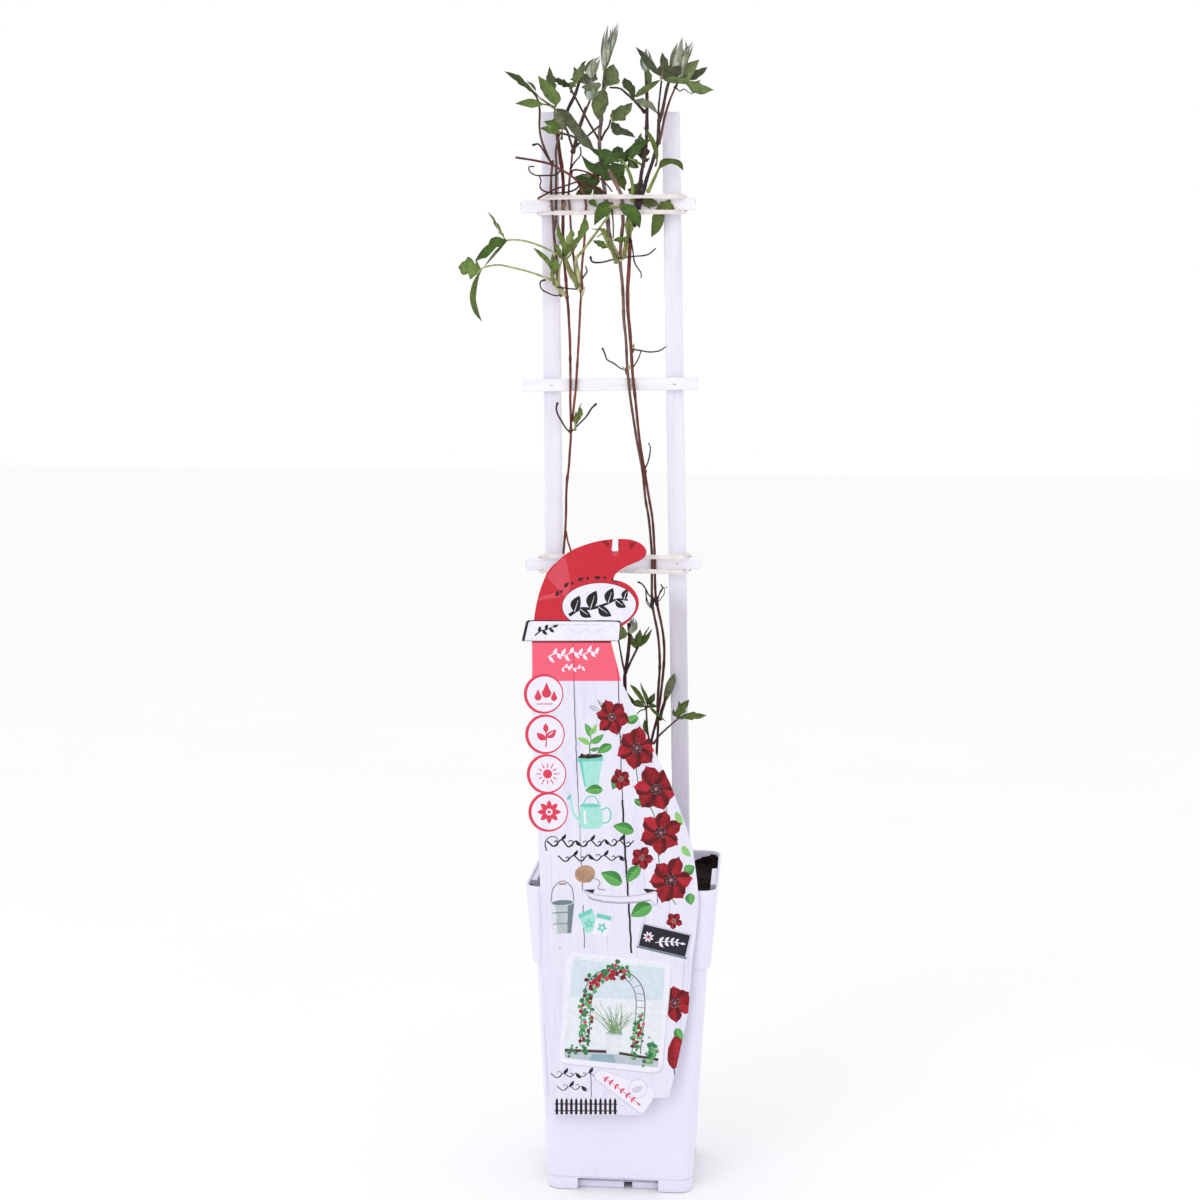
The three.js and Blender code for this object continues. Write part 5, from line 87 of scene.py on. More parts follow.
    "leaf_inner_centre": {"tubes":[[1.24,[[-11.29,-2.9,633.59],[-14.43,-3.01,641.64],[-17.56,-3.1,648.34],[-22.05,-3.2,655.71]]],[0.41,[[-20.66,-3.2,653.02],[-24.66,-4.0,650.26]]],[0.34,[[-22.04,-3.2,655.37],[-28.03,-5.0,655.54]]],[0.69,[[-15.82,-3.0,643.99],[-20.55,-3.6,644.93]]]],"leaves":[[[[-16.83,-3.1,643.3],[-20.5,-4.64,647.54],[-23.82,-5.74,647.92],[-27.46,-7.0,647.68]],[[-16.83,-3.1,643.3],[-20.5,-4.06,642.55],[-24.49,-5.53,644.78],[-27.46,-7.0,647.68]],0.6,0.8,"leaf_bright"]],"hue":"leaf_mid"},
    "bud_inner_right": {"tubes":[[1.03,[[-5.79,-1.1,637.09],[-5.56,-1.25,642.47],[-4.72,-1.4,647.84]]],[0.89,[[-4.72,-1.4,647.84],[-3.41,-1.5,653.21],[-3.12,-1.6,659.25]]]],"leaves":[[[[-4.03,-1.5,647.83],[-7.09,-2.01,650.61],[-11.13,-2.62,650.08],[-14.14,-3.2,648.14]],[[-4.03,-1.5,647.83],[-8.41,-2.14,647.1],[-11.1,-2.61,647.19],[-14.14,-3.2,648.14]],0.5,0.8,"leaf_bright"],[[[-3.04,-1.5,651.2],[-5.44,-1.96,655.18],[-5.79,-2.52,659.83],[-3.55,-3.2,664.47]],[[-3.04,-1.5,651.2],[0.0,-2.04,655.86],[-1.03,-2.68,661.17],[-3.55,-3.2,664.47]],0.6,1.2,"leaf_light"]],"hue":"leaf_light"},
    "shoot_small_left": {"tubes":[[0.65,[[-39.03,0.6,519.33],[-38.61,0.17,523.45],[-37.77,-0.4,528.94]]],[0.34,[[-36.9,-1.0,530.33],[-36.18,-1.76,534.44],[-34.43,-2.4,537.53]]]],"leaves":[[[[-38.3,0.0,522.09],[-40.17,-0.36,526.18],[-38.3,-1.0,532.36]],[[-38.3,0.0,522.09],[-36.58,-0.48,527.59],[-38.3,-1.0,532.36]],0.5,0.8,None],[[[-37.63,0.0,523.46],[-37.57,-1.25,530.32],[-35.09,-2.5,535.48]],[[-37.63,0.0,523.46],[-33.42,-1.5,531.05],[-35.09,-2.5,535.48]],0.6,0.8,None]],"hue":"leaf_mid"},
    "leaf_low_left": {"tubes":[[0.58,[[15.54,-3.8,304.15],[14.28,-4.47,308.09],[13.43,-5.46,314.19],[12.85,-7.08,324.21],[12.7,-8.0,329.92]]],[0.34,[[12.85,-7.8,327.81],[8.48,-9.86,326.63],[5.19,-12.0,323.4]]],[0.69,[[12.15,-7.9,329.06],[15.26,-8.0,329.77]]]],"leaves":[[[[13.19,-8.0,329.24],[7.75,-10.74,335.1],[3.73,-13.68,340.99],[1.41,-16.0,345.77]],[[13.19,-8.0,329.24],[10.49,-10.7,337.23],[5.78,-13.91,343.83],[1.41,-16.0,345.77]],0.5,0.8,None],[[[13.54,-8.0,329.24],[10.75,-9.06,336.31],[9.02,-10.05,341.98],[8.32,-11.0,347.31]],[[13.54,-8.0,329.24],[14.2,-8.93,336.36],[11.08,-9.97,342.01],[8.32,-11.0,347.31]],0.5,0.8,None],[[[13.18,-8.0,329.93],[13.43,-7.27,334.72],[18.5,-6.0,339.17]],[[13.18,-8.0,329.93],[18.63,-7.04,333.39],[18.5,-6.0,339.17]],0.5,0.8,None],[[[13.87,-8.0,329.95],[18.75,-8.26,327.65],[27.18,-9.0,318.87]],[[13.87,-8.0,329.95],[17.4,-8.29,325.18],[27.18,-9.0,318.87]],0.4,0.8,"leaf_bright"],[[[12.5,-8.0,329.22],[8.64,-14.12,335.25],[3.83,-20.0,334.95]],[[12.5,-8.0,329.22],[7.27,-13.22,329.53],[3.83,-20.0,334.95]],0.5,0.8,None],[[[12.5,-8.0,329.22],[6.53,-13.04,333.31],[2.01,-18.95,338.92],[-0.86,-23.0,342.53]],[[12.5,-8.0,329.22],[5.17,-12.77,330.12],[1.28,-17.82,335.97],[-0.86,-23.0,342.53]],0.5,0.8,"leaf_dark"],[[[14.35,-4.4,307.73],[9.97,-5.65,314.14],[11.5,-7.0,321.03]],[[14.35,-4.4,307.73],[13.91,-5.76,315.64],[11.5,-7.0,321.03]],0.3,0.8,"leaf_bright"]],"hue":"leaf_mid"},
    "leaf_low_right_a": {"tubes":[[0.58,[[21.98,1.2,319.65],[23.09,2.67,325.77],[24.39,3.68,329.86],[25.66,5.0,335.32]]]],"leaves":[[[[24.06,3.4,329.19],[24.28,3.97,338.25],[26.93,4.64,346.62],[31.71,5.2,351.55]],[[24.06,3.4,329.19],[27.47,3.76,334.13],[32.16,4.68,345.32],[31.71,5.2,351.55]],0.7,0.8,None]],"hue":"leaf_mid"},
    "leaf_low_right_b": {"tubes":[[0.58,[[17.86,-4.2,303.22],[20.92,-5.46,308.04],[25.09,-6.82,312.55],[29.25,-8.12,316.68],[35.46,-10.0,322.33]]]],"leaves":[[[[34.08,-9.5,321.53],[32.34,-10.69,326.54],[36.12,-12.79,333.18],[42.69,-15.0,336.06]],[[34.08,-9.5,321.53],[38.22,-10.85,324.6],[41.33,-12.57,329.09],[42.69,-15.0,336.06]],0.7,0.8,None],[[[34.08,-9.5,321.53],[40.34,-13.11,326.72],[48.02,-17.47,327.88],[55.01,-22.0,326.28]],[[34.08,-9.5,321.53],[40.39,-12.53,321.43],[48.09,-17.07,322.28],[55.01,-22.0,326.28]],0.7,0.8,None]],"hue":"leaf_mid"},
}
ROWS = [[56.99,-48.86,16.82],[69.05,-49.26,23.14],[69.95,-49.26,33.96],[89.68,-49.88,38.47],[105.83,-50.41,41.65],[127.52,-51.17,46.1],[168.49,-52.53,48.96],[186.45,-53.07,51.07],[205.04,-53.6,52.51],[213.59,-53.97,51.73],[215.25,-54.04,51.56],[220.4,-54.33,50.92],[239.69,-55.78,47.84],[246.13,-56.2,45.49],[251.48,-56.58,43.56],[252.9,-56.7,43.06],[256.28,-60.53,41.85],[261.22,-63.21,40.06],[267.05,-63.41,37.98],[272.07,-61.07,35.92],[275.53,-58.81,34.5],[276.05,-58.9,34.29],[276.44,-58.91,34.14],[276.95,-58.93,33.93],[277.47,-59.01,33.72],[280.88,-62.45,32.29],[285.85,-65.14,29.95],[291.7,-65.34,26.92],[296.74,-62.99,24.31],[300.21,-60.8,22.4],[301.65,-60.91,21.62],[301.78,-60.92,21.55],[301.84,-60.92,21.55],[303.28,-61.04,20.77],[306.7,-64.42,18.87],[311.7,-67.12,16.04],[317.59,-67.32,12.71],[322.66,-64.97,10.35],[326.16,-62.36,8.77],[327.61,-62.47,8.05],[327.87,-62.48,7.98],[328.2,-62.49,7.77],[329.64,-62.61,7.12],[333.09,-66.28,5.33],[338.13,-68.98,2.69],[344.05,-69.19,-0.39],[349.15,-66.83,-3.11],[352.69,-64.01,-4.02],[354.14,-64.12,-4.4],[360.31,-64.33,-5.72],[370.26,-64.74,-8.38],[375.71,-65.06,-10.92],[376.36,-72.02,-5.14],[385.6,-70.0,-4.36],[387.64,-69.58,-1.69],[389.67,-69.17,0.79],[390.25,-64.1,1.52],[392.41,-63.9,3.65],[395.11,-63.64,5.63],[398.47,-63.28,7.05],[401.83,-62.63,7.51],[405.19,-61.99,6.88],[408.87,-61.01,4.94],[412.21,-60.15,2.11],[414.88,-59.42,-1.72],[416.4,-58.78,-5.88],[417.17,-58.46,-10.56],[419.2,-57.49,-10.34],[423.97,-54.89,-6.08],[429.5,-49.55,6.46],[433.6,-45.54,10.95],[437.7,-39.47,11.74],[440.45,-31.97,9.96],[442.49,-27.21,6.82],[443.83,-20.36,-0.43]]
SLOT = [[-25.23,213.08],[-13.81,213.19],[-0.39,213.28],[13.01,213.38],[24.38,213.42],[23.07,210.5],[18.42,207.29],[11.07,205.37],[-0.32,204.36],[-11.73,204.87],[-19.14,206.59],[-23.86,209.55]]

# ------------------------------------------------------------------ camera
F, CX, CY, CZ, YAW, PITCH, ROLL = 2103.556, 89.317, -1445.744, 541.313, 0.07592, 0.09567, 0.00916
def cam_axes():
    f0 = np.array([-math.sin(YAW), math.cos(YAW), 0.0]); r0 = np.array([math.cos(YAW), math.sin(YAW), 0.0]); up = np.array([0, 0, 1.0])
    f2 = f0 * math.cos(PITCH) - up * math.sin(PITCH); u2 = up * math.cos(PITCH) + f0 * math.sin(PITCH)
    r3 = r0 * math.cos(ROLL) + u2 * math.sin(ROLL); u3 = u2 * math.cos(ROLL) - r0 * math.sin(ROLL)
    return r3, u3, f2
R3, U3, F2 = cam_axes()
def ray_to(u, v, Y):
    d = F2 + R3 * (u - 600) / F + U3 * (600 - v) / F
    t = (Y - CY) / d[1]
    return np.array([CX, CY, CZ]) + d * t

# ------------------------------------------------------------------ node helpers
class Mat:
    def __init__(self, name):
        self.m = bpy.data.materials.new(name); self.m.use_nodes = True
        self.nt = self.m.node_tree; self.nt.nodes.clear()
        self.out = self.n("ShaderNodeOutputMaterial")
        self.b = self.n("ShaderNodeBsdfPrincipled")
        self.l(self.b, "BSDF", self.out, "Surface")
        self._tc = None
    def n(self, t, **k):
        x = self.nt.nodes.new(t)
        for a, b in k.items(): setattr(x, a, b)
        return x
    def l(self, a, ao, b, bi):
        self.nt.links.new(a.outputs[ao], b.inputs[bi]); return b
    def obj(self):
        if self._tc is None: self._tc = self.n("ShaderNodeTexCoord")
        return self._tc
    def noise(self, scale, detail=4, rough=0.55, coord="Object", stretch=None, dist=0.0):
        t = self.n("ShaderNodeTexNoise"); t.inputs["Scale"].default_value = scale
        t.inputs["Detail"].default_value = detail; t.inputs["Roughness"].default_value = rough; t.inputs["Distortion"].default_value = dist
        if stretch:
            mp = self.n("ShaderNodeMapping"); mp.inputs["Scale"].default_value = stretch
            self.l(self.obj(), coord, mp, "Vector"); self.l(mp, "Vector", t, "Vector")
        else: self.l(self.obj(), coord, t, "Vector")
        return t
    def ramp(self, src, out, stops, interp="LINEAR"):
        r = self.n("ShaderNodeValToRGB"); r.color_ramp.interpolation = interp
        e = r.color_ramp.elements
        while len(e) > 1: e.remove(e[-1])
        e[0].position, e[0].color = stops[0][0], tuple(stops[0][1]) + (1,)
        for p, c in stops[1:]:
            x = e.new(p); x.color = tuple(c) + (1,)
        self.l(src, out, r, "Fac"); return r
    def mix(self, a, ao, b, bo, fac=None, fo=None, f=0.5, mode="MIX"):
        m = self.n("ShaderNodeMix", data_type="RGBA", blend_type=mode)
        m.inputs["Factor"].default_value = f
        if fac is not None: self.nt.links.new(fac.outputs[fo], m.inputs["Factor"])
        for src, so, idx in ((a, ao, 6), (b, bo, 7)):
            if isinstance(src, (tuple, list)): m.inputs[idx].default_value = tuple(src) + (1,)
            else: self.nt.links.new(src.outputs[so], m.inputs[idx])
        return m
    def math(self, op, a, ao, b=None, bo=None, v=0.0, clamp=False):
        m = self.n("ShaderNodeMath", operation=op); m.use_clamp = clamp
        if a is not None: self.nt.links.new(a.outputs[ao], m.inputs[0])
        if b is not None: self.nt.links.new(b.outputs[bo], m.inputs[1])
        else: m.inputs[1].default_value = v
        return m
    def bump(self, src, out, strength, dist, chain=None):
        b = self.n("ShaderNodeBump"); b.inputs["Strength"].default_value = strength; b.inputs["Distance"].default_value = dist
        self.nt.links.new(src.outputs[out], b.inputs["Height"])
        if chain is not None: self.nt.links.new(chain.outputs["Normal"], b.inputs["Normal"])
        self.nt.links.new(b.outputs["Normal"], self.b.inputs["Normal"])
        return b
    def set(self, **k):
        for a, v in k.items(): self.b.inputs[a.replace("_", " ")].default_value = v
        return self
def lin(r, g, b):
    f = lambda c: (c / 255 / 12.92) if c / 255 <= 0.04045 else ((c / 255 + 0.055) / 1.055) ** 2.4
    return (0.925 * f(r), 0.925 * f(g), 0.925 * f(b))

# ------------------------------------------------------------------ materials
def plastic(name, c, rough=0.38, var=0.03, bump=0.05, scale=60):
    m = Mat(name)
    n = m.noise(scale, 5, 0.6); d = tuple(x * (1 - 2.5 * var) for x in c)
    r = m.ramp(n, "Fac", [(0.3, d), (0.7, c)]); m.l(r, "Color", m.b, "Base Color")
    n2 = m.noise(900, 2, 0.5); m.bump(n2, "Fac", bump, 0.0002)
    r2 = m.ramp(n, "Fac", [(0.25, (rough * 0.85,) * 3), (0.8, (min(1, rough * 1.15),) * 3)]); m.l(r2, "Color", m.b, "Roughness")
    return m
POT_C = lin(237, 234, 254)
m_pot = plastic("pot_white_plastic", POT_C, 0.34, 0.012, 0.06, 25)
m_pot.set(Coat_Weight=0.12, Coat_Roughness=0.25)
def pot_marks(m):
    """moulding line round the foot, faint scuffs above the ground and a few fine specks"""
    sp = m.n("ShaderNodeSeparateXYZ"); m.l(m.obj(), "Object", sp, "Vector")
    def rng(src, o, a, b, c, d):
        r = m.n("ShaderNodeMapRange"); r.clamp = True
        for i, v in ((1, a), (2, b), (3, c), (4, d)): r.inputs[i].default_value = v
        m.nt.links.new(src.outputs[o], r.inputs[0]); return r
    d = m.math("ABSOLUTE", m.math("SUBTRACT", sp, "Z", v=0.0088), 0)
    line = m.math("MULTIPLY", rng(d, 0, 0.00015, 0.0007, 0.34, 0.0), 0, rng(m.noise(90, 3, 0.6), "Fac", 0.35, 0.6, 0.35, 1.0), 0)
    low = rng(sp, "Z", 0.002, 0.034, 1.0, 0.0)
    scuff = m.math("MULTIPLY", rng(m.noise(230, 6, 0.75, stretch=(1, 1, 0.5)), "Fac", 0.56, 0.74, 0.0, 0.30), 0, low, 0)
    speck = rng(m.noise(420, 2, 0.5), "Fac", 0.735, 0.775, 0.0, 0.34)
    f = m.math("MAXIMUM", m.math("MAXIMUM", line, 0, scuff, 0), 0, speck, 0)
    x = m.n("ShaderNodeMix", data_type="RGBA", blend_type="MIX"); m.nt.links.new(m.b.inputs["Base Color"].links[0].from_socket, x.inputs[6])
    x.inputs[7].default_value = lin(118, 106, 104) + (1,); m.nt.links.new(f.outputs[0], x.inputs["Factor"]); m.nt.links.new(x.outputs[2], m.b.inputs["Base Color"])
pot_marks(m_pot)
m_clip = plastic("clip_white_plastic", lin(244, 243, 249), 0.3, 0.01, 0.03, 80)

def wood_white():
    m = Mat("trellis_white_paint")
    g = m.noise(55, 6, 0.62, stretch=(3.0, 3.0, 0.22))
    g2 = m.noise(420, 4, 0.6, stretch=(1.0, 1.0, 0.07))
    r = m.ramp(g, "Fac", [(0.28, lin(234, 229, 245)), (0.5, lin(241, 237, 250)), (0.75, lin(246, 243, 253))])
    r2 = m.ramp(g2, "Fac", [(0.33, lin(226, 221, 233)), (0.5, lin(255, 255, 255))])
    x = m.mix(r, "Color", r2, "Color", f=0.22, mode="MULTIPLY"); m.nt.links.new(x.outputs[2], m.b.inputs["Base Color"])
    # painted shade: the legs darken between about 0.24 m and 0.41 m up, darkest just under 0.41 m, in place of the
    # shadow the label casts on the right leg; the left leg gets the same band
    sp = m.n("ShaderNodeSeparateXYZ"); m.l(m.obj(), "Object", sp, "Vector")
    painted_shade_ramp = m.ramp(m.math("MULTIPLY", sp, "Z", v=1.25), 0, [(0.30, (0.93, 0.92, 0.93)), (0.42, (0.82, 0.81, 0.82)), (0.494, (0.74, 0.73, 0.74)), (0.516, (1, 1, 1))])
    y = m.mix(x, 2, painted_shade_ramp, "Color", f=1.0, mode="MULTIPLY"); m.nt.links.new(y.outputs[2], m.b.inputs["Base Color"])
    b1 = m.bump(g2, "Fac", 0.35, 0.0003); m.bump(g, "Fac", 0.25, 0.0006, b1)
    m.set(Roughness=0.5); return m
m_wood = wood_white()
def wood_white_x():
    m = Mat("rung_white_paint")
    g = m.noise(55, 6, 0.62, stretch=(0.22, 3.0, 3.0))
    g2 = m.noise(420, 4, 0.6, stretch=(0.07, 1.0, 1.0))
    r = m.ramp(g, "Fac", [(0.28, lin(241, 237, 249)), (0.5, lin(249, 246, 254)), (0.75, lin(253, 250, 255))])
    r2 = m.ramp(g2, "Fac", [(0.33, lin(224, 218, 230)), (0.5, lin(255, 255, 255))])
    x = m.mix(r, "Color", r2, "Color", f=0.16, mode="MULTIPLY"); m.nt.links.new(x.outputs[2], m.b.inputs["Base Color"])
    b1 = m.bump(g2, "Fac", 0.35, 0.0003); m.bump(g, "Fac", 0.25, 0.0006, b1)
    m.set(Roughness=0.5); return m
m_rung = wood_white_x()
def steel():
    m = Mat("staple_steel"); n = m.noise(1500, 3)
    r = m.ramp(n, "Fac", [(0.3, lin(150, 148, 146)), (0.7, lin(205, 203, 200))]); m.l(r, "Color", m.b, "Base Color")
    m.bump(n, "Fac", 0.1, 0.0001); m.set(Metallic=1.0, Roughness=0.32); return m
m_steel = steel()
def rubber():
    m = Mat("band_cream_rubber"); n = m.noise(160, 5, 0.6); n2 = m.noise(2500, 2)
    r = m.ramp(n, "Fac", [(0.25, lin(214, 203, 198)), (0.5, lin(236, 227, 225)), (0.8, lin(246, 240, 240))]); m.l(r, "Color", m.b, "Base Color")
    b1 = m.bump(n2, "Fac", 0.25, 0.0001); m.bump(n, "Fac", 0.2, 0.0004, b1)
    m.set(Roughness=0.55, Subsurface_Weight=0.08, Subsurface_Scale=0.0015); return m
m_band = rubber()
def soilmat():
    m = Mat("potting_soil"); n = m.noise(260, 8, 0.7); n2 = m.noise(1400, 5, 0.7)
    r = m.ramp(n, "Fac", [(0.25, lin(7, 4, 3)), (0.45, lin(22, 13, 10)), (0.62, lin(42, 27, 20)), (0.8, lin(80, 56, 42))])
    r2 = m.ramp(n2, "Fac", [(0.3, lin(90, 80, 75)), (0.7, lin(255, 255, 255))])
    x = m.mix(r, "Color", r2, "Color", f=0.7, mode="MULTIPLY"); n3 = m.noise(430, 4, 0.65, stretch=(1, 0.3, 0.55)); r3 = m.ramp(n3, "Fac", [(0.60, (0, 0, 0)), (0.70, (0.75, 0.75, 0.75))])
    y = m.mix(x, 2, lin(112, 68, 42), None, fac=r3, fo="Color"); m.nt.links.new(y.outputs[2], m.b.inputs["Base Color"])
    b1 = m.bump(n2, "Fac", 0.8, 0.0006); m.bump(n, "Fac", 0.8, 0.0018, b1)
    m.set(Roughness=0.95, Specular_IOR_Level=0.2); return m
m_soil = soilmat()
def barkmat():
    m = Mat("stem_bark")
    a = m.n("ShaderNodeVertexColor", layer_name="Col")
    n = m.noise(700, 5, 0.6, stretch=(1, 1, 0.18)); n2 = m.noise(150, 4, 0.6)
    r = m.ramp(n, "Fac", [(0.28, (0.42, 0.40, 0.42)), (0.52, (0.95, 0.93, 0.93)), (0.78, (1.75, 1.6, 1.55))])
    x = m.mix(a, "Color", r, "Color", f=1.0, mode="MULTIPLY")
    r2 = m.ramp(n2, "Fac", [(0.3, (0.72, 0.7, 0.72)), (0.7, (1.2, 1.12, 1.05))])
    y = m.mix(x, 2, r2, "Color", f=0.8, mode="MULTIPLY"); m.nt.links.new(y.outputs[2], m.b.inputs["Base Color"])
    b1 = m.bump(n, "Fac", 0.6, 0.0003); m.bump(n2, "Fac", 0.25, 0.0005, b1)
    m.set(Roughness=0.5, Specular_IOR_Level=0.2, Coat_Weight=0.02, Coat_Roughness=0.35); return m
m_bark = barkmat()
def leafmat(name, rough=0.42, vein=0.8, sheen=0.0, hairy=False):
    m = Mat(name)
    a = m.n("ShaderNodeVertexColor", layer_name="Col")
    uv = m.n("ShaderNodeUVMap", uv_map="UVMap")
    sp = m.n("ShaderNodeSeparateXYZ"); m.l(uv, "UV", sp, "Vector")
    ax = m.math("ABSOLUTE", m.math("SUBTRACT", sp, "Y", v=0.5), 0)          # distance from the midrib, 0..0.5
    s1 = m.math("MULTIPLY", sp, "X", v=8.0); s2 = m.math("MULTIPLY", ax, 0, v=7.0)
    ph = m.math("SUBTRACT", s1, 0, s2, 0); fr = m.math("FRACT", ph, 0)
    d1 = m.math("ABSOLUTE", m.math("SUBTRACT", fr, 0, v=0.5), 0)
    v1 = m.n("ShaderNodeMapRange"); v1.inputs[1].default_value = 0.0; v1.inputs[2].default_value = 0.13; v1.inputs[3].default_value = 1.0; v1.inputs[4].default_value = 0.0
    m.nt.links.new(d1.outputs[0], v1.inputs[0])
    v2 = m.n("ShaderNodeMapRange"); v2.inputs[1].default_value = 0.0; v2.inputs[2].default_value = 0.045; v2.inputs[3].default_value = 1.0; v2.inputs[4].default_value = 0.0
    m.nt.links.new(ax.outputs[0], v2.inputs[0])
    vv = m.math("MAXIMUM", m.math("MULTIPLY", v1, 0, v=0.45), 0, v2, 0)
    n = m.noise(320, 5, 0.6); n2 = m.noise(2200, 3, 0.6)
    r = m.ramp(n, "Fac", [(0.28, (0.52, 0.56, 0.52)), (0.5, (0.94, 0.95, 0.93)), (0.75, (1.38, 1.30, 1.2))] if not hairy else [(0.28, (0.6, 0.58, 0.62)), (0.5, (0.96, 0.94, 0.97)), (0.75, (1.3, 1.27, 1.31))])
    x = m.mix(a, "Color", r, "Color", f=1.0, mode="MULTIPLY")
    vf = m.math("MULTIPLY", vv, 0, v=vein)
    lightc = m.mix(x, 2, (0.30, 0.36, 0.13) if not hairy else (0.46, 0.46, 0.45), None, f=0.34)
    y = m.mix(x, 2, lightc, 2, fac=vf, fo=0); m.nt.links.new(y.outputs[2], m.b.inputs["Base Color"])
    b1 = m.bump(n2, "Fac", 0.35 if not hairy else 0.9, 0.00015 if not hairy else 0.0004)
    inv = m.math("MULTIPLY", vv, 0, v=-1.0); m.bump(inv, 0, 0.55, 0.00035, b1)
    m.set(Roughness=rough, Specular_IOR_Level=0.22, Subsurface_Weight=0.0)
    if sheen: m.set(Sheen_Weight=sheen, Sheen_Roughness=0.4)
    return m
m_leaf = leafmat("leaf_green", 0.46)
m_bud = leafmat("bud_silver", 0.75, 0.25, 0.5, True)

# ------------------------------------------------------------------ mesh helpers
def make(name, verts, faces, mats, fm=None, smooth=True, cols=None, uvs=None, angle=None, slot=None, replaces=(), ride=True):
    me = bpy.data.meshes.new(name)
    me.from_pydata([tuple(float(c) * MM for c in v) for v in verts], [], [tuple(int(i) for i in f) for f in faces])
    me.validate(verbose=False)
    for x in (mats if isinstance(mats, (list, tuple)) else [mats]): me.materials.append(x.m)
    if fm is not None: me.polygons.foreach_set("material_index", np.array(fm, np.int32))
    if smooth: me.polygons.foreach_set("use_smooth", np.ones(len(me.polygons), bool))
    if cols is not None:
        ca = me.color_attributes.new("Col", "FLOAT_COLOR", "POINT")
        c = np.ones((len(verts), 4), np.float32); c[:, :3] = np.array(cols, np.float32); ca.data.foreach_set("color", c.ravel())
    if uvs is not None:
        uvl = me.uv_layers.new(name="UVMap")
        vi = np.zeros(len(me.loops), np.int32); me.loops.foreach_get("vertex_index", vi)
        uvl.data.foreach_set("uv", np.array(uvs, np.float32)[vi].ravel())
    if angle is not None: me.set_sharp_from_angle(angle=math.radians(angle))
    me.update()
    o = bpy.data.objects.new(name, me); bpy.context.scene.collection.objects.link(o)
    if ride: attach(o, "root")
    if replaces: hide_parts(*replaces)
    return o
def smoothline(pts, per=4):
    """Catmull-Rom through the points (centripetal)"""
    P = np.array(pts, float); n = len(P)
    if n == 2: return np.array([P[0] + (P[1] - P[0]) * t for t in np.linspace(0, 1, per + 1)])
    out = []
    for i in range(n - 1):
        p1, p2 = P[i], P[i + 1]
        p0 = P[i - 1] if i > 0 else 2 * p1 - p2
        p3 = P[i + 2] if i + 2 < n else 2 * p2 - p1
        d1, d2, d3 = (max(1e-6, np.linalg.norm(b - a)) ** 0.5 for a, b in ((p0, p1), (p1, p2), (p2, p3)))
        m1 = (p1 - p0) / d1 - (p2 - p0) / (d1 + d2) + (p2 - p1) / d2
        m2 = (p2 - p1) / d2 - (p3 - p1) / (d2 + d3) + (p3 - p2) / d3
        m1 *= d2; m2 *= d2
        for k in range(per):
            t = k / per; t2 = t * t; t3 = t2 * t
            out.append((2 * t3 - 3 * t2 + 1) * p1 + (t3 - 2 * t2 + t) * m1 + (-2 * t3 + 3 * t2) * p2 + (t3 - t2) * m2)
    out.append(P[-1]); return np.array(out)
def resample(P, step):
    d = np.r_[0, np.cumsum(np.linalg.norm(np.diff(P, axis=0), axis=1))]
    n = max(2, int(math.ceil(d[-1] / step)) + 1); s = np.linspace(0, d[-1], n)
    return np.stack([np.interp(s, d, P[:, k]) for k in range(3)], 1), s
class Bag:
    def __init__(self): self.v, self.f, self.c, self.u, self.m = [], [], [], [], []
    def add(self, v, f, c, u=None, m=0):
        o = len(self.v); self.v.extend(v); self.f.extend([tuple(i + o for i in x) for x in f])
        self.c.extend(c if len(c) == len(v) else [c] * len(v)); self.u.extend(u if u is not None else [(0, 0)] * len(v)); self.m.extend([m] * len(f))
def frames(P):
    T = np.gradient(P, axis=0); T /= np.linalg.norm(T, axis=1)[:, None] + 1e-9
    ref = np.array([0, 1.0, 0]) if abs(T[0][1]) < 0.9 else np.array([1.0, 0, 0])
    N = np.zeros_like(P); n = ref - T[0] * (ref @ T[0]); n /= np.linalg.norm(n); N[0] = n
    for i in range(1, len(P)):
        n = N[i - 1] - T[i] * (N[i - 1] @ T[i]); n /= np.linalg.norm(n) + 1e-9; N[i] = n
    return T, N, np.cross(T, N)
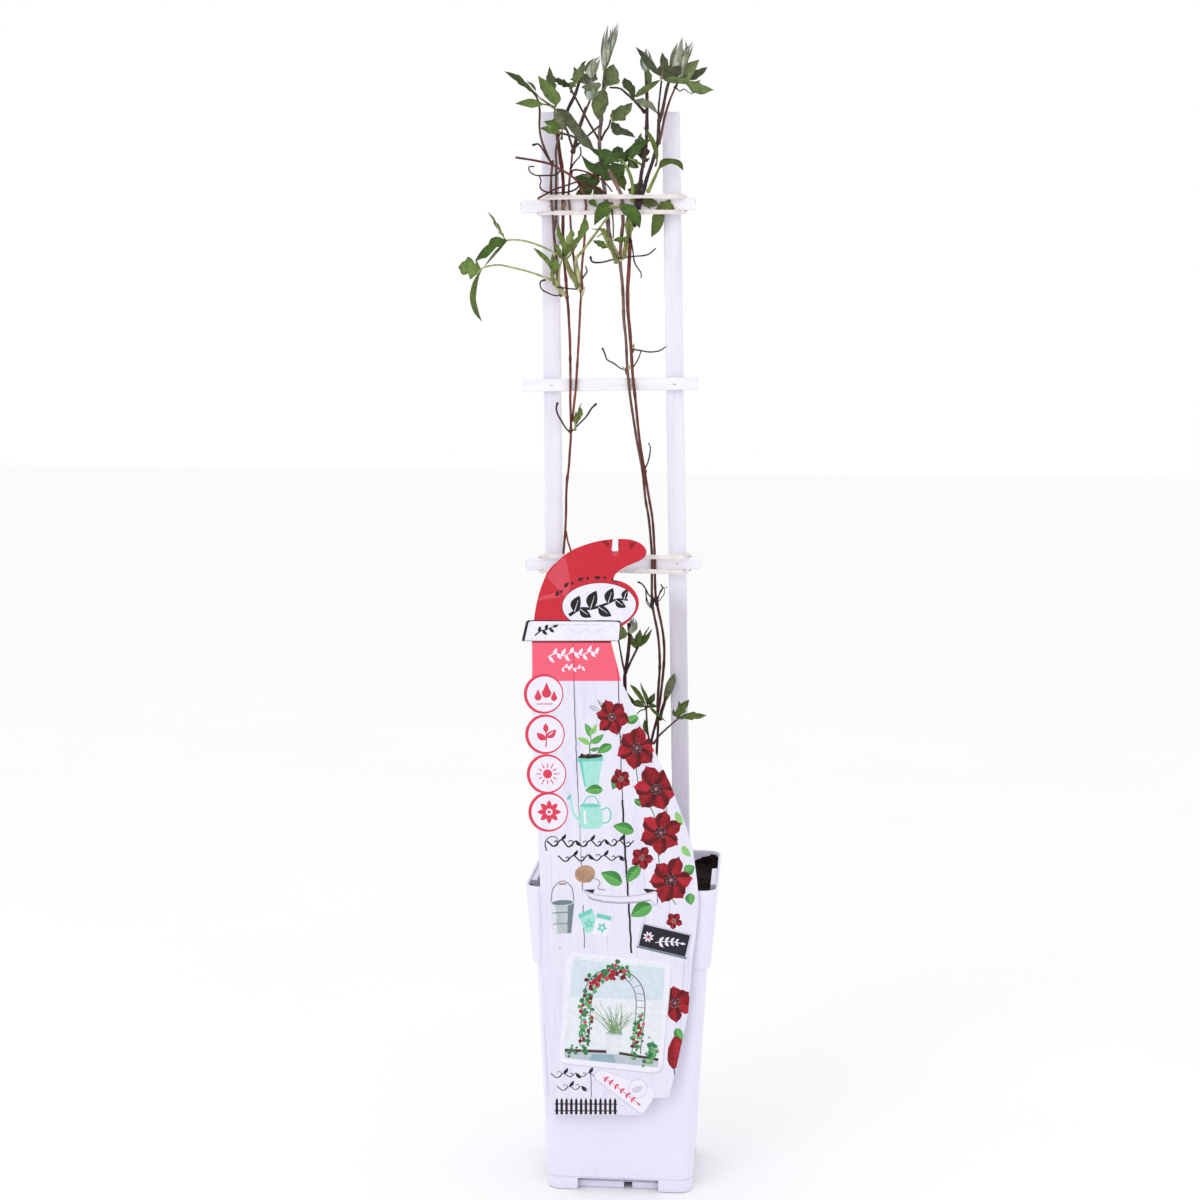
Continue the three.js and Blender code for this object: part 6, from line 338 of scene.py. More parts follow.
def tube(bag, pts, r, col, col2=None, sides=9, step=None, r_end=None, bumps=(), wob=0.06, seed=0, ridges=0.0, cut=False):
    L = smoothline(pts, 5); P, s = resample(L, step or max(0.6, r * 0.9)); T, N, B = frames(P)
    g = np.random.default_rng(seed + 11)
    n = len(P); R = np.full(n, r) if r_end is None else np.linspace(r, r_end, n)
    ph = g.random(4) * 6.28
    R = R * (1 + wob * np.sin(s / 3.1 + ph[0]) + wob * 0.7 * np.sin(s / 1.3 + ph[1]))
    for c0, amp, wd in bumps:
        R = R * (1 + amp * np.exp(-((s - c0 * s[-1]) / wd) ** 2))
    V, C, Fc = [], [], []
    ca = np.array(col); cb = np.array(col2 if col2 is not None else col)
    tone = 1 + 0.14 * np.sin(s / 7.0 + ph[2]) + 0.08 * np.sin(s / 2.1 + ph[3])
    for i in range(n):
        w = i / (n - 1)
        for k in range(sides):
            a = 2 * math.pi * k / sides
            rr = R[i] * (1 + ridges * math.cos(3 * a + s[i] * 0.02))
            V.append(P[i] + (N[i] * math.cos(a) + B[i] * math.sin(a)) * rr)
            # painted light and shade: each ring is up to 16% lighter on one side and 16% darker on the other
            wc = w ** 1.7 if sides == 12 else w; C.append((ca * (1 - wc) + cb * wc) * tone[i] * (1 + 0.16 * math.cos(a - 0.8)))
    for i in range(n - 1):
        for k in range(sides):
            a, b = i * sides + k, i * sides + (k + 1) % sides
            Fc.append((a, b, b + sides, a + sides))
    # rounded ends
    for e, i, sgn in ((0, 0, -1), (1, n - 1, 1)):
        base = len(V); kk = 0.35 if cut else 0.7
        for k in range(sides):
            a = 2 * math.pi * k / sides
            V.append(P[i] + (N[i] * math.cos(a) + B[i] * math.sin(a)) * R[i] * 0.62 + T[i] * sgn * R[i] * kk * 0.8); C.append(ca * .9 if e == 0 else cb * .9)
        V.append(P[i] + T[i] * sgn * R[i] * kk); C.append(ca * .85 if e == 0 else cb * .85)
        for k in range(sides):
            a, b = i * sides + k, i * sides + (k + 1) % sides; c, d = base + k, base + (k + 1) % sides
            Fc.append((b, a, c, d) if e == 0 else (a, b, d, c))
            Fc.append((d, c, base + sides) if e == 0 else (c, d, base + sides))
    bag.add([tuple(x) for x in V], Fc, [tuple(x) for x in C])
def edge_at(E, t):
    d = np.r_[0, np.cumsum(np.linalg.norm(np.diff(E, axis=0), axis=1))]; d /= d[-1]
    return np.stack([np.interp(t, d, E[:, k]) for k in range(3)], 1)
def leaf(bag, A, B, fold, th, col, under, seed, nu=46, nv=14, teeth=0.0, bud=False, curl=0.0, mi=0, wf=1.0):
    g = np.random.default_rng(seed + 101)
    EA, EB = smoothline(A, 6), smoothline(B, 6)
    t = np.linspace(0, 1, nu + 1); t = 0.5 * (1 - np.cos(math.pi * (0.04 + 0.955 * t))); t = (t - t[0]) / (t[-1] - t[0])
    a, b = edge_at(EA, t), edge_at(EB, t)
    ln = np.linalg.norm(np.array(A[0]) - np.array(A[-1]))
    M = (a + b) / 2; side = (b - a) / 2; W = np.linalg.norm(side, axis=1)
    T = np.gradient(M, axis=0); T /= np.linalg.norm(T, axis=1)[:, None] + 1e-9
    up = np.cross(T, side / (W[:, None] + 1e-9)); un = np.linalg.norm(up, axis=1)[:, None]; up = up / (un + 1e-9)
    up[W < 1e-3] = 0
    for i in range(nu + 1):
        if np.linalg.norm(up[i]) < 0.5: up[i] = up[min(nu - 1, i + 1)] if i < nu / 2 else up[i - 1]
    flip = np.sign(up[nu // 2][1]) or 1; up *= flip
    wmin = 0.10 if not bud else 0.2
    W2 = wf * np.maximum(W, wmin * np.sin(np.pi * np.clip(t * 0.9 + 0.08, 0, 1)))
    sd = side / (W[:, None] + 1e-9); sd[W < 1e-3] = sd[min(3, nu)]
    v = np.linspace(-1, 1, nv + 1); nt = int((2 if teeth > 0.42 else 3) + g.integers(0, 2))
    V, C, U = [], [], []
    ph = g.random(6) * 6.28; tooth_r = g.random((8, 2)); lop = 0.52 * (g.random() - 0.5); RIMC = np.array((0.050, 0.042, 0.040))
    half = 0.17 if not bud else th * 0.5
    for sidei in (0, 1):
        for i in range(nu + 1):
            for k in range(nv + 1):
                av = abs(v[k]); tt = t[i]
                tooth = 0.0
                if teeth:
                    x_ = tt * nt + (0.35 if v[k] > 0 else 0); q = x_ % 1.0; big = 0.55 + 0.9 * tooth_r[int(x_) % 8][1 if v[k] > 0 else 0]
                    tooth = teeth * big * ((q / 0.78 if q < 0.78 else (1 - q) / 0.22) - 0.5) * math.sin(math.pi * min(1, 0.08 + tt)) ** 0.6 * av ** 2.6
                p = M[i] + sd[i] * v[k] * W2[i] * (1 + tooth)
                h = fold * math.sin(math.pi * min(1, tt * 1.05)) * (1 - av ** 1.3) * 0.95
                h += 0.10 * W2[i] * math.sin(tt * 9 + ph[0] + v[k] * 1.3) * av ** 2 + 0.04 * W2[i] * math.sin(tt * 17 + ph[1]) * av
                if not bud:
                    vein = (tt * 8 - av * 0.5 * 7) % 1.0; h += 0.10 * math.exp(-((vein - 0.5) / 0.13) ** 2) * (0.3 + W2[i] / 6) * (1 - av * 0.6)
                    h += 0.10 * math.exp(-(av / 0.09) ** 2)
                edge = (1 - av ** 2) ** 0.5 if bud else (0.45 + 0.55 * (1 - av ** 3))
                taper = math.sin(math.pi * min(1.0, 0.12 + 0.86 * tt)) ** 0.5
                off = (h + (half * edge * taper) * (1 if sidei else -1))
                V.append(p + up[i] * off)
                c = np.array(col if sidei == 0 else under)
                c = c * (1 + 0.10 * math.sin(ph[2] + tt * 4 + v[k]) + 0.07 * g.standard_normal() * 0.5)
                c = c * (1.0 + lop * v[k]) * (0.74 + 0.34 * math.sin(math.pi * min(1, tt * 0.95 + 0.04))) * (1 - 0.12 * math.exp(-((av - 0.0) / 0.22) ** 2) * (1 if sidei == 0 else 0))
                ed = (0.62 if mi == 0 else 0.5) * av ** 5; c = c * (1 - ed) + RIMC * ed
                if mi == 0: c = c + (np.array([0.07, 0.09, 0.03])) * max(0, 1 - tt / 0.16) ** 2 * 0.5
                V_ = c; C.append(V_); U.append((tt, 0.5 + 0.5 * v[k]))
    Fc = []; S = (nu + 1) * (nv + 1)
    for i in range(nu):
        for k in range(nv):
            q = i * (nv + 1) + k
            Fc.append((q, q + 1, q + nv + 2, q + nv + 1)); Fc.append((S + q, S + q + nv + 1, S + q + nv + 2, S + q + 1))
    for i in range(nu):
        for k in (0, nv):
            q = i * (nv + 1) + k; a_, b_, c_, d_ = q, q + nv + 1, S + q + nv + 1, S + q
            Fc.append((a_, b_, c_, d_) if k == 0 else (b_, a_, d_, c_))
    for i in (0, nu):
        for k in range(nv):
            q = i * (nv + 1) + k; a_, b_, c_, d_ = q, q + 1, S + q + 1, S + q
            Fc.append((b_, a_, d_, c_) if i == 0 else (a_, b_, c_, d_))
    if flip > 0: pass
    # faces face outwards on either winding
    if np.cross(T[nu // 2], sd[nu // 2]) @ up[nu // 2] > 0: Fc = [tuple(reversed(f)) for f in Fc]
    bag.add([tuple(x) for x in V], Fc, [tuple(np.clip(x, 0.002, 1)) for x in C], U, mi)

# ------------------------------------------------------------------ pot
RIM_Z, RIM_HALF, COLLAR_Z, COLLAR_HALF, BODY_TOP, BODY_LOW, FOOT_Z, WALL, SOIL_Z = 214.27, 65.0, 159.28, 60.54, 57.73, 50.21, 9.0, 1.8, 200.0
def ring(h, c, k=14, flat=6):
    """points of a rounded square, corner radius c, with points along the flats too"""
    c = min(c, h * 0.999); out = []
    for q in range(4):
        sx, sy = [(1, 1), (-1, 1), (-1, -1), (1, -1)][q]
        for j in range(k + 1):
            a = q * math.pi / 2 + j / k * math.pi / 2
            out.append((sx * (h - c) + c * math.cos(a), sy * (h - c) + c * math.sin(a)))
        nx = [(-1, 1), (-1, -1), (1, -1), (1, 1)][q]
        p0 = out[-1]; a1 = (q + 1) % 4 * math.pi / 2; p1 = (nx[0] * (h - c) + c * math.cos(a1), nx[1] * (h - c) + c * math.sin(a1))
        for j in range(1, flat): out.append((p0[0] + (p1[0] - p0[0]) * j / flat, p0[1] + (p1[1] - p0[1]) * j / flat))
    return out
def loft(bag, prof, closed=False, k=14, flat=6, col=(1, 1, 1), warp=None, cap0=False, cap1=False):
    """prof: list of (half, z, corner)"""
    V, Fc = [], []; n = len(ring(10, 2, k, flat))
    for h, z, c in prof:
        for x, y in ring(h, c, k, flat):
            p = (x, y, z); V.append(warp(p) if warp else p)
    m = len(prof)
    for i in range(m if closed else m - 1):
        for j in range(n):
            a, b = i * n + j, i * n + (j + 1) % n; i2 = (i + 1) % m
            Fc.append((a, b, i2 * n + (j + 1) % n, i2 * n + j))
    if cap0: Fc.append(tuple(reversed(range(n))))
    if cap1: Fc.append(tuple((m - 1) * n + j for j in range(n)))
    bag.add(V, Fc, col)
def body_half(z):
    return BODY_LOW + (BODY_TOP - BODY_LOW) * (z - FOOT_Z) / (COLLAR_Z - FOOT_Z) if z < COLLAR_Z else COLLAR_HALF + (RIM_HALF - COLLAR_HALF) * (z - COLLAR_Z) / (RIM_Z - COLLAR_Z)
def build_pot():
    b = Bag()
    def warp(p):
        x, y, z = p
        # the walls bow a little, most in the middle of the tall sides
        s = math.sin(math.pi * min(1, max(0, (z - 10) / 145))) if z < COLLAR_Z - 2 else 0
        bx = 0.35 * s * math.cos(x / 50 * math.pi / 2); by = 0.35 * s * math.cos(y / 50 * math.pi / 2)
        if abs(y) > abs(x): y -= math.copysign(max(0, bx), y)
        else: x -= math.copysign(max(0, by), x)
        # foot edge lifts between the corner lugs
        if z < 5.6 and (abs(x) < 27.5 or abs(y) < 27.5) and max(abs(x), abs(y)) > 46: z = z + 2.8 * min(1.0, (27.7 - min(abs(x), abs(y))) / 1.0)
        return (x, y, z)
    P = [(44.0, 5.0, 8.0), (46.5, 5.0, 8.5), (49.5, 5.0, 10), (49.9, 5.4, 10), (50.0, 8.2, 10), (50.15, 8.9, 10), (50.21, 9.6, 10)]
    for i in range(1, 24): z = 9.6 + (COLLAR_Z - 2.0 - 9.6) * i / 24; P.append((body_half(z), z, 10))
    P += [(57.64, COLLAR_Z - 1.6, 10), (57.72, COLLAR_Z - 0.75, 10), (57.95, COLLAR_Z - 0.32, 10.2), (58.6, COLLAR_Z - 0.12, 10.4), (59.7, COLLAR_Z + 0.02, 10.7), (60.25, COLLAR_Z + 0.22, 10.9), (60.5, COLLAR_Z + 0.7, 11), (60.62, COLLAR_Z + 1.6, 11)]
    for i in range(1, 11): z = COLLAR_Z + 1.6 + (RIM_Z - 6.4 - COLLAR_Z) * i / 11; P.append((body_half(z), z, 11))
    P += [(64.72, RIM_Z - 3.2, 11), (64.95, RIM_Z - 2.4, 11), (65.0, RIM_Z - 1.2, 11), (64.86, RIM_Z - 0.55, 11), (64.5, RIM_Z - 0.14, 10.6), (64.0, RIM_Z, 10.2), (63.55, RIM_Z - 0.14, 9.8), (63.2, RIM_Z - 0.6, 9.4), (63.08, RIM_Z - 1.6, 9.2)]
    for i in range(1, 9): z = RIM_Z - 1.6 - (RIM_Z - 1.6 - SOIL_Z + 16) * i / 8; P.append((body_half(z) - WALL, z, 9.2))
    P += [(COLLAR_HALF - WALL, COLLAR_Z + 2, 8.5), (56.9 - WALL + 0.7, COLLAR_Z - 2, 8.5), (50.6 - WALL, 16, 8.5), (48.4, 12, 8.5), (45.6, 9, 8)]
    loft(b, P, warp=warp)
    # corner lugs of the foot
    for q in range(4):
        sx, sy = [(1, 1), (-1, 1), (-1, -1), (1, -1)][q]
        e0, e1 = 27.6, 27.6
        if sy < 0: e0, e1 = (26.8 if sx > 0 else 28.6), 27.7
        path = []
        def lug(h, c):
            pts = []
            n0 = [(0, 1), (-1, 0), (0, -1), (1, 0)][q]
            base = ring(h, c, 14, 6); seg = base[q * 20:q * 20 + 15]
            first, last = seg[0], seg[-1]
            # run back along both flats to the notch
            if abs(first[0]) > abs(first[1]): A = (first[0], math.copysign(27.7, sy)); B = (math.copysign(e0, sx), last[1])
            else: A = (math.copysign(e0, sx), first[1]); B = (last[0], math.copysign(27.7, sy))
            pre = [(A[0] + (first[0] - A[0]) * t, A[1] + (first[1] - A[1]) * t) for t in (0, .33, .66)]
            post = [(last[0] + (B[0] - last[0]) * t, last[1] + (B[1] - last[1]) * t) for t in (.33, .66, 1)]
            return pre + seg + post
        prof = [(48.3, 5.2, 8.2), (48.1, 0.5, 8.2), (48.4, 0.1, 8.4), (49.2, 0.0, 9.4), (49.75, 0.12, 9.9), (49.98, 0.6, 10), (49.92, 5.4, 10), (50.0, 8.4, 10)]
        V, Fc = [], []
        for h, z, c in prof: V += [(x, y, z) for x, y in lug(h, c)]
        n = len(lug(50, 10)); m = len(prof)
        for i in range(m - 1):
            for j in range(n - 1): Fc.append((i * n + j, i * n + j + 1, (i + 1) * n + j + 1, (i + 1) * n + j))
        Fc.append(tuple(i * n for i in range(m))); Fc.append(tuple(i * n + n - 1 for i in reversed(range(m))))
        b.add(V, Fc, (1, 1, 1))
    # pedestal ring with gaps front and back, central disc
    def ringwall(h0, h1, z0, z1, c0, c1, gap):
        A, B = ring(h0, c0, 10, 24), ring(h1, c1, 10, 24); n = len(A); V, Fc = [], []
        for (x, y), (x2, y2) in zip(A, B): V += [(x, y, z0), (x2, y2, z0), (x, y, z1), (x2, y2, z1)]
        keep = [not (3 < (A[j][0] + A[(j + 1) % n][0]) / 2 < 9.2) for j in range(n)]
        for j in range(n):
            if not keep[j]: continue
            a, c = j * 4, (j + 1) % n * 4
            Fc += [(a, c, c + 2, a + 2), (a + 1, a + 3, c + 3, c + 1), (a, a + 1, c + 1, c), (a + 2, c + 2, c + 3, a + 3)]
            if not keep[j - 1]: Fc.append((a, a + 2, a + 3, a + 1))
            if not keep[(j + 1) % n]: Fc.append((c, c + 1, c + 3, c + 2))
        b.add(V, Fc, (1, 1, 1))
    ringwall(44.0, 42.0, 0.0, 5.4, 9, 7, True)
    V, Fc = [], []; N = 40
    for r, z in ((15.2, 5.3), (15.7, 0.5), (15.3, 0.05), (13.4, 0.0), (12.9, 0.5), (12.9, 1.6), (0.01, 1.6)):
        V += [(r * math.cos(2 * math.pi * k / N), r * math.sin(2 * math.pi * k / N), z) for k in range(N)]
    for i in range(6):
        for k in range(N): Fc.append((i * N + k, (i + 1) * N + k, (i + 1) * N + (k + 1) % N, i * N + (k + 1) % N))
    b.add(V, Fc, (1, 1, 1))
    # floor plate with four drain holes
    outer = ring(46.0, 8.4, 8, 4); holes = [[(cx + 4 * math.cos(-2 * math.pi * k / 24), cy + 4 * math.sin(-2 * math.pi * k / 24)) for k in range(24)] for cx in (-27, 27) for cy in (-27, 27)]
    pts = [Vector(p) for p in outer]; edges = [(i, (i + 1) % len(outer)) for i in range(len(outer))]
    for hl in holes:
        o = len(pts); pts += [Vector(p) for p in hl]; edges += [(o + i, o + (i + 1) % 24) for i in range(24)]
    vv, ee, ff, *_ = delaunay_2d_cdt(pts, edges, [], 0, 1e-6)
    keepf = []
    for f in ff:
        c = sum((vv[i] for i in f), Vector((0, 0))) / len(f)
        if all((c.x - cx) ** 2 + (c.y - cy) ** 2 > 15.5 for cx in (-27, 27) for cy in (-27, 27)): keepf.append(f)
    n = len(vv); V = [(p.x, p.y, 5.0) for p in vv] + [(p.x, p.y, 9.0) for p in vv]
    Fc = [tuple(reversed(f)) for f in keepf] + [tuple(i + n for i in f) for f in keepf]
    for hl_i in range(4):
        o = len(outer) + hl_i * 24
        for i in range(24): a, c = o + i, o + (i + 1) % 24; Fc.append((a, c, c + n, a + n))
    b.add(V, Fc, (1, 1, 1))
    # tie pockets in the left and right walls
    for s in (-1, 1):
        x0, x1 = 57.5, 63.6
        V, Fc = [], []
        def bx(a, y0, z0, c, y1, z1):
            o = len(V); V.extend([(s * X, Y, Z) for X in (a, c) for Y in (y0, y1) for Z in (z0, z1)])
            q = [(0, 1, 3, 2), (4, 6, 7, 5), (0, 4, 5, 1), (2, 3, 7, 6), (0, 2, 6, 4), (1, 5, 7, 3)]
            Fc.extend([tuple(o + i for i in (f if s > 0 else reversed(f))) for f in q])
        bx(59.4, -37, 200.8, 60.4, 12, 212.4); bx(60.3, -37, 211.4, 63.0, 12, 212.6)
        bx(60.3, -37, 200.8, 63.0, -35.8, 211.5); bx(60.3, 10.8, 200.8, 63.0, 12, 211.5)
        for yy in (-24, -12, 0): bx(60.3, yy - 0.5, 201.6, 62.8, yy + 0.5, 211.5)
        b.add(V, Fc, (1, 1, 1))
    o = make("pot_shell", b.v, b.f, m_pot, cols=b.c, angle=38, slot="pot_plastic", replaces=("pot",))
    return o
build_pot()

# ------------------------------------------------------------------ soil
def soil_top(x, y):
    r = max(abs(x), abs(y)) / 56
    bump = 1.5 * math.sin(x * 0.11 + 1.2) * math.cos(y * 0.13 - 0.6) + 1.0 * math.sin(x * 0.29 + y * 0.23)
    return SOIL_Z + bump * max(0, 1.05 - r) + 1.2 * max(0, 1 - r * r)
def hash2(i, j, s=0):
    v = math.sin(i * 127.1 + j * 311.7 + s * 74.7) * 43758.5453; return v - math.floor(v)
def vnoise(x, y, s=0):
    i, j = math.floor(x), math.floor(y); fx, fy = x - i, y - j; fx = fx * fx * (3 - 2 * fx); fy = fy * fy * (3 - 2 * fy)
    return (hash2(i, j, s) * (1 - fx) + hash2(i + 1, j, s) * fx) * (1 - fy) + (hash2(i, j + 1, s) * (1 - fx) + hash2(i + 1, j + 1, s) * fx) * fy
def fbm(x, y, s=0):
    return sum(vnoise(x * 2 ** k, y * 2 ** k, s + k) / 2 ** k for k in range(4)) / 1.875
def build_soil():
    b = Bag(); N = 96; H = body_half(SOIL_Z) - WALL - 0.3; V, Fc, C = [], [], []
    for i in range(N + 1):
        for j in range(N + 1):
            u, v = -1 + 2 * i / N, -1 + 2 * j / N
            # square grid pulled into a rounded square
            x, y = u * H, v * H; cx, cy = abs(x) - (H - 8.5), abs(y) - (H - 8.5)
            if cx > 0 and cy > 0:
                r = max(cx, cy); L = math.hypot(cx, cy); x = math.copysign(H - 8.5 + cx * r / L, x); y = math.copysign(H - 8.5 + cy * r / L, y)
            e = max(abs(x), abs(y)) / H
            z = soil_top(x, y) + (fbm(x / 6, y / 6) - 0.5) * 4.2 + (fbm(x / 1.7 + 9, y / 1.7, 5) - 0.5) * 1.6
            z -= 1.2 * max(0, e - 0.93) / 0.07; w_ = min(1.0, max(0.0, (e - 0.62) / 0.36)) ** 1.5 * min(1.0, max(0.0, (y + 30) / 45)); z += 7.5 * w_ * (0.55 + 0.6 * fbm(x / 14 + 3, y / 14, 7)) * (0.35 + 0.65 * max(0.0, min(1.0, (max(y - 10, abs(x) - 8)) / 35)))
            V.append((x, y, z)); k = 0.7 + 0.6 * fbm(x / 3, y / 3, 3); C.append((k, k, k))
    for i in range(N):
        for j in range(N):
            a = i * (N + 1) + j; Fc.append((a, a + N + 1, a + N + 2, a + 1))
    b.add(V, Fc, C)
    # the sides and the underside follow the pot's inside
    P = []
    for z, g in ((SOIL_Z - 2.5, 0.35), (SOIL_Z - 14, 0.35), (COLLAR_Z + 2.5, 0.45), (COLLAR_Z - 2, 0.5)):
        P.append((body_half(z) - WALL - g if z > COLLAR_Z else 57.6 - WALL - g, z, 8.4))
    P += [(50.6 - WALL - 0.5, 17, 8.4), (48.0, 13, 8.4), (44.8, 9.5, 8), (30, 9.4, 6), (8, 9.4, 3), (0.3, 9.4, 0.1)]
    loft(b, list(reversed(P)), k=6, flat=3, cap0=True)
    # a thin skin of the soil finish up the inside of the walls, with a ragged upper edge, highest on the right
    K = ring(60.0, 9.2, 14, 60); nk = len(K); rows = 9; V, Fc, C = [], [], []
    def top(x, y):
        n = (fbm(x / 7 + 40, y / 7 + 3, 2) - 0.5) * 5.5 + (fbm(x / 1.6, y / 1.6 + 8, 4) - 0.5) * 2.2
        if x > 54: z = 211.6 - 3.2 * max(0.0, min(1.0, (-y - 20) / 30)); n *= 0.5
        elif x < -54: z = 208.4 + 3.0 * max(0.0, min(1.0, (-y - 30) / 14)); n *= 0.8
        elif y > 54: z = 204.4 + 7.2 * max(0.0, min(1.0, (x - 36) / 20)) + 3.0 * max(0.0, min(1.0, (-x - 40) / 16))
        else: z = 203.5 + 6.0 * max(0.0, min(1.0, (-x - 46) / 10))
        return min(212.9, z + n)
    for side in (0, 1):
        for x, y in K:
            zt = top(x, y)
            for j in range(rows + 1):
                z = 196.0 + (zt - 196.0) * j / rows; e = 0.14 if side == 0 else 0.14 + (0.42 + 0.5 * fbm(x / 2.2 + z, y / 2.2 + z, 9)) * (1 - 0.85 * (j / rows) ** 3)
                k = (body_half(z) - WALL - e) / 60.0; V.append((x * k, y * k, z)); t = 0.5 + 0.5 * fbm(x / 4 + z / 3, y / 4, 12); C.append((t, t * 0.95, t * 0.92))
    S_ = nk * (rows + 1)
    for i in range(nk):
        a, b_ = i * (rows + 1), ((i + 1) % nk) * (rows + 1)
        for j in range(rows):
            Fc.append((a + j, b_ + j, b_ + j + 1, a + j + 1)); Fc.append((S_ + a + j, S_ + a + j + 1, S_ + b_ + j + 1, S_ + b_ + j))
        Fc.append((a, S_ + a, S_ + b_, b_)); Fc.append((a + rows, b_ + rows, S_ + b_ + rows, S_ + a + rows))
    b.add(V, Fc, C)
    # crumbs, bark chips and fibres lying on the surface
    g = np.random.default_rng(21)
    def crumb(x, y, z, r, kind):
        base = []; n1 = 5; n2 = 7; ax = g.random(3) * 6.28
        sc = (r * (0.7 + g.random() * .6), r * (0.6 + g.random() * .5), r * (0.45 + g.random() * .4)) if kind == 0 else (r * 2.2, r * (0.7 + g.random() * .4), r * 0.28)
        rot = Matrix.Rotation(ax[0], 3, "Z") @ Matrix.Rotation((ax[1] - 3.14) * (0.3 if kind else 0.5), 3, "X") @ Matrix.Rotation((ax[2] - 3.14) * 0.15, 3, "Y")
        Vc, F2 = [], []
        for i in range(n1):
            th = math.pi * (i + 0.5) / n1
            for j in range(n2):
                a = 2 * math.pi * (j + 0.5 * (i % 2)) / n2; k = 0.72 + 0.5 * g.random()
                p = rot @ Vector((sc[0] * math.sin(th) * math.cos(a) * k, sc[1] * math.sin(th) * math.sin(a) * k, sc[2] * math.cos(th)))
                Vc.append((x + p.x, y + p.y, z + p.z))
        for i in range(n1 - 1):
            for j in range(n2): F2.append((i * n2 + j, (i + 1) * n2 + j, (i + 1) * n2 + (j + 1) % n2, i * n2 + (j + 1) % n2))
        F2.append(tuple(reversed(range(n2)))[::-1]); F2.append(tuple((n1 - 1) * n2 + j for j in range(n2))[::-1])
        t = (0.35 + g.random() * 1.1) if kind == 0 else (1.0 + g.random() * 1.4); tint = (t, t * (0.86 + g.random() * .1), t * (0.72 + g.random() * .15))
        b.add(Vc, F2, tint)
    for _ in range(620):
        x, y = (g.random(2) * 2 - 1) * (H - 2.2)
        if abs(x) > H - 6 and abs(y) > H - 6: continue
        r = 0.45 + 1.5 * g.random() ** 2.2; crumb(x, y, soil_top(x, y) + 0.2 + (fbm(x / 6, y / 6) - 0.5) * 4.2, r, 1 if g.random() < 0.22 else 0)
    # dry crumbs stuck to the inner wall above the soil, mostly at the back right
    for _ in range(90):
        back = g.random() < 0.65
        if back: x = 15 + g.random() * 42 if g.random() < .7 else -55 + 100 * g.random(); z = 201 + 10 * g.random() ** 1.8; y = body_half(z) - WALL - 0.25
        else: y = -20 + 70 * g.random(); z = 201 + 8 * g.random() ** 2; x = (body_half(z) - WALL - 0.3) * (1 if g.random() < .6 else -1)
        if not back and y < 13 and z > 199: continue
        crumb(x, y, z, 0.25 + 0.55 * g.random() ** 2, 0)
    for _ in range(46):
        x, y = (g.random(2) * 2 - 1) * (H - 7); a = g.random() * 6.28; L = 3 + 9 * g.random(); z = soil_top(x, y) + 1.2
        pts = [(x + math.cos(a + 0.5 * t * (g.random() - .5)) * L * t, y + math.sin(a) * L * t, z + 0.8 * math.sin(t * 3.1) - 0.6 * t) for t in (0, .33, .66, 1)]
        pts = [(max(-H + 1.5, min(H - 1.5, p[0])), max(-H + 1.5, min(H - 1.5, p[1])), p[2]) for p in pts]
        tube(b, pts, 0.16 + 0.12 * g.random(), (1.5, 1.2, 0.9), sides=5, step=1.2, seed=int(g.integers(999)))
    make("soil_surface", b.v, b.f, m_soil, cols=b.c, slot="soil", replaces=("soil",))
build_soil()

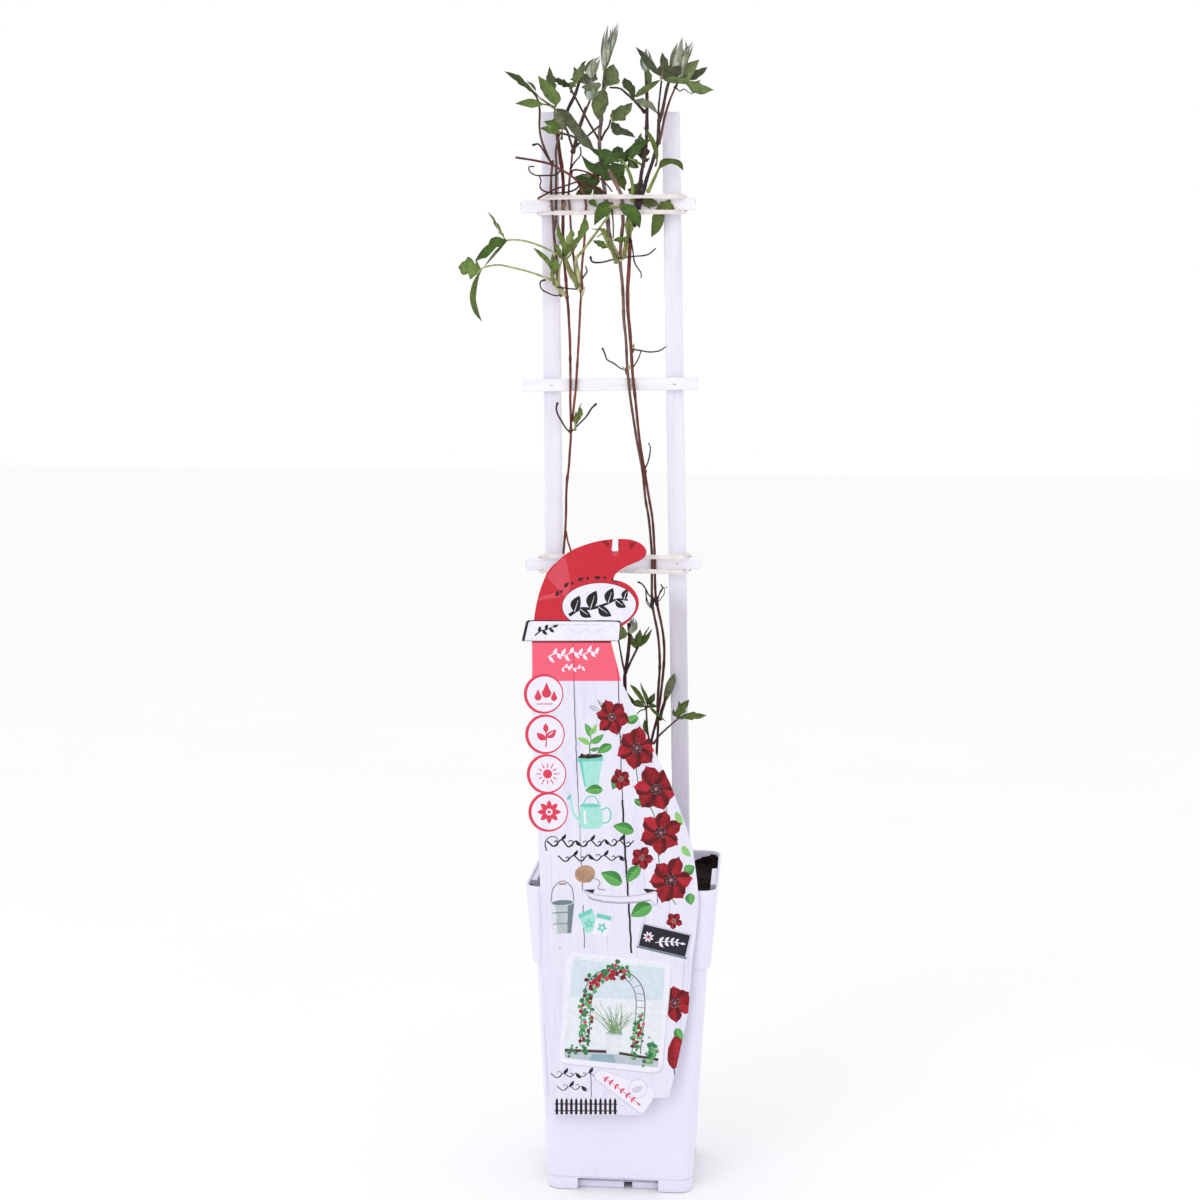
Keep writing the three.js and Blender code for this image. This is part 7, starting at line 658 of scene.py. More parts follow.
# ------------------------------------------------------------------ trellis
def slat(name, p, q, w, t, mat, node, seed, slot="trellis_wood"):
    b = Bag(); g = np.random.default_rng(seed); p, q = np.array(p, float), np.array(q, float)
    vertical = abs(q[2] - p[2]) > abs(q[0] - p[0]); L = np.linalg.norm(q - p); n = int(L / 3.5)
    a, c = w / 2, t / 2; r = 0.75; sec = []
    for sx, sy, a0 in ((1, 1, 0), (-1, 1, 90), (-1, -1, 180), (1, -1, 270)):
        for k in range(4):
            an = math.radians(a0 + 30 * k); sec.append((sx * (a - r) + r * math.cos(an), sy * (c - r) + r * math.sin(an)))
        nx = {(1, 1): (-1, 1), (-1, 1): (-1, -1), (-1, -1): (1, -1), (1, -1): (1, 1)}[(sx, sy)]
        e0 = sec[-1]; an = math.radians(a0 + 90); e1 = (nx[0] * (a - r) + r * math.cos(an), nx[1] * (c - r) + r * math.sin(an))
        for k in (1, 2, 3): sec.append((e0[0] + (e1[0] - e0[0]) * k / 4, e0[1] + (e1[1] - e0[1]) * k / 4))
    m = len(sec); V, Fc = [], []; ph = g.random(8) * 6.28
    zs = list(np.linspace(0, 1, n + 1)); zs = [0.0, 0.35 / L] + zs[1:-1] + [1 - 0.35 / L, 1.0]
    for i, f in enumerate(zs):
        k = 0.93 if i in (0, len(zs) - 1) else 1.0; s = f * L
        for j, (u, v) in enumerate(sec):
            d = 0.05 * math.sin(s / 9 + ph[0] + j * 0.9) + 0.04 * math.sin(s / 3.7 + ph[1] + j * 2.2) + 0.03 * math.sin(s / 1.9 + j * 4.4 + ph[2])
            uu, vv = u * k * (1 + d / a), v * k + d * (1 if v > 0 else -1) * 0.7
            cpt = p + (q - p) * f
            e = 0.25 * math.sin(u * 1.9 + ph[3]) * (1 if i == len(zs) - 1 else -1) if i in (0, len(zs) - 1) else 0
            if vertical: V.append((cpt[0] + uu, cpt[1] + vv, cpt[2] + e))
            else: V.append((cpt[0] + e, cpt[1] + vv, cpt[2] + uu))
    M_ = len(zs)
    for i in range(M_ - 1):
        for j in range(m):
            f = (i * m + j, i * m + (j + 1) % m, (i + 1) * m + (j + 1) % m, (i + 1) * m + j); Fc.append(f if vertical else tuple(reversed(f)))
    f0 = tuple(reversed(range(m))); f1 = tuple((M_ - 1) * m + j for j in range(m))
    Fc += [f0, f1] if vertical else [tuple(reversed(f0)), tuple(reversed(f1))]
    b.add(V, Fc, (1, 1, 1))
    make(name, b.v, b.f, mat, cols=b.c, angle=40, slot=slot, replaces=(node,))
def leg_x(leg, z): x0, x1 = leg; return x0 + (x1 - x0) * (z - 165) / 568.6
LL, LR = (-49.0, -59.1), (39.3, 24.0)
for nm, lg, sd in (("trellis_leg_left", LL, 3), ("trellis_leg_right", LR, 4)):
    slat(nm + "_wood", (leg_x(lg, 158.0), 10.8, 158.0), (leg_x(lg, 735.5), 10.8, 735.5), 12.0, 5.0, m_wood, nm, sd)
RUNGS = {"rung_top": ((-77.9, 671.3), (41.5, 673.6)), "rung_middle": ((-76.2, 549.5), (45.5, 552.0)), "rung_lower": ((-72.7, 426.0), (48.6, 428.5))}
for i, (nm, (p, q)) in enumerate(RUNGS.items()):
    slat(nm + "_wood", (p[0], 6.0, p[1]), (q[0], 6.0, q[1]), 8.7, 4.0, m_rung, nm, 10 + i)
# staples: flattened wire, crown on the face of the rung
for rn in ("top", "middle", "lower"):
    for sd in ("left", "right"):
        node = f"staple_{rn}_{sd}"; lo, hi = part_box(node); lo, hi = np.array(lo) * 1000, np.array(hi) * 1000
        b = Bag(); r = 0.36; dx, dz = hi[0] - lo[0], hi[2] - lo[2]
        y0, y1 = lo[1] + r, hi[1] - 0.2
        if dx >= dz: pts = [(lo[0] + r, y1, (lo[2] + hi[2]) / 2), (lo[0] + r, y0 + 0.5, (lo[2] + hi[2]) / 2), (lo[0] + r + 0.5, y0, (lo[2] + hi[2]) / 2), (hi[0] - r - 0.5, y0, (lo[2] + hi[2]) / 2), (hi[0] - r, y0 + 0.5, (lo[2] + hi[2]) / 2), (hi[0] - r, y1, (lo[2] + hi[2]) / 2)]
        else: pts = [((lo[0] + hi[0]) / 2, y1, lo[2] + r), ((lo[0] + hi[0]) / 2, y0 + 0.5, lo[2] + r), ((lo[0] + hi[0]) / 2, y0, lo[2] + r + 0.5), ((lo[0] + hi[0]) / 2, y0, hi[2] - r - 0.5), ((lo[0] + hi[0]) / 2, y0 + 0.5, hi[2] - r), ((lo[0] + hi[0]) / 2, y1, hi[2] - r)]
        tube(b, pts, r, (1, 1, 1), sides=8, step=0.35, wob=0.01, seed=3)
        make(node + "_wire", b.v, b.f, m_steel, cols=b.c, slot="staple_wire", replaces=(node,))

# ------------------------------------------------------------------ rubber bands
def band_pts(xl, xr, zl, painted_shade_ramp, upl, upr, lol, lor):
    def end(x, d, zc, up, lo):
        top = [(x - 12 * d, -0.35, up, 0, 1), (x - 5 * d, 1, up + .3, .2 * d, 1), (x - 2.2 * d, 5.5, zc + 5.9, .45 * d, .9), (x - d, 8.7, zc + 4.8, .8 * d, .6), (x - .6 * d, 9.35, zc, d, 0)]
        bot = [(x - d, 8.7, zc - 4.8, .8 * d, -.6), (x - 2.2 * d, 5.5, zc - 5.9, .45 * d, -.9), (x - 5 * d, 1, lo - .3, .2 * d, -1), (x - 12 * d, -0.35, lo, 0, -1)]
        return top + bot
    L = end(xl, -1, zl, upl, lol); R = end(xr, 1, painted_shade_ramp, upr, lor)
    return L[::-1] + [((xl + xr) / 2, -0.35, (upl + upr) / 2, 0, 1)] + R + [((xl + xr) / 2, -0.35, (lol + lor) / 2, 0, -1)]
def build_band(name, args, node, seed):
    C = np.array(band_pts(*args), float); n = len(C); per = 14; out = []
    for i in range(n):
        p0, p1, p2, p3 = C[i - 1], C[i], C[(i + 1) % n], C[(i + 2) % n]
        for k in range(per):
            t = k / per; out.append(0.5 * ((2 * p1) + (-p0 + p2) * t + (2 * p0 - 5 * p1 + 4 * p2 - p3) * t * t + (-p0 + 3 * p1 - 3 * p2 + p3) * t ** 3))
    P = np.array(out); N = len(P); g = np.random.default_rng(seed)
    T = np.roll(P[:, :3], -1, 0) - np.roll(P[:, :3], 1, 0); T /= np.linalg.norm(T, axis=1)[:, None]
    s = np.r_[0, np.cumsum(np.linalg.norm(np.diff(P[:, :3], axis=0), axis=1))]; ph = g.random(4) * 6.28
    sec = []; a, c, r = 1.6, 0.42, 0.32
    for q, (sx, sy, a0) in enumerate(((1, 1, 0), (-1, 1, 90), (-1, -1, 180), (1, -1, 270))):
        for k in range(3): an = math.radians(a0 + 45 * k); sec.append((sx * (a - r) + r * math.cos(an), sy * (c - r) + r * math.sin(an)))
        sec.append([(0, c), (-a, 0), (0, -c), (a, 0)][q])
    m = len(sec); V, Fc = [], []
    for i in range(N):
        o = np.array([P[i, 3], 0, P[i, 4]]); o -= T[i] * (o @ T[i]); l = np.linalg.norm(o); o = o / l if l > 1e-6 else np.array([0, 0, 1.0])
        w = np.cross(T[i], o)
        fr = min(1.0, max(0.0, (3.2 - P[i, 1]) / 3.4)); fr = fr * fr * (3 - 2 * fr)
        tw = fr * (1.5 + 0.42 * math.sin(s[i] / 19 + ph[0]) + 0.30 * math.sin(s[i] / 8.5 + ph[1])) * (1 if P[i, 4] > 0 else -1) + 0.1 * math.sin(s[i] / 9)
        o2, w2 = o * math.cos(tw) + w * math.sin(tw), w * math.cos(tw) - o * math.sin(tw)
        k = 1 + 0.05 * math.sin(s[i] / 8 + ph[2])
        for u, v in sec: V.append(P[i, :3] + w2 * u * k + o2 * v)
    for i in range(N):
        for j in range(m):
            a_, b_ = i * m + j, i * m + (j + 1) % m; i2 = (i + 1) % N; Fc.append((a_, b_, i2 * m + (j + 1) % m, i2 * m + j))
    o = make(name, [tuple(v) for v in V], Fc, m_band, angle=60, slot="band_rubber", replaces=(node,))
    bpy.context.view_layer.update(); return o
build_band("rubber_band_top_strap", (-67.2, 36.0, 671.6, 673.4, 677.2, 677.9, 666.6, 667.5), "rubber_band_top", 5)
build_band("rubber_band_lower_strap", (-64.6, 42.2, 426.2, 428.4, 432.0, 432.8, 422.4, 422.6), "rubber_band_lower", 6)

# ------------------------------------------------------------------ stems
MAROON, BROWN, DARK, PINKGREY = lin(104, 44, 38), lin(112, 78, 64), lin(58, 40, 46), lin(140, 104, 98)
GREEN_STALK, CREAM_STALK, TENDRIL, PURPLE = lin(104, 118, 74), lin(150, 148, 104), lin(74, 42, 44), lin(62, 46, 58)
STEM_COL = {
    "stem_left_main": (lin(124, 64, 50), lin(110, 54, 50)), "stem_left_outer": (lin(116, 84, 80), lin(112, 94, 86)),
    "stem_left_inner": (lin(136, 78, 62), lin(110, 80, 78)), "stem_left_crossing": (lin(150, 86, 80), lin(92, 46, 44)),
    "stem_dark_top": (lin(64, 50, 50), lin(84, 72, 68)), "stem_right_main": (lin(72, 18, 16), lin(148, 120, 112)),
    "stem_right_second": (lin(62, 16, 16), lin(140, 78, 68)), "stem_centre": (lin(134, 116, 120), lin(120, 118, 112)),
    "stem_right_tall": (lin(66, 46, 50), lin(88, 70, 72)), "stem_right_outer": (lin(60, 44, 48), lin(80, 66, 66)),
}
# pale swollen stalk bases clasping the nodes: (points in the picture plane, radii, depth offset, base colour, end colour)
OLIVE, CREAM, PALE = lin(146, 162, 86), lin(208, 206, 164), lin(174, 186, 138)
SHEATHS = {
    "stem_left_main": [([(567.3, 301), (567.0, 297), (566.5, 293)], (0.8, 1.5, 0.9), 0.0, lin(104, 58, 54), lin(122, 76, 72)), ([(570.6, 433.5), (570.4, 430.5), (570.6, 427.5)], (0.8, 1.35, 0.8), 0.0, lin(96, 58, 50), lin(104, 66, 58))],
    "stem_left_outer": [([(566.0, 296), (562.4, 292.5), (557.6, 286), (553.6, 279.4), (550.8, 273.5)], (1.1, 2.4, 2.2, 1.6, 0.9), -1.2, CREAM, OLIVE), ([(559.6, 289), (558.8, 280), (559.5, 270), (562, 258.5)], (0.8, 0.75, 0.7, 0.6), -0.4, OLIVE, PALE)],
    "stem_left_inner": [([(579.6, 289), (575, 281), (570, 272.5), (566.5, 264), (564, 256.5)], (1.5, 2.1, 1.7, 1.2, 1.0), -1.6, CREAM, OLIVE), ([(579, 289.5), (578, 280), (577.2, 271), (575.8, 261)], (1.4, 2.0, 1.9, 1.4), -0.6, CREAM, PALE),
        ([(581.4, 297), (583, 291), (584.8, 287)], (0.8, 1.3, 0.35), -0.8, PALE, CREAM), ([(582.4, 283), (582.0, 287), (581.4, 290.5), (581.0, 296)], (0.72, 1.2, 1.15, 0.8), -0.1, lin(124, 74, 68), lin(112, 66, 58))],
    "stem_right_main": [([(626.8, 374.5), (626.6, 371), (626.2, 367.5)], (0.75, 1.35, 0.8), 0.0, lin(92, 60, 58), lin(112, 80, 76)), ([(627.6, 370.6), (629.2, 367.6), (629.6, 365)], (0.5, 0.9, 0.25), -0.5, CREAM, PALE), ([(625.2, 370.6), (623.4, 368.4), (622.4, 366)], (0.5, 0.8, 0.25), -0.5, CREAM, PALE), ([(620, 261), (614.6, 252), (609, 242), (603.4, 230)], (1.5, 2.6, 2.3, 1.9), -1.4, CREAM, OLIVE), ([(622.4, 259.5), (624.6, 251), (626.2, 244.5), (625.4, 237.5)], (1.0, 1.9, 1.7, 1.3), -1.0, CREAM, OLIVE), ([(651.8, 608.5), (652, 604), (652.4, 600), (651.8, 595.5)], (0.9, 1.6, 1.6, 0.85), -0.2, lin(44, 28, 30), lin(52, 38, 38))],
    "stem_right_second": [([(632.8, 352.5), (632.6, 349), (632.3, 345.5)], (0.75, 1.25, 0.75), 0.0, lin(96, 60, 54), lin(112, 70, 62)), ([(632.6, 350), (633.6, 346.6), (633.9, 343.4)], (0.6, 0.95, 0.25), -0.6, CREAM, OLIVE), ([(645.3, 475), (645.1, 471.5), (644.8, 468)], (0.8, 1.25, 0.8), 0.0, lin(84, 44, 42), lin(100, 58, 54)), ([(629.6, 240), (628.8, 232), (629.6, 226), (627.4, 218)], (1.1, 2.3, 2.0, 1.1), -0.8, lin(140, 122, 84), lin(124, 122, 76)), ([(657.8, 607.5), (656.8, 603.5), (655.9, 600), (655.2, 596.5)], (0.85, 1.5, 1.5, 0.8), -0.2, lin(48, 32, 32), lin(58, 42, 40))],
}
TENDRILS = {
    "stem_right_main": [(0.42, [(651, 608), (648, 605), (646.4, 602), (646, 597.5), (646.3, 592)])],
    "stem_right_second": [(0.42, [(655.8, 598.5), (658.5, 596), (660, 591.5), (662, 588.8), (664, 587.8)]), (0.40, [(658.4, 601.6), (661.5, 598), (663.8, 594.5), (664.6, 591), (664, 588)]),
        (0.32, [(664, 588), (662.6, 586.8), (661.3, 585)]), (0.32, [(664, 588), (666, 587.7), (667.6, 586.6)])],
}
def project(P):
    d = np.asarray(P, float) - np.array([CX, CY, CZ]); w = d @ F2
    return np.stack([600 + F * (d @ R3) / w, 600 - F * (d @ U3) / w], -1)
ALLP = np.array([p for parts in STEMS.values() for r, pts in parts for p in resample(smoothline(pts, 4), 1.5)[0]]); ALLUV = project(ALLP)
def stem_depth(u, v):
    d = np.hypot(ALLUV[:, 0] - u, ALLUV[:, 1] - v); k = np.argsort(d)[:3]; return float(np.mean(ALLP[k, 1]))
def sheath(bag, px, radii, off, c0, c1):
    y0 = stem_depth(*px[0]); pts = [ray_to(u, v, y0 + off * (0.25 + 0.75 * i / (len(px) - 1))) for i, (u, v) in enumerate(px)]
    L = smoothline(pts, 8); P, s = resample(L, 0.45); T, N, B = frames(P); n = len(P); sides = 14
    R = 0.9 * np.interp(np.linspace(0, 1, n), np.linspace(0, 1, len(radii)), radii); V, C, Fc = [], [], []; a0, b0 = np.array(c0), np.array(c1)
    for i in range(n):
        w = i / (n - 1)
        for k in range(sides):
            a = 2 * math.pi * k / sides; rr = R[i] * (1 + 0.09 * math.cos(5 * a + 0.3 * s[i]) + 0.04 * math.sin(9 * a + s[i]))
            V.append(P[i] + N[i] * math.cos(a) * rr * 0.72 + B[i] * math.sin(a) * rr)
            streak = 0.86 + 0.24 * (0.5 + 0.5 * math.cos(5 * a + 0.3 * s[i])); C.append((a0 * (1 - w) ** 1.6 + b0 * (1 - (1 - w) ** 1.6)) * streak)
    for i in range(n - 1):
        for k in range(sides): Fc.append((i * sides + k, i * sides + (k + 1) % sides, (i + 1) * sides + (k + 1) % sides, (i + 1) * sides + k))
    for i, sg in ((0, -1), (n - 1, 1)):
        base = len(V)
        for q, f in ((0.75, 0.35), (0.35, 0.6)):
            for k in range(sides): a = 2 * math.pi * k / sides; V.append(P[i] + (N[i] * math.cos(a) * 0.72 + B[i] * math.sin(a)) * R[i] * q + T[i] * sg * R[i] * f); C.append((a0 if i == 0 else b0) * 0.9)
        V.append(P[i] + T[i] * sg * R[i] * 0.68); C.append((a0 if i == 0 else b0) * 0.85); prev = i * sides
        for st in (base, base + sides):
            for k in range(sides): f = (prev + k, prev + (k + 1) % sides, st + (k + 1) % sides, st + k); Fc.append(f if sg > 0 else tuple(reversed(f)))
            prev = st
        for k in range(sides): f = (prev + k, prev + (k + 1) % sides, base + 2 * sides); Fc.append(f if sg > 0 else tuple(reversed(f)))
    bag.add([tuple(x) for x in V], Fc, [tuple(x) for x in C])
def stem_bumps(pts, k): return []
for nm, parts in STEMS.items():
    b = Bag(); c0, c1 = STEM_COL[nm]; g = np.random.default_rng(sum(map(ord, nm)))
    for i, (r, pts) in enumerate(parts):
        P = np.array(pts); L = np.linalg.norm(np.diff(P, axis=0), axis=1).sum()
        main = i == 0 or L > 90
        vm = project(np.array(pts)).mean(0)[1]
        if nm == "stem_left_outer" and i == 0: r *= 0.8
        elif L < 260 and vm < 262: r = min(1.55, r * (1.42 if r >= 0.8 else (1.28 if r >= 0.6 else 1.12)))
        if main:
            nn = int(L // 62); bumps = [((k + 0.5 + 0.3 * (g.random() - .5)) / max(1, nn), 0.22, 1.8) for k in range(nn)]
            if L >= 260: bumps = bumps + [(1.0, 0.62, L * 0.2)]; r *= 1.22 if "right" in nm else 1.12
            tube(b, pts, r * 1.0, c0, c1, sides=12, step=0.8, bumps=bumps, wob=0.05, seed=i + len(nm), ridges=0.05, r_end=r * 0.85)
        else:
            thin = r < 0.6
            cc = np.array(c0) * (0.75 if thin else 1.0); uv = project(np.array(pts)).mean(0)
            if nm == "stem_left_crossing": cc = np.array(lin(96, 42, 40)) * (0.8 + 0.4 * g.random())
            if uv[1] < 162 and not thin: cc = np.array(lin(84, 64, 56)) * (0.8 + 0.5 * g.random())
            if 570 < uv[1] < 620: cc = np.array(lin(48, 34, 38))
            if nm == "stem_left_main" and i == 4: cc = np.array(lin(136, 116, 88))
            if thin and not 570 < uv[1] < 620: cc = np.array(lin(66, 38, 42)) * (0.8 + 0.4 * g.random())
            tube(b, pts, r * (1.3 if thin else 1.0), cc, np.array(cc) * (0.9 if thin else 1.05), sides=9, step=0.6, wob=0.05, seed=i * 7 + len(nm), r_end=r * (0.95 if thin else 0.8), bumps=[(0.0, 0.35, 1.4)])
    for q in SHEATHS.get(nm, ()):
        sheath(b, *q)
    for r, px in TENDRILS.get(nm, ()):
        y0 = stem_depth(*px[0]); tube(b, [ray_to(u, v, y0 - 0.5 * math.sin(math.pi * k / (len(px) - 1))) for k, (u, v) in enumerate(px)], r, np.array(lin(46, 32, 36)), np.array(lin(92, 80, 92)), sides=8, step=0.5, wob=0.08, seed=len(px), r_end=r * 0.6)
    make(nm + "_bark", b.v, b.f, m_bark, cols=b.c, slot="stem_bark", replaces=(nm,))

# ------------------------------------------------------------------ foliage
HUES = {
    "leaf_mid": (lin(94, 114, 50), lin(134, 148, 98)), "leaf_big": (lin(60, 88, 34), lin(112, 134, 84)),
    "leaf_bright": (lin(74, 106, 34), lin(122, 144, 78)), "leaf_dark": (lin(64, 76, 38), lin(92, 104, 66)),
    "leaf_light": (lin(122, 138, 74), lin(148, 160, 108)), "leaf_grey": (lin(112, 120, 92), lin(136, 144, 118)),
    "bud_silver": (lin(168, 174, 156), lin(176, 174, 176)),
}
SLOT_OF = {"leaf_mid": "leaf_green", "leaf_big": "leaf_green", "leaf_bright": "leaf_green", "leaf_dark": "leaf_dark_green", "leaf_light": "leaf_light_green", "leaf_grey": "leaf_grey_green", "bud_silver": "bud_silver"}
BRIGHT = {"leaf_upper_left": 1.35, "leaf_top_left": 1.0, "leaf_centre_hanging": 1.2, "leaf_centre_pair": 1.2, "leaf_right_of_centre": 1.12, "leaf_right_top": 1.22, "leaf_left_low": 1.35, "leaf_hanging_left": 1.25, "leaf_left_small": 1.25, "leaf_inner_left": 1.15, "leaf_folded_long": 0.72, "leaf_right_folded": 0.66, "leaf_hanging_far_left": 0.78, "leaf_low_left": 0.8, "leaf_low_right_a": 0.95, "leaf_low_right_b": 0.85, "shoot_lower": 0.8, "leaf_mid_pair": 0.82, "leaf_under_right": 0.85, "leaf_right_narrow": 0.8}
HUE_OF = {("bud_right_top", 2): "leaf_light", ("bud_right_top", 3): "leaf_dark", ("leaf_upper_left", 0): "leaf_dark", ("leaf_upper_left", 3): "leaf_dark", ("leaf_hanging_far_left", 1): "leaf_bright", ("leaf_left_low", 0): "leaf_bright", ("leaf_right_top", 3): "leaf_mid", ("leaf_right_top", 0): "leaf_dark", ("leaf_centre_pair", 1): "leaf_dark", ("leaf_hanging_far_left", 2): "leaf_grey", ("leaf_right_of_centre", 2): "leaf_grey", ("leaf_centre_hanging", 1): "leaf_mid", ("leaf_folded_long", 1): "leaf_grey", ("bud_upper_left", 1): "leaf_grey", ("bud_upper_left", 3): "leaf_grey", ("leaf_low_right_a", 0): "leaf_grey", ("leaf_mid_right", 0): "leaf_mid", ("leaf_mid_left", 0): "leaf_big", ("leaf_right_top", 1): "leaf_dark"}
WIDTH = {"leaf_low_right_b": 0.82, "leaf_low_left": 0.84, "shoot_lower": 1.15, "leaf_left_small": 0.85, "leaf_top_left": 0.85, "leaf_big_left": 0.96, "leaf_right_of_centre": 0.92, "leaf_inner_left": 0.72}
TUBE_OF = {("shoot_lower", 0): (1.4, lin(54, 26, 28)), ("shoot_lower", 1): (1.0, lin(92, 56, 58)), ("shoot_lower", 2): (1.25, lin(62, 32, 34)), ("leaf_right_of_centre", 0): (1.5, lin(76, 58, 52)), ("leaf_right_of_centre", 1): (1.4, lin(70, 54, 50)), ("bud_right_top", 0): (1.1, lin(92, 62, 58)), ("bud_right_top", 2): (1.3, lin(122, 84, 74)), ("leaf_low_right_a", 0): (1.7, lin(66, 38, 38)), ("leaf_big_left", 0): (1.5, lin(136, 160, 90)), ("leaf_right_folded", 0): (1.4, lin(150, 160, 88)), ("leaf_upper_left", 0): (1.15, lin(98, 84, 64)), ("leaf_right_top", 0): (1.1, lin(120, 104, 78))}
TEETH_OF = {("leaf_mid_pair", 0): 0.06, ("leaf_mid_pair", 1): 0.08, ("leaf_under_right", 2): 0.06, ("leaf_hanging_left", 1): 0.08, ("leaf_hanging_left", 0): 0.7, ("leaf_right_folded", 0): 0.08, ("leaf_upper_left", 1): 0.10, ("leaf_upper_left", 2): 0.12, ("leaf_low_right_a", 0): 0.08, ("leaf_right_narrow", 0): 0.08, ("bud_right_top", 2): 0.12, ("leaf_right_of_centre", 1): 0.2, ("leaf_centre_hanging", 0): 0.15, ("leaf_hanging_far_left", 2): 0.05, ("leaf_left_small", 0): 0.1}
LOBED = {"leaf_hanging_far_left": 0.8, "shoot_lower": 0.2, "leaf_low_left": 0.12, "leaf_low_right_b": 0.4, "leaf_low_right_a": 0.15, "leaf_folded_long": 0.08, "leaf_upper_left": 0.32, "leaf_top_left": 0.6, "leaf_right_top": 0.5, "leaf_big_left": 0.5, "leaf_big_right": 0.6, "leaf_centre_pair": 0.5, "leaf_hanging_left": 0.4, "leaf_under_right": 0.6, "leaf_mid_pair": 0.5}
def bud_fan(bag, A, B, top, und, seed):
    """a shoot tip: narrow silky leaflets standing round each other, inside the outline of the two edges"""
    g = np.random.default_rng(seed + 5); EA, EB = smoothline(A, 6), smoothline(B, 6)
    base = (EA[0] + EB[0]) / 2; W = np.linalg.norm(edge_at(EA, [0.5])[0] - edge_at(EB, [0.5])[0]); L = np.linalg.norm(EA[-1] - EA[0])
    side = edge_at(EB, [0.5])[0] - edge_at(EA, [0.5])[0]; side /= np.linalg.norm(side) + 1e-9
    # (where the tip ends along the outline, from edge A at 0 to edge B at 1; how far out; depth; width share)
    tips = [(0.42, 1.0, 0.0, 0.46), (0.08, 0.86, 0.9, 0.40), (0.94, 0.92, 0.7, 0.40), (0.68, 0.74, -0.9, 0.42), (0.34, 0.62, -1.5, 0.46), (0.84, 0.5, -0.3, 0.30)]
    if W < 3.0: tips = tips[:4]
    for j, (x, t, dy, ws) in enumerate(tips):
        ea, eb = edge_at(EA, [t * 0.97])[0], edge_at(EB, [t * 0.97])[0]; tip = ea * (1 - x) + eb * x
        ms = []
        for tt in (0.2, 0.45, 0.7):
            q = t * tt; a_, b_ = edge_at(EA, [q])[0], edge_at(EB, [q])[0]; xx = 0.5 + (x - 0.5) * (0.55 + 0.45 * tt); c = a_ * (1 - xx) + b_ * xx
            c = c + np.array([0, dy * 0.8 * math.sin(math.pi * tt) + dy * 0.35, 0]); ms.append((c, tt))
        w = max(0.55, W * ws * 0.5) * (0.9 + 0.25 * g.random())
        tip = tip + np.array([0, dy * 0.5, 0])
        Aa = [base] + [c - side * w * (0.75, 1.0, 0.62)[k] for k, (c, _) in enumerate(ms)] + [tip]
        Bb = [base] + [c + side * w * (0.75, 1.0, 0.62)[k] for k, (c, _) in enumerate(ms)] + [tip]
        # painted shade and light: leaflets set further back are darker, those in front lighter
        k1 = (0.92, 0.84, 1.0, 1.12, 1.34, 1.0)[j] * (0.94 + 0.14 * g.random()); green = j in (1, 3)
        tc = np.array(lin(142, 154, 118) if green else top) * k1; uc = np.array(und) * k1
        leaf(bag, Aa, Bb, -w * 0.5 if dy <= 0 else w * 0.4, 0.5, tc, uc, seed=seed + j, nu=20, nv=8, bud=False, teeth=0.05, mi=1)
LOBES = {
    "shoot_lower": [((637.2, 648), (640.4, 629.4), 6.2, "leaf_mid", -0.7, 0.06), ((634.6, 645.5), (630.8, 633), 4.6, "leaf_mid", -0.5, -0.06), ((637.8, 647.4), (652.2, 628.6), 5.2, "leaf_bright", -0.8, 0.05), ((639, 643), (646.6, 629.6), 3.0, "leaf_mid", -0.6, 0.06)],
    "leaf_low_right_b": [((677.6, 718), (678.8, 700.4), 6.0, "leaf_mid", -0.9, 0.10), ((675.6, 716.6), (673.4, 708.6), 3.4, "leaf_mid", 0.6, -0.1), ((683.4, 717.6), (693.2, 711.8), 4.4, "leaf_light", -1.0, 0.12)],
    "leaf_big_left": [((611, 164), (612.8, 149.6), 6.6, "leaf_big", 0.9, 0.05), ((617.5, 163), (621.4, 177), 8.5, "leaf_big", 1.0, 0.05), ((603, 166), (590.5, 177.5), 9.5, "leaf_dark", 1.3, -0.1), ((607.4, 169), (616.8, 191), 4.6, "leaf_light", -0.9, -0.12)],
    "leaf_big_right": [((620.5, 163.5), (650.5, 140.2), 10.5, "leaf_big", 1.2, -0.06), ((628, 161), (637, 168.5), 5.0, "leaf_grey", 1.0, 0.1), ((630, 158), (640.2, 136.5), 5.4, "leaf_big", 1.0, 0.08)],
    "leaf_upper_left": [((536, 91), (526.4, 81), 3.0, "leaf_dark", -0.7, 0.1), ((548, 96), (539.8, 88), 4.2, "leaf_dark", 0.9, 0.1)],
    "leaf_top_left": [((576, 74), (573.4, 66.8), 3.8, "leaf_mid", 0.6, 0.1), ((581, 69), (586.4, 60.4), 3.2, "leaf_dark", 0.6, -0.1)],
    "leaf_right_top": [((668, 80), (684, 76), 4.2, "leaf_mid", -0.8, 0.1), ((690, 84), (701, 79.5), 3.4, "leaf_mid", 0.7, 0.1)],
    "leaf_low_left": [((646.4, 704), (653.6, 693.6), 5.0, "leaf_dark", -0.8, 0.05), ((649, 703.5), (657.6, 706.4), 4.4, "leaf_dark", -0.4, 0.1)],
    "leaf_mid_left": [((590, 182), (583.4, 194), 6.0, "leaf_mid", 0.8, 0.1), ((594, 178), (580.2, 175.6), 5.0, "leaf_grey", -0.7, 0.1)],
    "leaf_mid_right": [((634, 192), (628.4, 193.4), 4.0, "leaf_grey", 0.5, 0.0)],
}
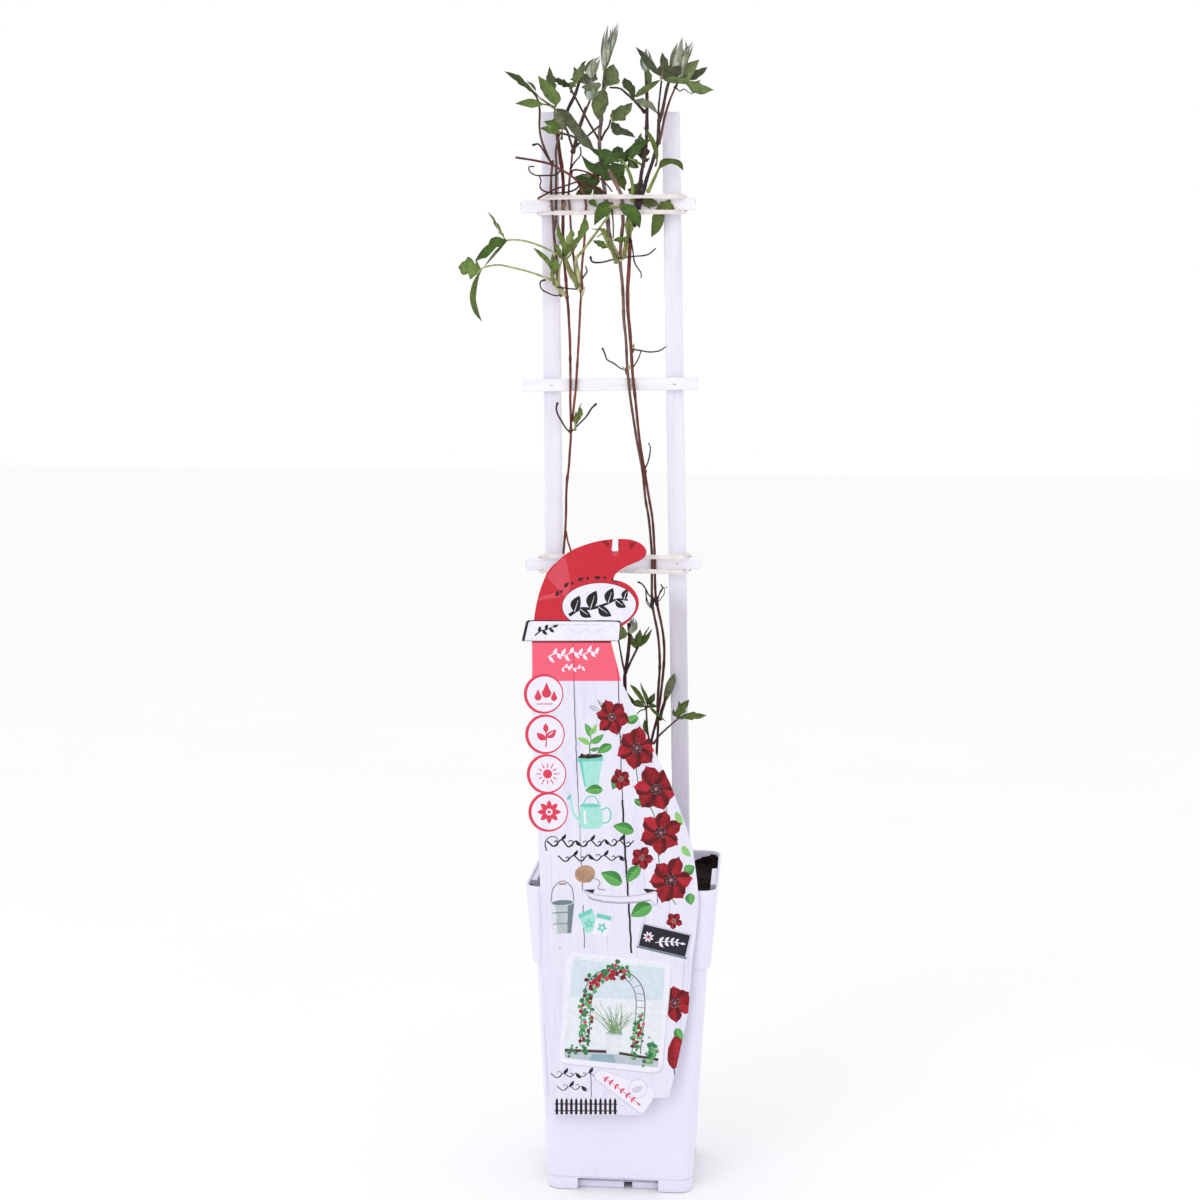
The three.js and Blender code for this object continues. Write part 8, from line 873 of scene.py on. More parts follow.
def lobe(bag, base, tip, w, hue, y, dy, bend, seed, k):
    """one pointed lobe between two points of the picture plane"""
    bx, tx = np.array(base), np.array(tip); d = tx - bx; L = np.linalg.norm(d); d = d / L; n = np.array([-d[1], d[0]]); E = ([], [])
    for t, h in ((0, 0.10), (0.18, 0.72), (0.4, 1.0), (0.62, 0.8), (0.82, 0.42), (1.0, 0.0)):
        c = bx + d * L * t + n * bend * L * math.sin(math.pi * t)
        for q, sg in ((0, 1), (1, -1)):
            p = c + n * sg * h * w / 2; E[q].append(ray_to(p[0], p[1], y + dy * math.sin(math.pi * min(1, t * 0.8)) + 0.12 * sg))
    top, und = HUES[hue]; leaf(bag, E[0], E[1], (0.35 if dy > 0 else -0.35) * w * 0.6, 0.35, tuple(c * k for c in top), tuple(c * k for c in und), seed=seed, nu=26, nv=8, teeth=0.12, mi=0)
for nm, d in LEAVES.items():
    b = Bag(); g = np.random.default_rng(sum(map(ord, nm)) * 3 + 1)
    for i, (r, pts) in enumerate(d["tubes"]):
        low = nm in ("shoot_lower", "leaf_low_right_a", "leaf_low_right_b", "leaf_low_left"); far = nm in ("leaf_hanging_far_left", "leaf_hanging_left") or (nm == "leaf_mid_pair" and i == 0)
        cc = lin(84, 60, 58) if low else (lin(180, 190, 134) if far else (lin(138, 146, 92) if r >= 0.6 else (lin(92, 66, 60) if g.random() < 0.5 else lin(104, 100, 72))))
        c2 = lin(92, 74, 58) if low else (lin(172, 186, 118) if far else lin(126, 136, 78))
        if (nm, i) in TUBE_OF: cc = TUBE_OF[(nm, i)][1]; c2 = tuple(1.1 * x for x in cc); r *= TUBE_OF[(nm, i)][0]
        if nm in ("leaf_right_folded", "leaf_big_right", "leaf_mid_right"): cc, c2 = lin(150, 160, 88), lin(134, 148, 74); r *= 1.35
        tube(b, pts, r * (1.3 if low else 1.2), np.array(cc) * (0.85 + 0.3 * g.random()), np.array(c2), sides=9, step=0.6, wob=0.05, seed=i * 5 + len(nm), r_end=r * (1.05 if low else 0.85), bumps=[(0.0, 0.4, 1.5)])
    nt = len(b.f)
    for i, (A, B, fold, th, hue) in enumerate(d["leaves"]):
        h = HUE_OF.get((nm, i), hue or d["hue"]); top, und = HUES[h]; isb = h == "bud_silver"
        k = (0.86 + 0.3 * g.random()) * BRIGHT.get(nm, 1.0); warm = 1 + 0.16 * (g.random() - .5)
        top = (top[0] * k * warm, top[1] * k, top[2] * k / warm); und = (und[0] * k, und[1] * k, und[2] * k)
        vm = float(project(np.array(list(A) + list(B)))[:, 1].mean())
        if vm < 142 and not isb:
            q_ = 0.16 + 0.26 * float(np.random.default_rng(i * 31 + sum(map(ord, nm))).random())
            if float(project(np.array(list(A) + list(B)))[:, 0].mean()) < 572: q_ *= 0.3
            top, und = (tuple(x * (1 - q_) + q_ * (0.3 * c[0] + 0.6 * c[1] + 0.1 * c[2]) * w_ for x, w_ in zip(c, (1.0, 0.94, 0.86))) for c in (top, und))
        if isb: bud_fan(b, A, B, top, und, i * 13 + len(nm) * 7)
        else: leaf(b, A, B, fold, max(th, 0.35), top, und, seed=i * 13 + len(nm) * 7, wf=WIDTH.get(nm, 1.0), teeth=TEETH_OF.get((nm, i), LOBED.get(nm, 0.34) * (0.6 + 0.8 * g.random())), mi=0)
    ys = [p[1] for A, B, *_ in d["leaves"] for p in A]; y0 = float(np.mean(ys))
    for j, (base, tip, w, hue, dy, bend) in enumerate(LOBES.get(nm, ())):
        LP = np.array([p for A, B, *_ in d["leaves"] for p in A]); LU = project(LP); yy = float(LP[np.argsort(np.hypot(LU[:, 0] - base[0], LU[:, 1] - base[1]))[:3], 1].mean())
        lobe(b, base, tip, w, hue, yy, dy, bend, j * 17 + len(nm), (0.9 + 0.25 * g.random()) * BRIGHT.get(nm, 1.0))
    fm = b.m[:]
    # stalk faces take the bark finish
    fm[:nt] = [2] * nt
    make(nm + "_blades", b.v, b.f, [m_leaf, m_bud, m_bark], fm=fm, cols=b.c, uvs=b.u, slot=SLOT_OF[d["hue"]], replaces=(nm,), angle=70)

# ------------------------------------------------------------------ planting label
# The print is laid out in the label's own flat plan (u across, v down); lab()
# puts each point of the plan on the bent card.
def lab_y(z):
    if z <= 60: return -62.0
    if z <= 214.5: return -62.0 - 4.6 * (z - 60) / 154.5
    return -66.6 + 57.2 * (z - 214.5) / (441 - 214.5)
def lab(u, v):
    Y = -40.0
    for _ in range(40): Y = 0.5 * Y + 0.5 * lab_y(ray_to(u, v, Y)[2])
    return ray_to(u, v, Y)
def circ(u, v, r, n=40, rv=None, rot=0.0, a0=0, a1=360):
    rv = r if rv is None else rv; out = []; full = (a1 - a0) % 360 == 0
    for k in range(n if full else n + 1):
        a = math.radians(a0 + (a1 - a0) * k / n); x, y = r * math.cos(a), rv * math.sin(a)
        c, s = math.cos(math.radians(rot)), math.sin(math.radians(rot)); out.append((u + x * c - y * s, v + x * s + y * c))
    return out
def poly_line(pts, w, w1=None):
    """a stroke of width w along the points as one outline"""
    P = [np.array(p, float) for p in pts]; n = len(P); A, B = [], []
    for i in range(n):
        t = P[min(n - 1, i + 1)] - P[max(0, i - 1)]; t /= np.linalg.norm(t) + 1e-9; nn = np.array([-t[1], t[0]])
        ww = (w if w1 is None else w + (w1 - w) * i / (n - 1)) / 2
        A.append(tuple(P[i] + nn * ww)); B.append(tuple(P[i] - nn * ww))
    return A + B[::-1]
def curve(pts, per=8):
    P = smoothline([(p[0], p[1], 0) for p in pts], per); return [(x, y) for x, y, _ in P]
def leafshape(u, v, L, w, ang, n=10, bend=0.0):
    """pointed leaf from its base at (u, v), length L in direction ang (degrees, 0 to the right, 90 down)"""
    a = math.radians(ang); up, dn = [], []
    for i in range(n + 1):
        t = i / n; h = w / 2 * math.sin(math.pi * t ** 0.8) ** 0.85; c = bend * L * math.sin(math.pi * t)
        up.append((t * L, c + h)); dn.append((t * L, c - h))
    pts = up + dn[-2:0:-1]
    return [(u + x * math.cos(a) - y * math.sin(a), v + x * math.sin(a) + y * math.cos(a)) for x, y in pts]
def rrect(u0, v0, u1, v1, r, n=6, rot=0.0, piv=None):
    out = []
    for cx, cy, a0 in ((u1 - r, v1 - r, 0), (u0 + r, v1 - r, 90), (u0 + r, v0 + r, 180), (u1 - r, v0 + r, 270)):
        for k in range(n + 1): a = math.radians(a0 + 90 * k / n); out.append((cx + r * math.cos(a), cy + r * math.sin(a)))
    if rot: out = rot_pts(out, piv or ((u0 + u1) / 2, (v0 + v1) / 2), rot)
    return out
def rot_pts(pts, piv, deg):
    c, s = math.cos(math.radians(deg)), math.sin(math.radians(deg))
    return [(piv[0] + (x - piv[0]) * c - (y - piv[1]) * s, piv[1] + (x - piv[0]) * s + (y - piv[1]) * c) for x, y in pts]

INK = {}
def ink(name, c, rough=0.34, grain=0.05, coat=0.25, scale=260):
    m = Mat("print_" + name); c = np.array(c)
    n = m.noise(scale, 5, 0.65); n2 = m.noise(3200, 2, 0.5)
    r = m.ramp(n, "Fac", [(0.25, tuple(c * (1 - 2.2 * grain))), (0.5, tuple(c)), (0.8, tuple(np.minimum(1, c * (1 + 1.6 * grain))))])
    r2 = m.ramp(n2, "Fac", [(0.3, (0.94, 0.94, 0.94)), (0.7, (1, 1, 1))])
    x = m.mix(r, "Color", r2, "Color", f=0.6, mode="MULTIPLY"); m.nt.links.new(x.outputs[2], m.b.inputs["Base Color"])
    m.bump(n, "Fac", 0.05, 0.0003); m.set(Roughness=rough, Specular_IOR_Level=0.22, Coat_Weight=coat * 0.4, Coat_Roughness=0.2)
    INK[name] = m; return m
def petal_ink(name, c_in, c_out):
    """petal ink: a dark throat colour and a lighter edge colour mottled together by a distorted noise, under a finer
    noise
    """
    m = Mat("print_" + name); n = m.noise(210, 6, 0.7, dist=0.6); n2 = m.noise(900, 4, 0.6)
    r = m.ramp(n, "Fac", [(0.30, c_in), (0.52, c_out), (0.75, tuple(min(1, x * 1.5) for x in c_out))])
    r2 = m.ramp(n2, "Fac", [(0.3, (0.8, 0.8, 0.8)), (0.7, (1.1, 1.1, 1.1))])
    x = m.mix(r, "Color", r2, "Color", f=0.7, mode="MULTIPLY"); m.nt.links.new(x.outputs[2], m.b.inputs["Base Color"])
    m.bump(n2, "Fac", 0.05, 0.0002); m.set(Roughness=0.36, Specular_IOR_Level=0.22, Coat_Weight=0.08, Coat_Roughness=0.2); INK[name] = m; return m
def plank_ink():
    m = Mat("print_planks"); n = m.noise(70, 6, 0.65, stretch=(2.2, 1, 0.16)); n2 = m.noise(520, 4, 0.7, stretch=(1.4, 1, 0.10)); n3 = m.noise(120, 4, 0.7)
    r = m.ramp(n, "Fac", [(0.25, lin(226, 222, 245)), (0.45, lin(238, 235, 254)), (0.75, lin(244, 242, 255))])
    r2 = m.ramp(n2, "Fac", [(0.28, lin(196, 196, 214)), (0.42, lin(246, 246, 250)), (0.7, lin(255, 255, 255))])
    x = m.mix(r, "Color", r2, "Color", f=0.42, mode="MULTIPLY")
    r3 = m.ramp(n3, "Fac", [(0.24, lin(212, 212, 224)), (0.36, lin(255, 255, 255))])
    y = m.mix(x, 2, r3, "Color", f=0.4, mode="MULTIPLY"); m.nt.links.new(y.outputs[2], m.b.inputs["Base Color"])
    m.bump(n2, "Fac", 0.06, 0.0002); m.set(Roughness=0.36, Specular_IOR_Level=0.25, Coat_Weight=0.08, Coat_Roughness=0.2); INK["planks"] = m; return m
ink("red", lin(205, 36, 54)); ink("red_dark", lin(150, 20, 34)); ink("red_painted_sheen", lin(217, 74, 90)); ink("pink", lin(246, 100, 124), 0.34, 0.02); ink("pink_line", lin(200, 60, 84))
ink("white", lin(240, 238, 254)); ink("card", lin(242, 238, 255), 0.5, 0.02, 0.05); ink("black", lin(22, 18, 24)); ink("maroon", lin(64, 20, 30))
ink("seam", lin(96, 86, 100)); ink("seam_dark", lin(46, 26, 34)); ink("seam_soft", lin(196, 194, 208)); ink("slot_painted_shadow_grey", lin(168, 164, 180)); ink("edge", lin(190, 187, 204), 0.5, 0.03, 0.05); ink("badge", lin(240, 236, 254)); ink("badge_red", lin(222, 62, 86))
ink("mint", lin(168, 228, 216)); ink("mint_dark", lin(116, 208, 190)); ink("leaf1", lin(92, 168, 84)); ink("leaf2", lin(62, 132, 62)); ink("leaf3", lin(150, 206, 120)); ink("leaf_rib", lin(132, 196, 118))
ink("bark", lin(96, 60, 48)); ink("soilp", lin(44, 26, 26), 0.4, 0.4); ink("twine", lin(186, 148, 120), 0.4, 0.16); ink("twine_dark", lin(134, 98, 76)); ink("zinc", lin(188, 196, 204), 0.3, 0.1); ink("zinc_dark", lin(116, 130, 140)); ink("zinc_light", lin(224, 229, 234))
ink("gold", lin(206, 160, 92)); ink("slate", lin(34, 32, 44), 0.4, 0.12); ink("frame_grey", lin(206, 210, 228)); ink("shadow", lin(214, 212, 226)); ink("sky", lin(214, 226, 236)); ink("wallp", lin(230, 236, 242)); ink("wire", lin(112, 108, 116))
ink("grass", lin(136, 164, 116), 0.4, 0.2); ink("grass_dark", lin(92, 124, 84), 0.4, 0.2); ink("planter", lin(228, 232, 238)); ink("planter_dark", lin(190, 200, 210)); ink("wood_dark", lin(74, 44, 36), 0.4, 0.25); ink("stone", lin(150, 176, 190)); ink("bush", lin(52, 122, 76), 0.4, 0.25); ink("bush_light", lin(104, 170, 112), 0.4, 0.2)
ink("bloom_small", lin(176, 28, 52), 0.35, 0.2); ink("bloom_dark", lin(112, 14, 30), 0.35, 0.2); ink("bloom_pink", lin(212, 62, 100), 0.35, 0.2)
petal_ink("petal", lin(90, 7, 17), lin(150, 14, 30)); petal_ink("petal_dark", lin(51, 4, 11), lin(100, 7, 19)); petal_ink("petal_light", lin(129, 12, 28), lin(178, 31, 47)); ink("eye", lin(44, 8, 22), 0.35, 0.3); ink("stamen", lin(122, 62, 88), 0.35, 0.15); ink("anther", lin(176, 128, 112), 0.35, 0.15)
plank_ink()

SHAPES = []      # (outline, ink) from the bottom layer up
def S(pts, name): SHAPES.append((list(pts), name))
def outline_rows():
    L = [(x0, z) for z, x0, x1 in ROWS]; Rr = [(x1, z) for z, x0, x1 in ROWS]
    return L, Rr
def plan_of(x, z):
    """the flat-plan point of a point of the card"""
    d = np.array([x, lab_y(z), z]) - np.array([CX, CY, CZ]); w = d @ F2
    return (600 + F * (d @ R3) / w, 600 - F * (d @ U3) / w)
ROWP = [(plan_of(x0, z), plan_of(x1, z)) for z, x0, x1 in ROWS]     # from the foot of the card up
def refine(pts, r=0.6):
    """returns the points unchanged"""
    return pts
OUTLINE = [a for a, _ in ROWP] + [b for _, b in reversed(ROWP)]
SLOTP = [(583.4, 890.4), (587, 891.9), (592, 893.9), (598, 895.2), (606, 896.2), (616, 896.8), (628, 896.6), (638, 895.6), (647, 893.8), (655.4, 891.5), (657.4, 892.2), (657.9, 900), (657.4, 904.2), (655.2, 905.9), (652.8, 904.4), (651.4, 900.5), (650, 899.8), (645, 900.7), (637.4, 901.7), (620.4, 902.5), (603.5, 901.2), (592.5, 898.7), (587, 895.2)]

def card_edge(v):
    T = [(642, 532), (681, 532.3), (714, 533.3), (754, 534.3), (793, 536), (831, 538.2), (850, 538.8), (880, 540), (903, 540.8), (930, 541.5), (956, 542.2), (1015, 544), (1046, 545), (1069, 545.7), (1097, 546.5), (1115, 547)]
    for (a, b), (c, d) in zip(T, T[1:]):
        if a <= v <= c: return b + (d - b) * (v - a) / (c - a)
    return T[-1][1]
BADGES = [(543.6, 694, 19.8), (545, 734.3, 19.8), (546.6, 774, 19.8), (548.2, 812, 19.8)]
def build_outline():
    pts = [(547, 1115), (546.5, 1097), (545.7, 1069), (545, 1046), (544, 1015), (542.2, 956), (541.5, 930), (540.8, 903), (540, 880), (538.8, 850)]
    for uc, vc, r in reversed(BADGES):
        arc = [(uc - r * math.cos(a), vc - r * math.sin(a)) for a in np.linspace(-math.pi / 2, math.pi / 2, 41)]
        arc = [p for p in arc if p[0] < card_edge(p[1])]; pts += arc
    pts += [(532.3, 668), (532, 642), (531.9, 641.4), (522.6, 641.2), (521.9, 640.6), (521.9, 639.6), (525.9, 622.6), (526.6, 621.2), (528, 620.3), (534, 620.2)]
    pts += curve([(534, 620.2), (534.9, 613), (536.7, 603), (539.4, 592.5), (543.5, 581), (549, 570), (557, 562), (563.5, 556), (572.5, 550), (583, 545.6), (594, 542.2), (606, 539.9), (618, 539), (630, 539.6), (639, 542.6), (644.4, 547), (646.5, 551.6), (645.4, 556), (641, 560), (634, 563.2), (626, 566.6), (619.5, 570.6), (615, 575), (613.2, 580)], 4)[1:]
    pts += curve([(613.2, 580), (620, 581.2), (626, 583.5), (631.5, 587.5), (635.6, 592.6), (638.2, 598), (639, 603), (638.2, 608), (636, 613), (633, 617), (628.7, 621.4), (621, 627)], 3)[1:]
    pts += [(619.6, 640.2), (619, 641), (611, 641.4), (614.5, 655), (618, 668), (621, 681), (625.5, 690), (635.5, 711), (644, 731), (651.5, 745), (661, 764), (670, 783), (679, 807), (686.6, 828), (693, 850), (697, 880), (698, 890.5), (699, 903), (696.5, 930), (693, 956), (688, 1015), (681, 1046), (676, 1069), (669, 1096.6), (668.4, 1097.4), (654, 1097.8), (643.8, 1114.6), (643, 1115)]
    return pts
OUTLINE = build_outline()

g = np.random.default_rng(77)
# planks and their seams
for pts, w, nm in (
    ([(573.2, 642), (574.4, 700), (577, 770), (580.5, 840), (582.6, 890)], 0.9, "seam"), ([(575.2, 690), (578, 780), (581.6, 860)], 0.5, "seam_soft"),
    ([(617.6, 642), (618.6, 690), (620.5, 750), (622.5, 800)], 1.1, "seam"), ([(622.5, 800), (625, 850), (628, 893), (630, 925), (631.4, 953)], 2.0, "seam_dark"),
    ([(664, 770), (666, 800), (668.5, 840)], 0.8, "seam"), ([(669, 900), (672, 955)], 0.7, "seam_soft"), ([(583.2, 905), (584.6, 948)], 0.9, "seam"),
    ([(542, 1000), (545.4, 1040), (548.4, 1096)], 0.6, "seam_soft"), ([(590.6, 1067), (591.6, 1097)], 0.8, "seam"), ([(596, 690), (598, 760), (601, 828)], 0.35, "seam_soft"),
    ([(551, 855), (553, 930)], 0.35, "seam_soft"), ([(606, 905), (608, 950)], 0.35, "seam_soft"), ([(644, 870), (646, 925)], 0.35, "seam_soft"), ([(684, 960), (680, 1030)], 0.5, "seam_soft")):
    S(poly_line([(p[0] + 0.25 * math.sin(p[1] * 0.35), p[1]) for p in curve(pts, 10)], w), nm)
for u, v in ((601, 703), (567, 858), (657, 950), (560, 948), (676, 935), (588, 820)):
    S(circ(u, v, 1.3 + g.random(), 10, 0.9), "seam_soft")
# red hooked head with a painted sheen, painted shade beside the clip slot, and the round-ended medallion
HEAD = [p for p in OUTLINE if p[1] < 627.2]
i0 = OUTLINE.index((534, 620.2)) if (534, 620.2) in OUTLINE else next(i for i, p in enumerate(OUTLINE) if p[1] < 620.25 and p[0] > 530)
i1 = OUTLINE.index((619.6, 640.2))
S([(534, 623)] + OUTLINE[i0:i1] + [(618, 627)], "red")
# painted sheen: lighter red streaks where light catches the bent head
S(curve([(546.5, 577), (555, 566), (564.5, 557.5), (568.5, 572), (570, 586), (566, 597), (559, 590), (552, 583), (546.5, 577)], 4)[:-1], "red_painted_sheen")
S([(536.5, 598), (556, 592.5), (562, 597), (538, 600.5)], "red_painted_sheen")
# painted shade: dark red wedges either side of the clip slot, where the card is pinched
for p0 in ((606, 544), (634, 545.5)): S(curve([(p0[0] - 5, p0[1] - 3.6), (p0[0] + 2, p0[1] - 2.6), (p0[0] + (3 if p0[0] < 620 else -4), p0[1] + 4), (p0[0] - 5, p0[1] - 3.6)], 3)[:-1], "red_dark")
for k in range(9):
    a = math.radians(196 + k * 11.5); u, v = 600 + 43.5 * math.cos(a), 604 + 26.5 * math.sin(a)
    if k % 2 == 0: S(leafshape(u - 2, v, 7.0, 3.6, math.degrees(a) + 96, 8), "maroon")
    else: S(circ(u, v, 1.5, 12), "maroon")
S(circ(599.2, 605.6, 37.2, 64, 22.9, -2), "maroon"); S(circ(599.2, 605.6, 36.7, 64, 22.4, -2), "white")
SPRIG = curve([(569, 615.5), (580, 609), (592, 608.5), (605, 604.5), (617, 599.5), (628, 600)], 8)
S(poly_line(SPRIG, 3.4, 1.8), "black")
for t, sgn, L in ((0.10, -1, 17), (0.22, 1, 14), (0.38, -1, 19), (0.52, 1, 16), (0.66, -1, 16), (0.79, 1, 13), (0.93, -1, 11)):
    q = SPRIG[int(t * (len(SPRIG) - 1))]
    S(leafshape(q[0], q[1], L, L * 0.6, -18 + sgn * 54, 12, 0.07 * sgn), "black")
    S(poly_line([q, (q[0] + 0.7 * L * math.cos(math.radians(-18 + sgn * 54)), q[1] + 0.7 * L * math.sin(math.radians(-18 + sgn * 54)))], 0.8, 0.3), "white")
# painted highlight: a lighter red spot below the clip slot
S(circ(615.4, 553.4, 3.3, 20, 2.3), "red_painted_sheen")
# bright band across the neck
S([(521.9, 641.2), (522.4, 638), (525.9, 622.6), (526.8, 620.9), (528.4, 620.2), (619, 620.6), (620.6, 621.4), (621.2, 623.2), (619.8, 640.2), (618.8, 641.3)], "black")
S([(524.6, 640.7), (528.5, 623.2), (529.6, 621.7), (531, 621.3), (618.4, 621.7), (619.8, 622.4), (620.2, 624), (618.8, 639.6), (617.8, 640.6)], "white")
S(poly_line([(596, 620.9), (612, 621.0), (618.2, 621.4), (620.4, 623.0), (620.5, 628)], 1.25), "black")
S(poly_line(curve([(535, 635.5), (541, 631), (547, 629.5), (554, 626.4)], 6), 1.5, 0.9), "black")
for q, a in (((539, 632.2), -78), ((542.5, 630.8), 40), ((545.5, 629.8), -70), ((549.5, 628.4), 42), ((553, 627), -24)): S(leafshape(q[0], q[1], 6.4, 3.4, a, 8), "black")
S(poly_line([(546, 624.6), (601, 624.9)], 0.7), "shadow")
S(poly_line(curve([(562, 632.5), (570, 629), (578, 634), (586, 629.4), (594, 634), (602, 630), (608, 632)], 6), 0.7), "shadow")
for k in range(14): S(circ(562 + k * 3.3, 637.2, 0.5, 6), "shadow")
# pink panel with a white spray
S([(531.9, 641.4), (611, 641.4), (614.5, 655), (618, 668), (621, 681), (532.2, 681)], "pink")
S([(531.9, 641.3), (611, 641.3), (611.6, 643), (532, 642.8)], "red_dark")
S(poly_line([(573.2, 643), (573.8, 660), (574.2, 681)], 0.9), "pink_line"); S(poly_line([(617.2, 668), (618.2, 681)], 0.8), "pink_line")
sp = curve([(548, 657), (556, 653.5), (564, 656), (573, 652), (582, 655), (590, 651.5), (598, 654)], 6)
S(poly_line(sp, 1.1, 0.9), "white")
for k, t in enumerate(np.linspace(0.04, 0.96, 12)):
    q = sp[int(t * (len(sp) - 1))]; S(leafshape(q[0], q[1], 7.0 if k % 3 else 8.2, 3.3, -60 if k % 2 else 52, 8, 0.05), "white")
sp = curve([(562, 668.5), (568, 666.8), (575, 668.6), (584, 667)], 6); S(poly_line(sp, 0.9), "white")
for k, t in enumerate(np.linspace(0.05, 0.95, 7)):
    q = sp[int(t * (len(sp) - 1))]; S(leafshape(q[0], q[1], 4.6, 2.2, -58 if k % 2 else 54, 7, 0.05), "white")
# round badges with pictograms
for k, (uc, vc, r) in enumerate(BADGES):
    S(circ(uc - 0.1, vc, r + 0.05, 64), "badge_red"); S(circ(uc + 1.0, vc + 0.1, r - 2.2, 60), "badge")
    if k == 0:      # three drops
        for dx, dy, s in ((-6.5, 1.5, 1.0), (2.0, -3.0, 1.35), (9.5, 2.5, 0.9)):
            c = (uc + 1 + dx, vc + dy); pts = [(c[0], c[1] - 6.6 * s)] + [(c[0] + 3.5 * s * math.sin(a), c[1] + 1.6 * s - 3.5 * s * math.cos(a)) for a in np.linspace(0.75, 2 * math.pi - 0.75, 18)]
            S(pts, "badge_red")
        S(poly_line([(uc - 7, vc + 10), (uc + 9, vc + 10)], 1.0), "badge_red")
    elif k == 1:    # leaf pair on a stalk
        S(poly_line(curve([(uc + 1, vc + 13), (uc + 1.5, vc + 4), (uc + 1, vc - 3)], 6), 1.3), "badge_red")
        S(leafshape(uc + 1.3, vc + 3, 12.5, 7, -38, 12, 0.08), "badge_red"); S(leafshape(uc + 1.3, vc + 5, 11.5, 6.4, 214, 12, -0.08), "badge_red")
        S(leafshape(uc + 1.0, vc - 2, 9, 5.4, -92, 12), "badge_red"); S(leafshape(uc + 3.4, vc + 1.4, 7, 1.1, -38, 6), "badge")
    elif k == 2:    # sun
        S(circ(uc + 1, vc, 4.6, 28), "badge_red")
        for j in range(12):
            a = math.radians(30 * j); q = (uc + 1, vc); S(poly_line([(q[0] + 6.4 * math.cos(a), q[1] + 6.4 * math.sin(a)), (q[0] + (10.6 if j % 2 else 12.2) * math.cos(a), q[1] + (10.6 if j % 2 else 12.2) * math.sin(a))], 1.3, 0.7), "badge_red")
    else:           # eight-petalled daisy
        for j in range(8): S(leafshape(uc + 1 + 2.6 * math.cos(math.radians(45 * j)), vc + 2.6 * math.sin(math.radians(45 * j)), 9.4, 5.2, 45 * j, 9), "badge_red")
        S(circ(uc + 1, vc, 3.2, 24), "badge"); S(circ(uc + 1, vc, 1.7, 18), "badge_red")
# mint pot with a seedling, and a mint watering can below it
S([(577.5, 757), (603, 755.5), (603.4, 760.8), (577.9, 762.2)], "mint_dark"); S([(579.4, 762), (602, 760.9), (598.6, 786.2), (584.4, 787)], "mint")
S([(584.4, 787), (586, 786.9), (582.4, 762), (579.4, 762)], "mint_dark"); S(circ(590.3, 756.4, 12.2, 30, 2.1, -3), "soilp")
for j in range(26): S(circ(580 + 21 * g.random(), 754.5 + 3.2 * g.random(), 0.6 + 0.9 * g.random(), 7), "soilp" if j % 3 else "bark")
S(poly_line(curve([(590.4, 756), (589.6, 748), (591, 740), (590, 733)], 6), 1.3, 0.8), "leaf2")
for q, L, w, a, nm in (((590.2, 745), 15, 6, -152, "leaf3"), ((590.6, 743), 16, 6.6, -34, "leaf1"), ((590.4, 737), 15, 6.4, -112, "leaf1"), ((590, 735), 13, 5.4, -60, "leaf3"), ((590, 750), 10, 4, -14, "leaf2")):
    S(leafshape(q[0], q[1], L, w, a, 12, 0.07), nm); S(leafshape(q[0], q[1], L * 0.93, 0.6, a, 6, 0.07), "leaf_rib" if nm != "leaf3" else "leaf1")
S(curve([(580, 806), (592, 804), (600, 806), (602, 826), (592, 829), (580.5, 827.5), (580, 806)], 3)[:-1], "mint"); S(circ(590.6, 805.5, 10.6, 26, 2.0, 1), "mint_dark")
S(poly_line(curve([(581, 822), (574, 814), (571.5, 803), (569.5, 798)], 6), 2.6, 1.5), "mint"); S(circ(569.2, 797.2, 3.2, 16, 1.6, -52), "mint_dark")
S(poly_line(curve([(601, 810), (608, 808), (611, 815), (608, 822), (602, 823)], 6), 1.5), "mint_dark"); S(poly_line(curve([(583, 804), (588, 797), (595, 797), (599, 804)], 6), 1.3), "mint_dark")
S([(583.5, 811), (586, 810.8), (586.6, 824), (584, 824)], "white")
# two flourishes: thin tendrils with curls
def flourish(u0, u1, v, amp, n, w, seed):
    gg = np.random.default_rng(seed); P = []
    for k in range(n + 1): P.append((u0 + (u1 - u0) * k / n, v + amp * (1 if k % 2 else -1) * (0.6 + 0.5 * gg.random())))
    c = curve(P, 8); S(poly_line(c, w, w * 0.7), "black")
    for k in range(1, n):
        q = P[k]; sgn = 1 if k % 2 else -1; r = 2.4 + 1.8 * gg.random()
        cc = [(q[0] + r * (1 - 0.10 * j) * math.cos(-1.6 * sgn + sgn * j * 0.62) + 1.2, q[1] - sgn * 0.2 + sgn * (-r) + r * (1 - 0.10 * j) * math.sin(1.57 + j * 0.62) * sgn) for j in range(9)]
        if k % 2: S(poly_line(curve(cc, 3), w * 0.8, w * 0.45), "black")
        else: S(leafshape(q[0], q[1], 7.4, 3.3, -52 if k % 4 else 44, 8, 0.08), "black")
flourish(547, 634, 843.5, 3.8, 12, 1.7, 3); flourish(558, 627, 858, 3.1, 9, 1.5, 8)
S(poly_line(curve([(546.5, 851), (545.4, 842), (551, 836.6), (557.5, 838.6), (556, 843)], 6), 1.3, 0.6), "black")
flourish(551, 595, 1075, 2.4, 7, 1.0, 12); flourish(557, 588, 1088, 2.2, 5, 0.95, 15)
# painted shade: dark slivers at both ends of the slot, a grey shadow line under the opening and a grey line along its
# upper edge
for pts in ([(583.2, 889.6), (594.9, 889.2), (593.2, 893.2), (591.2, 894.2), (587, 892.2)], [(643.2, 889.0), (646, 888.6), (656.4, 889.9), (657.4, 891.2), (655.4, 892.2), (650, 893.9), (648, 894)]): S(pts, "seam_dark")
S(poly_line([(651.2, 899.9), (649.6, 900.3), (645, 901.4), (637.4, 902.4), (620.4, 903.2), (603.5, 901.9), (592.5, 899.4), (588, 897)], 1.2), "slot_painted_shadow_grey")
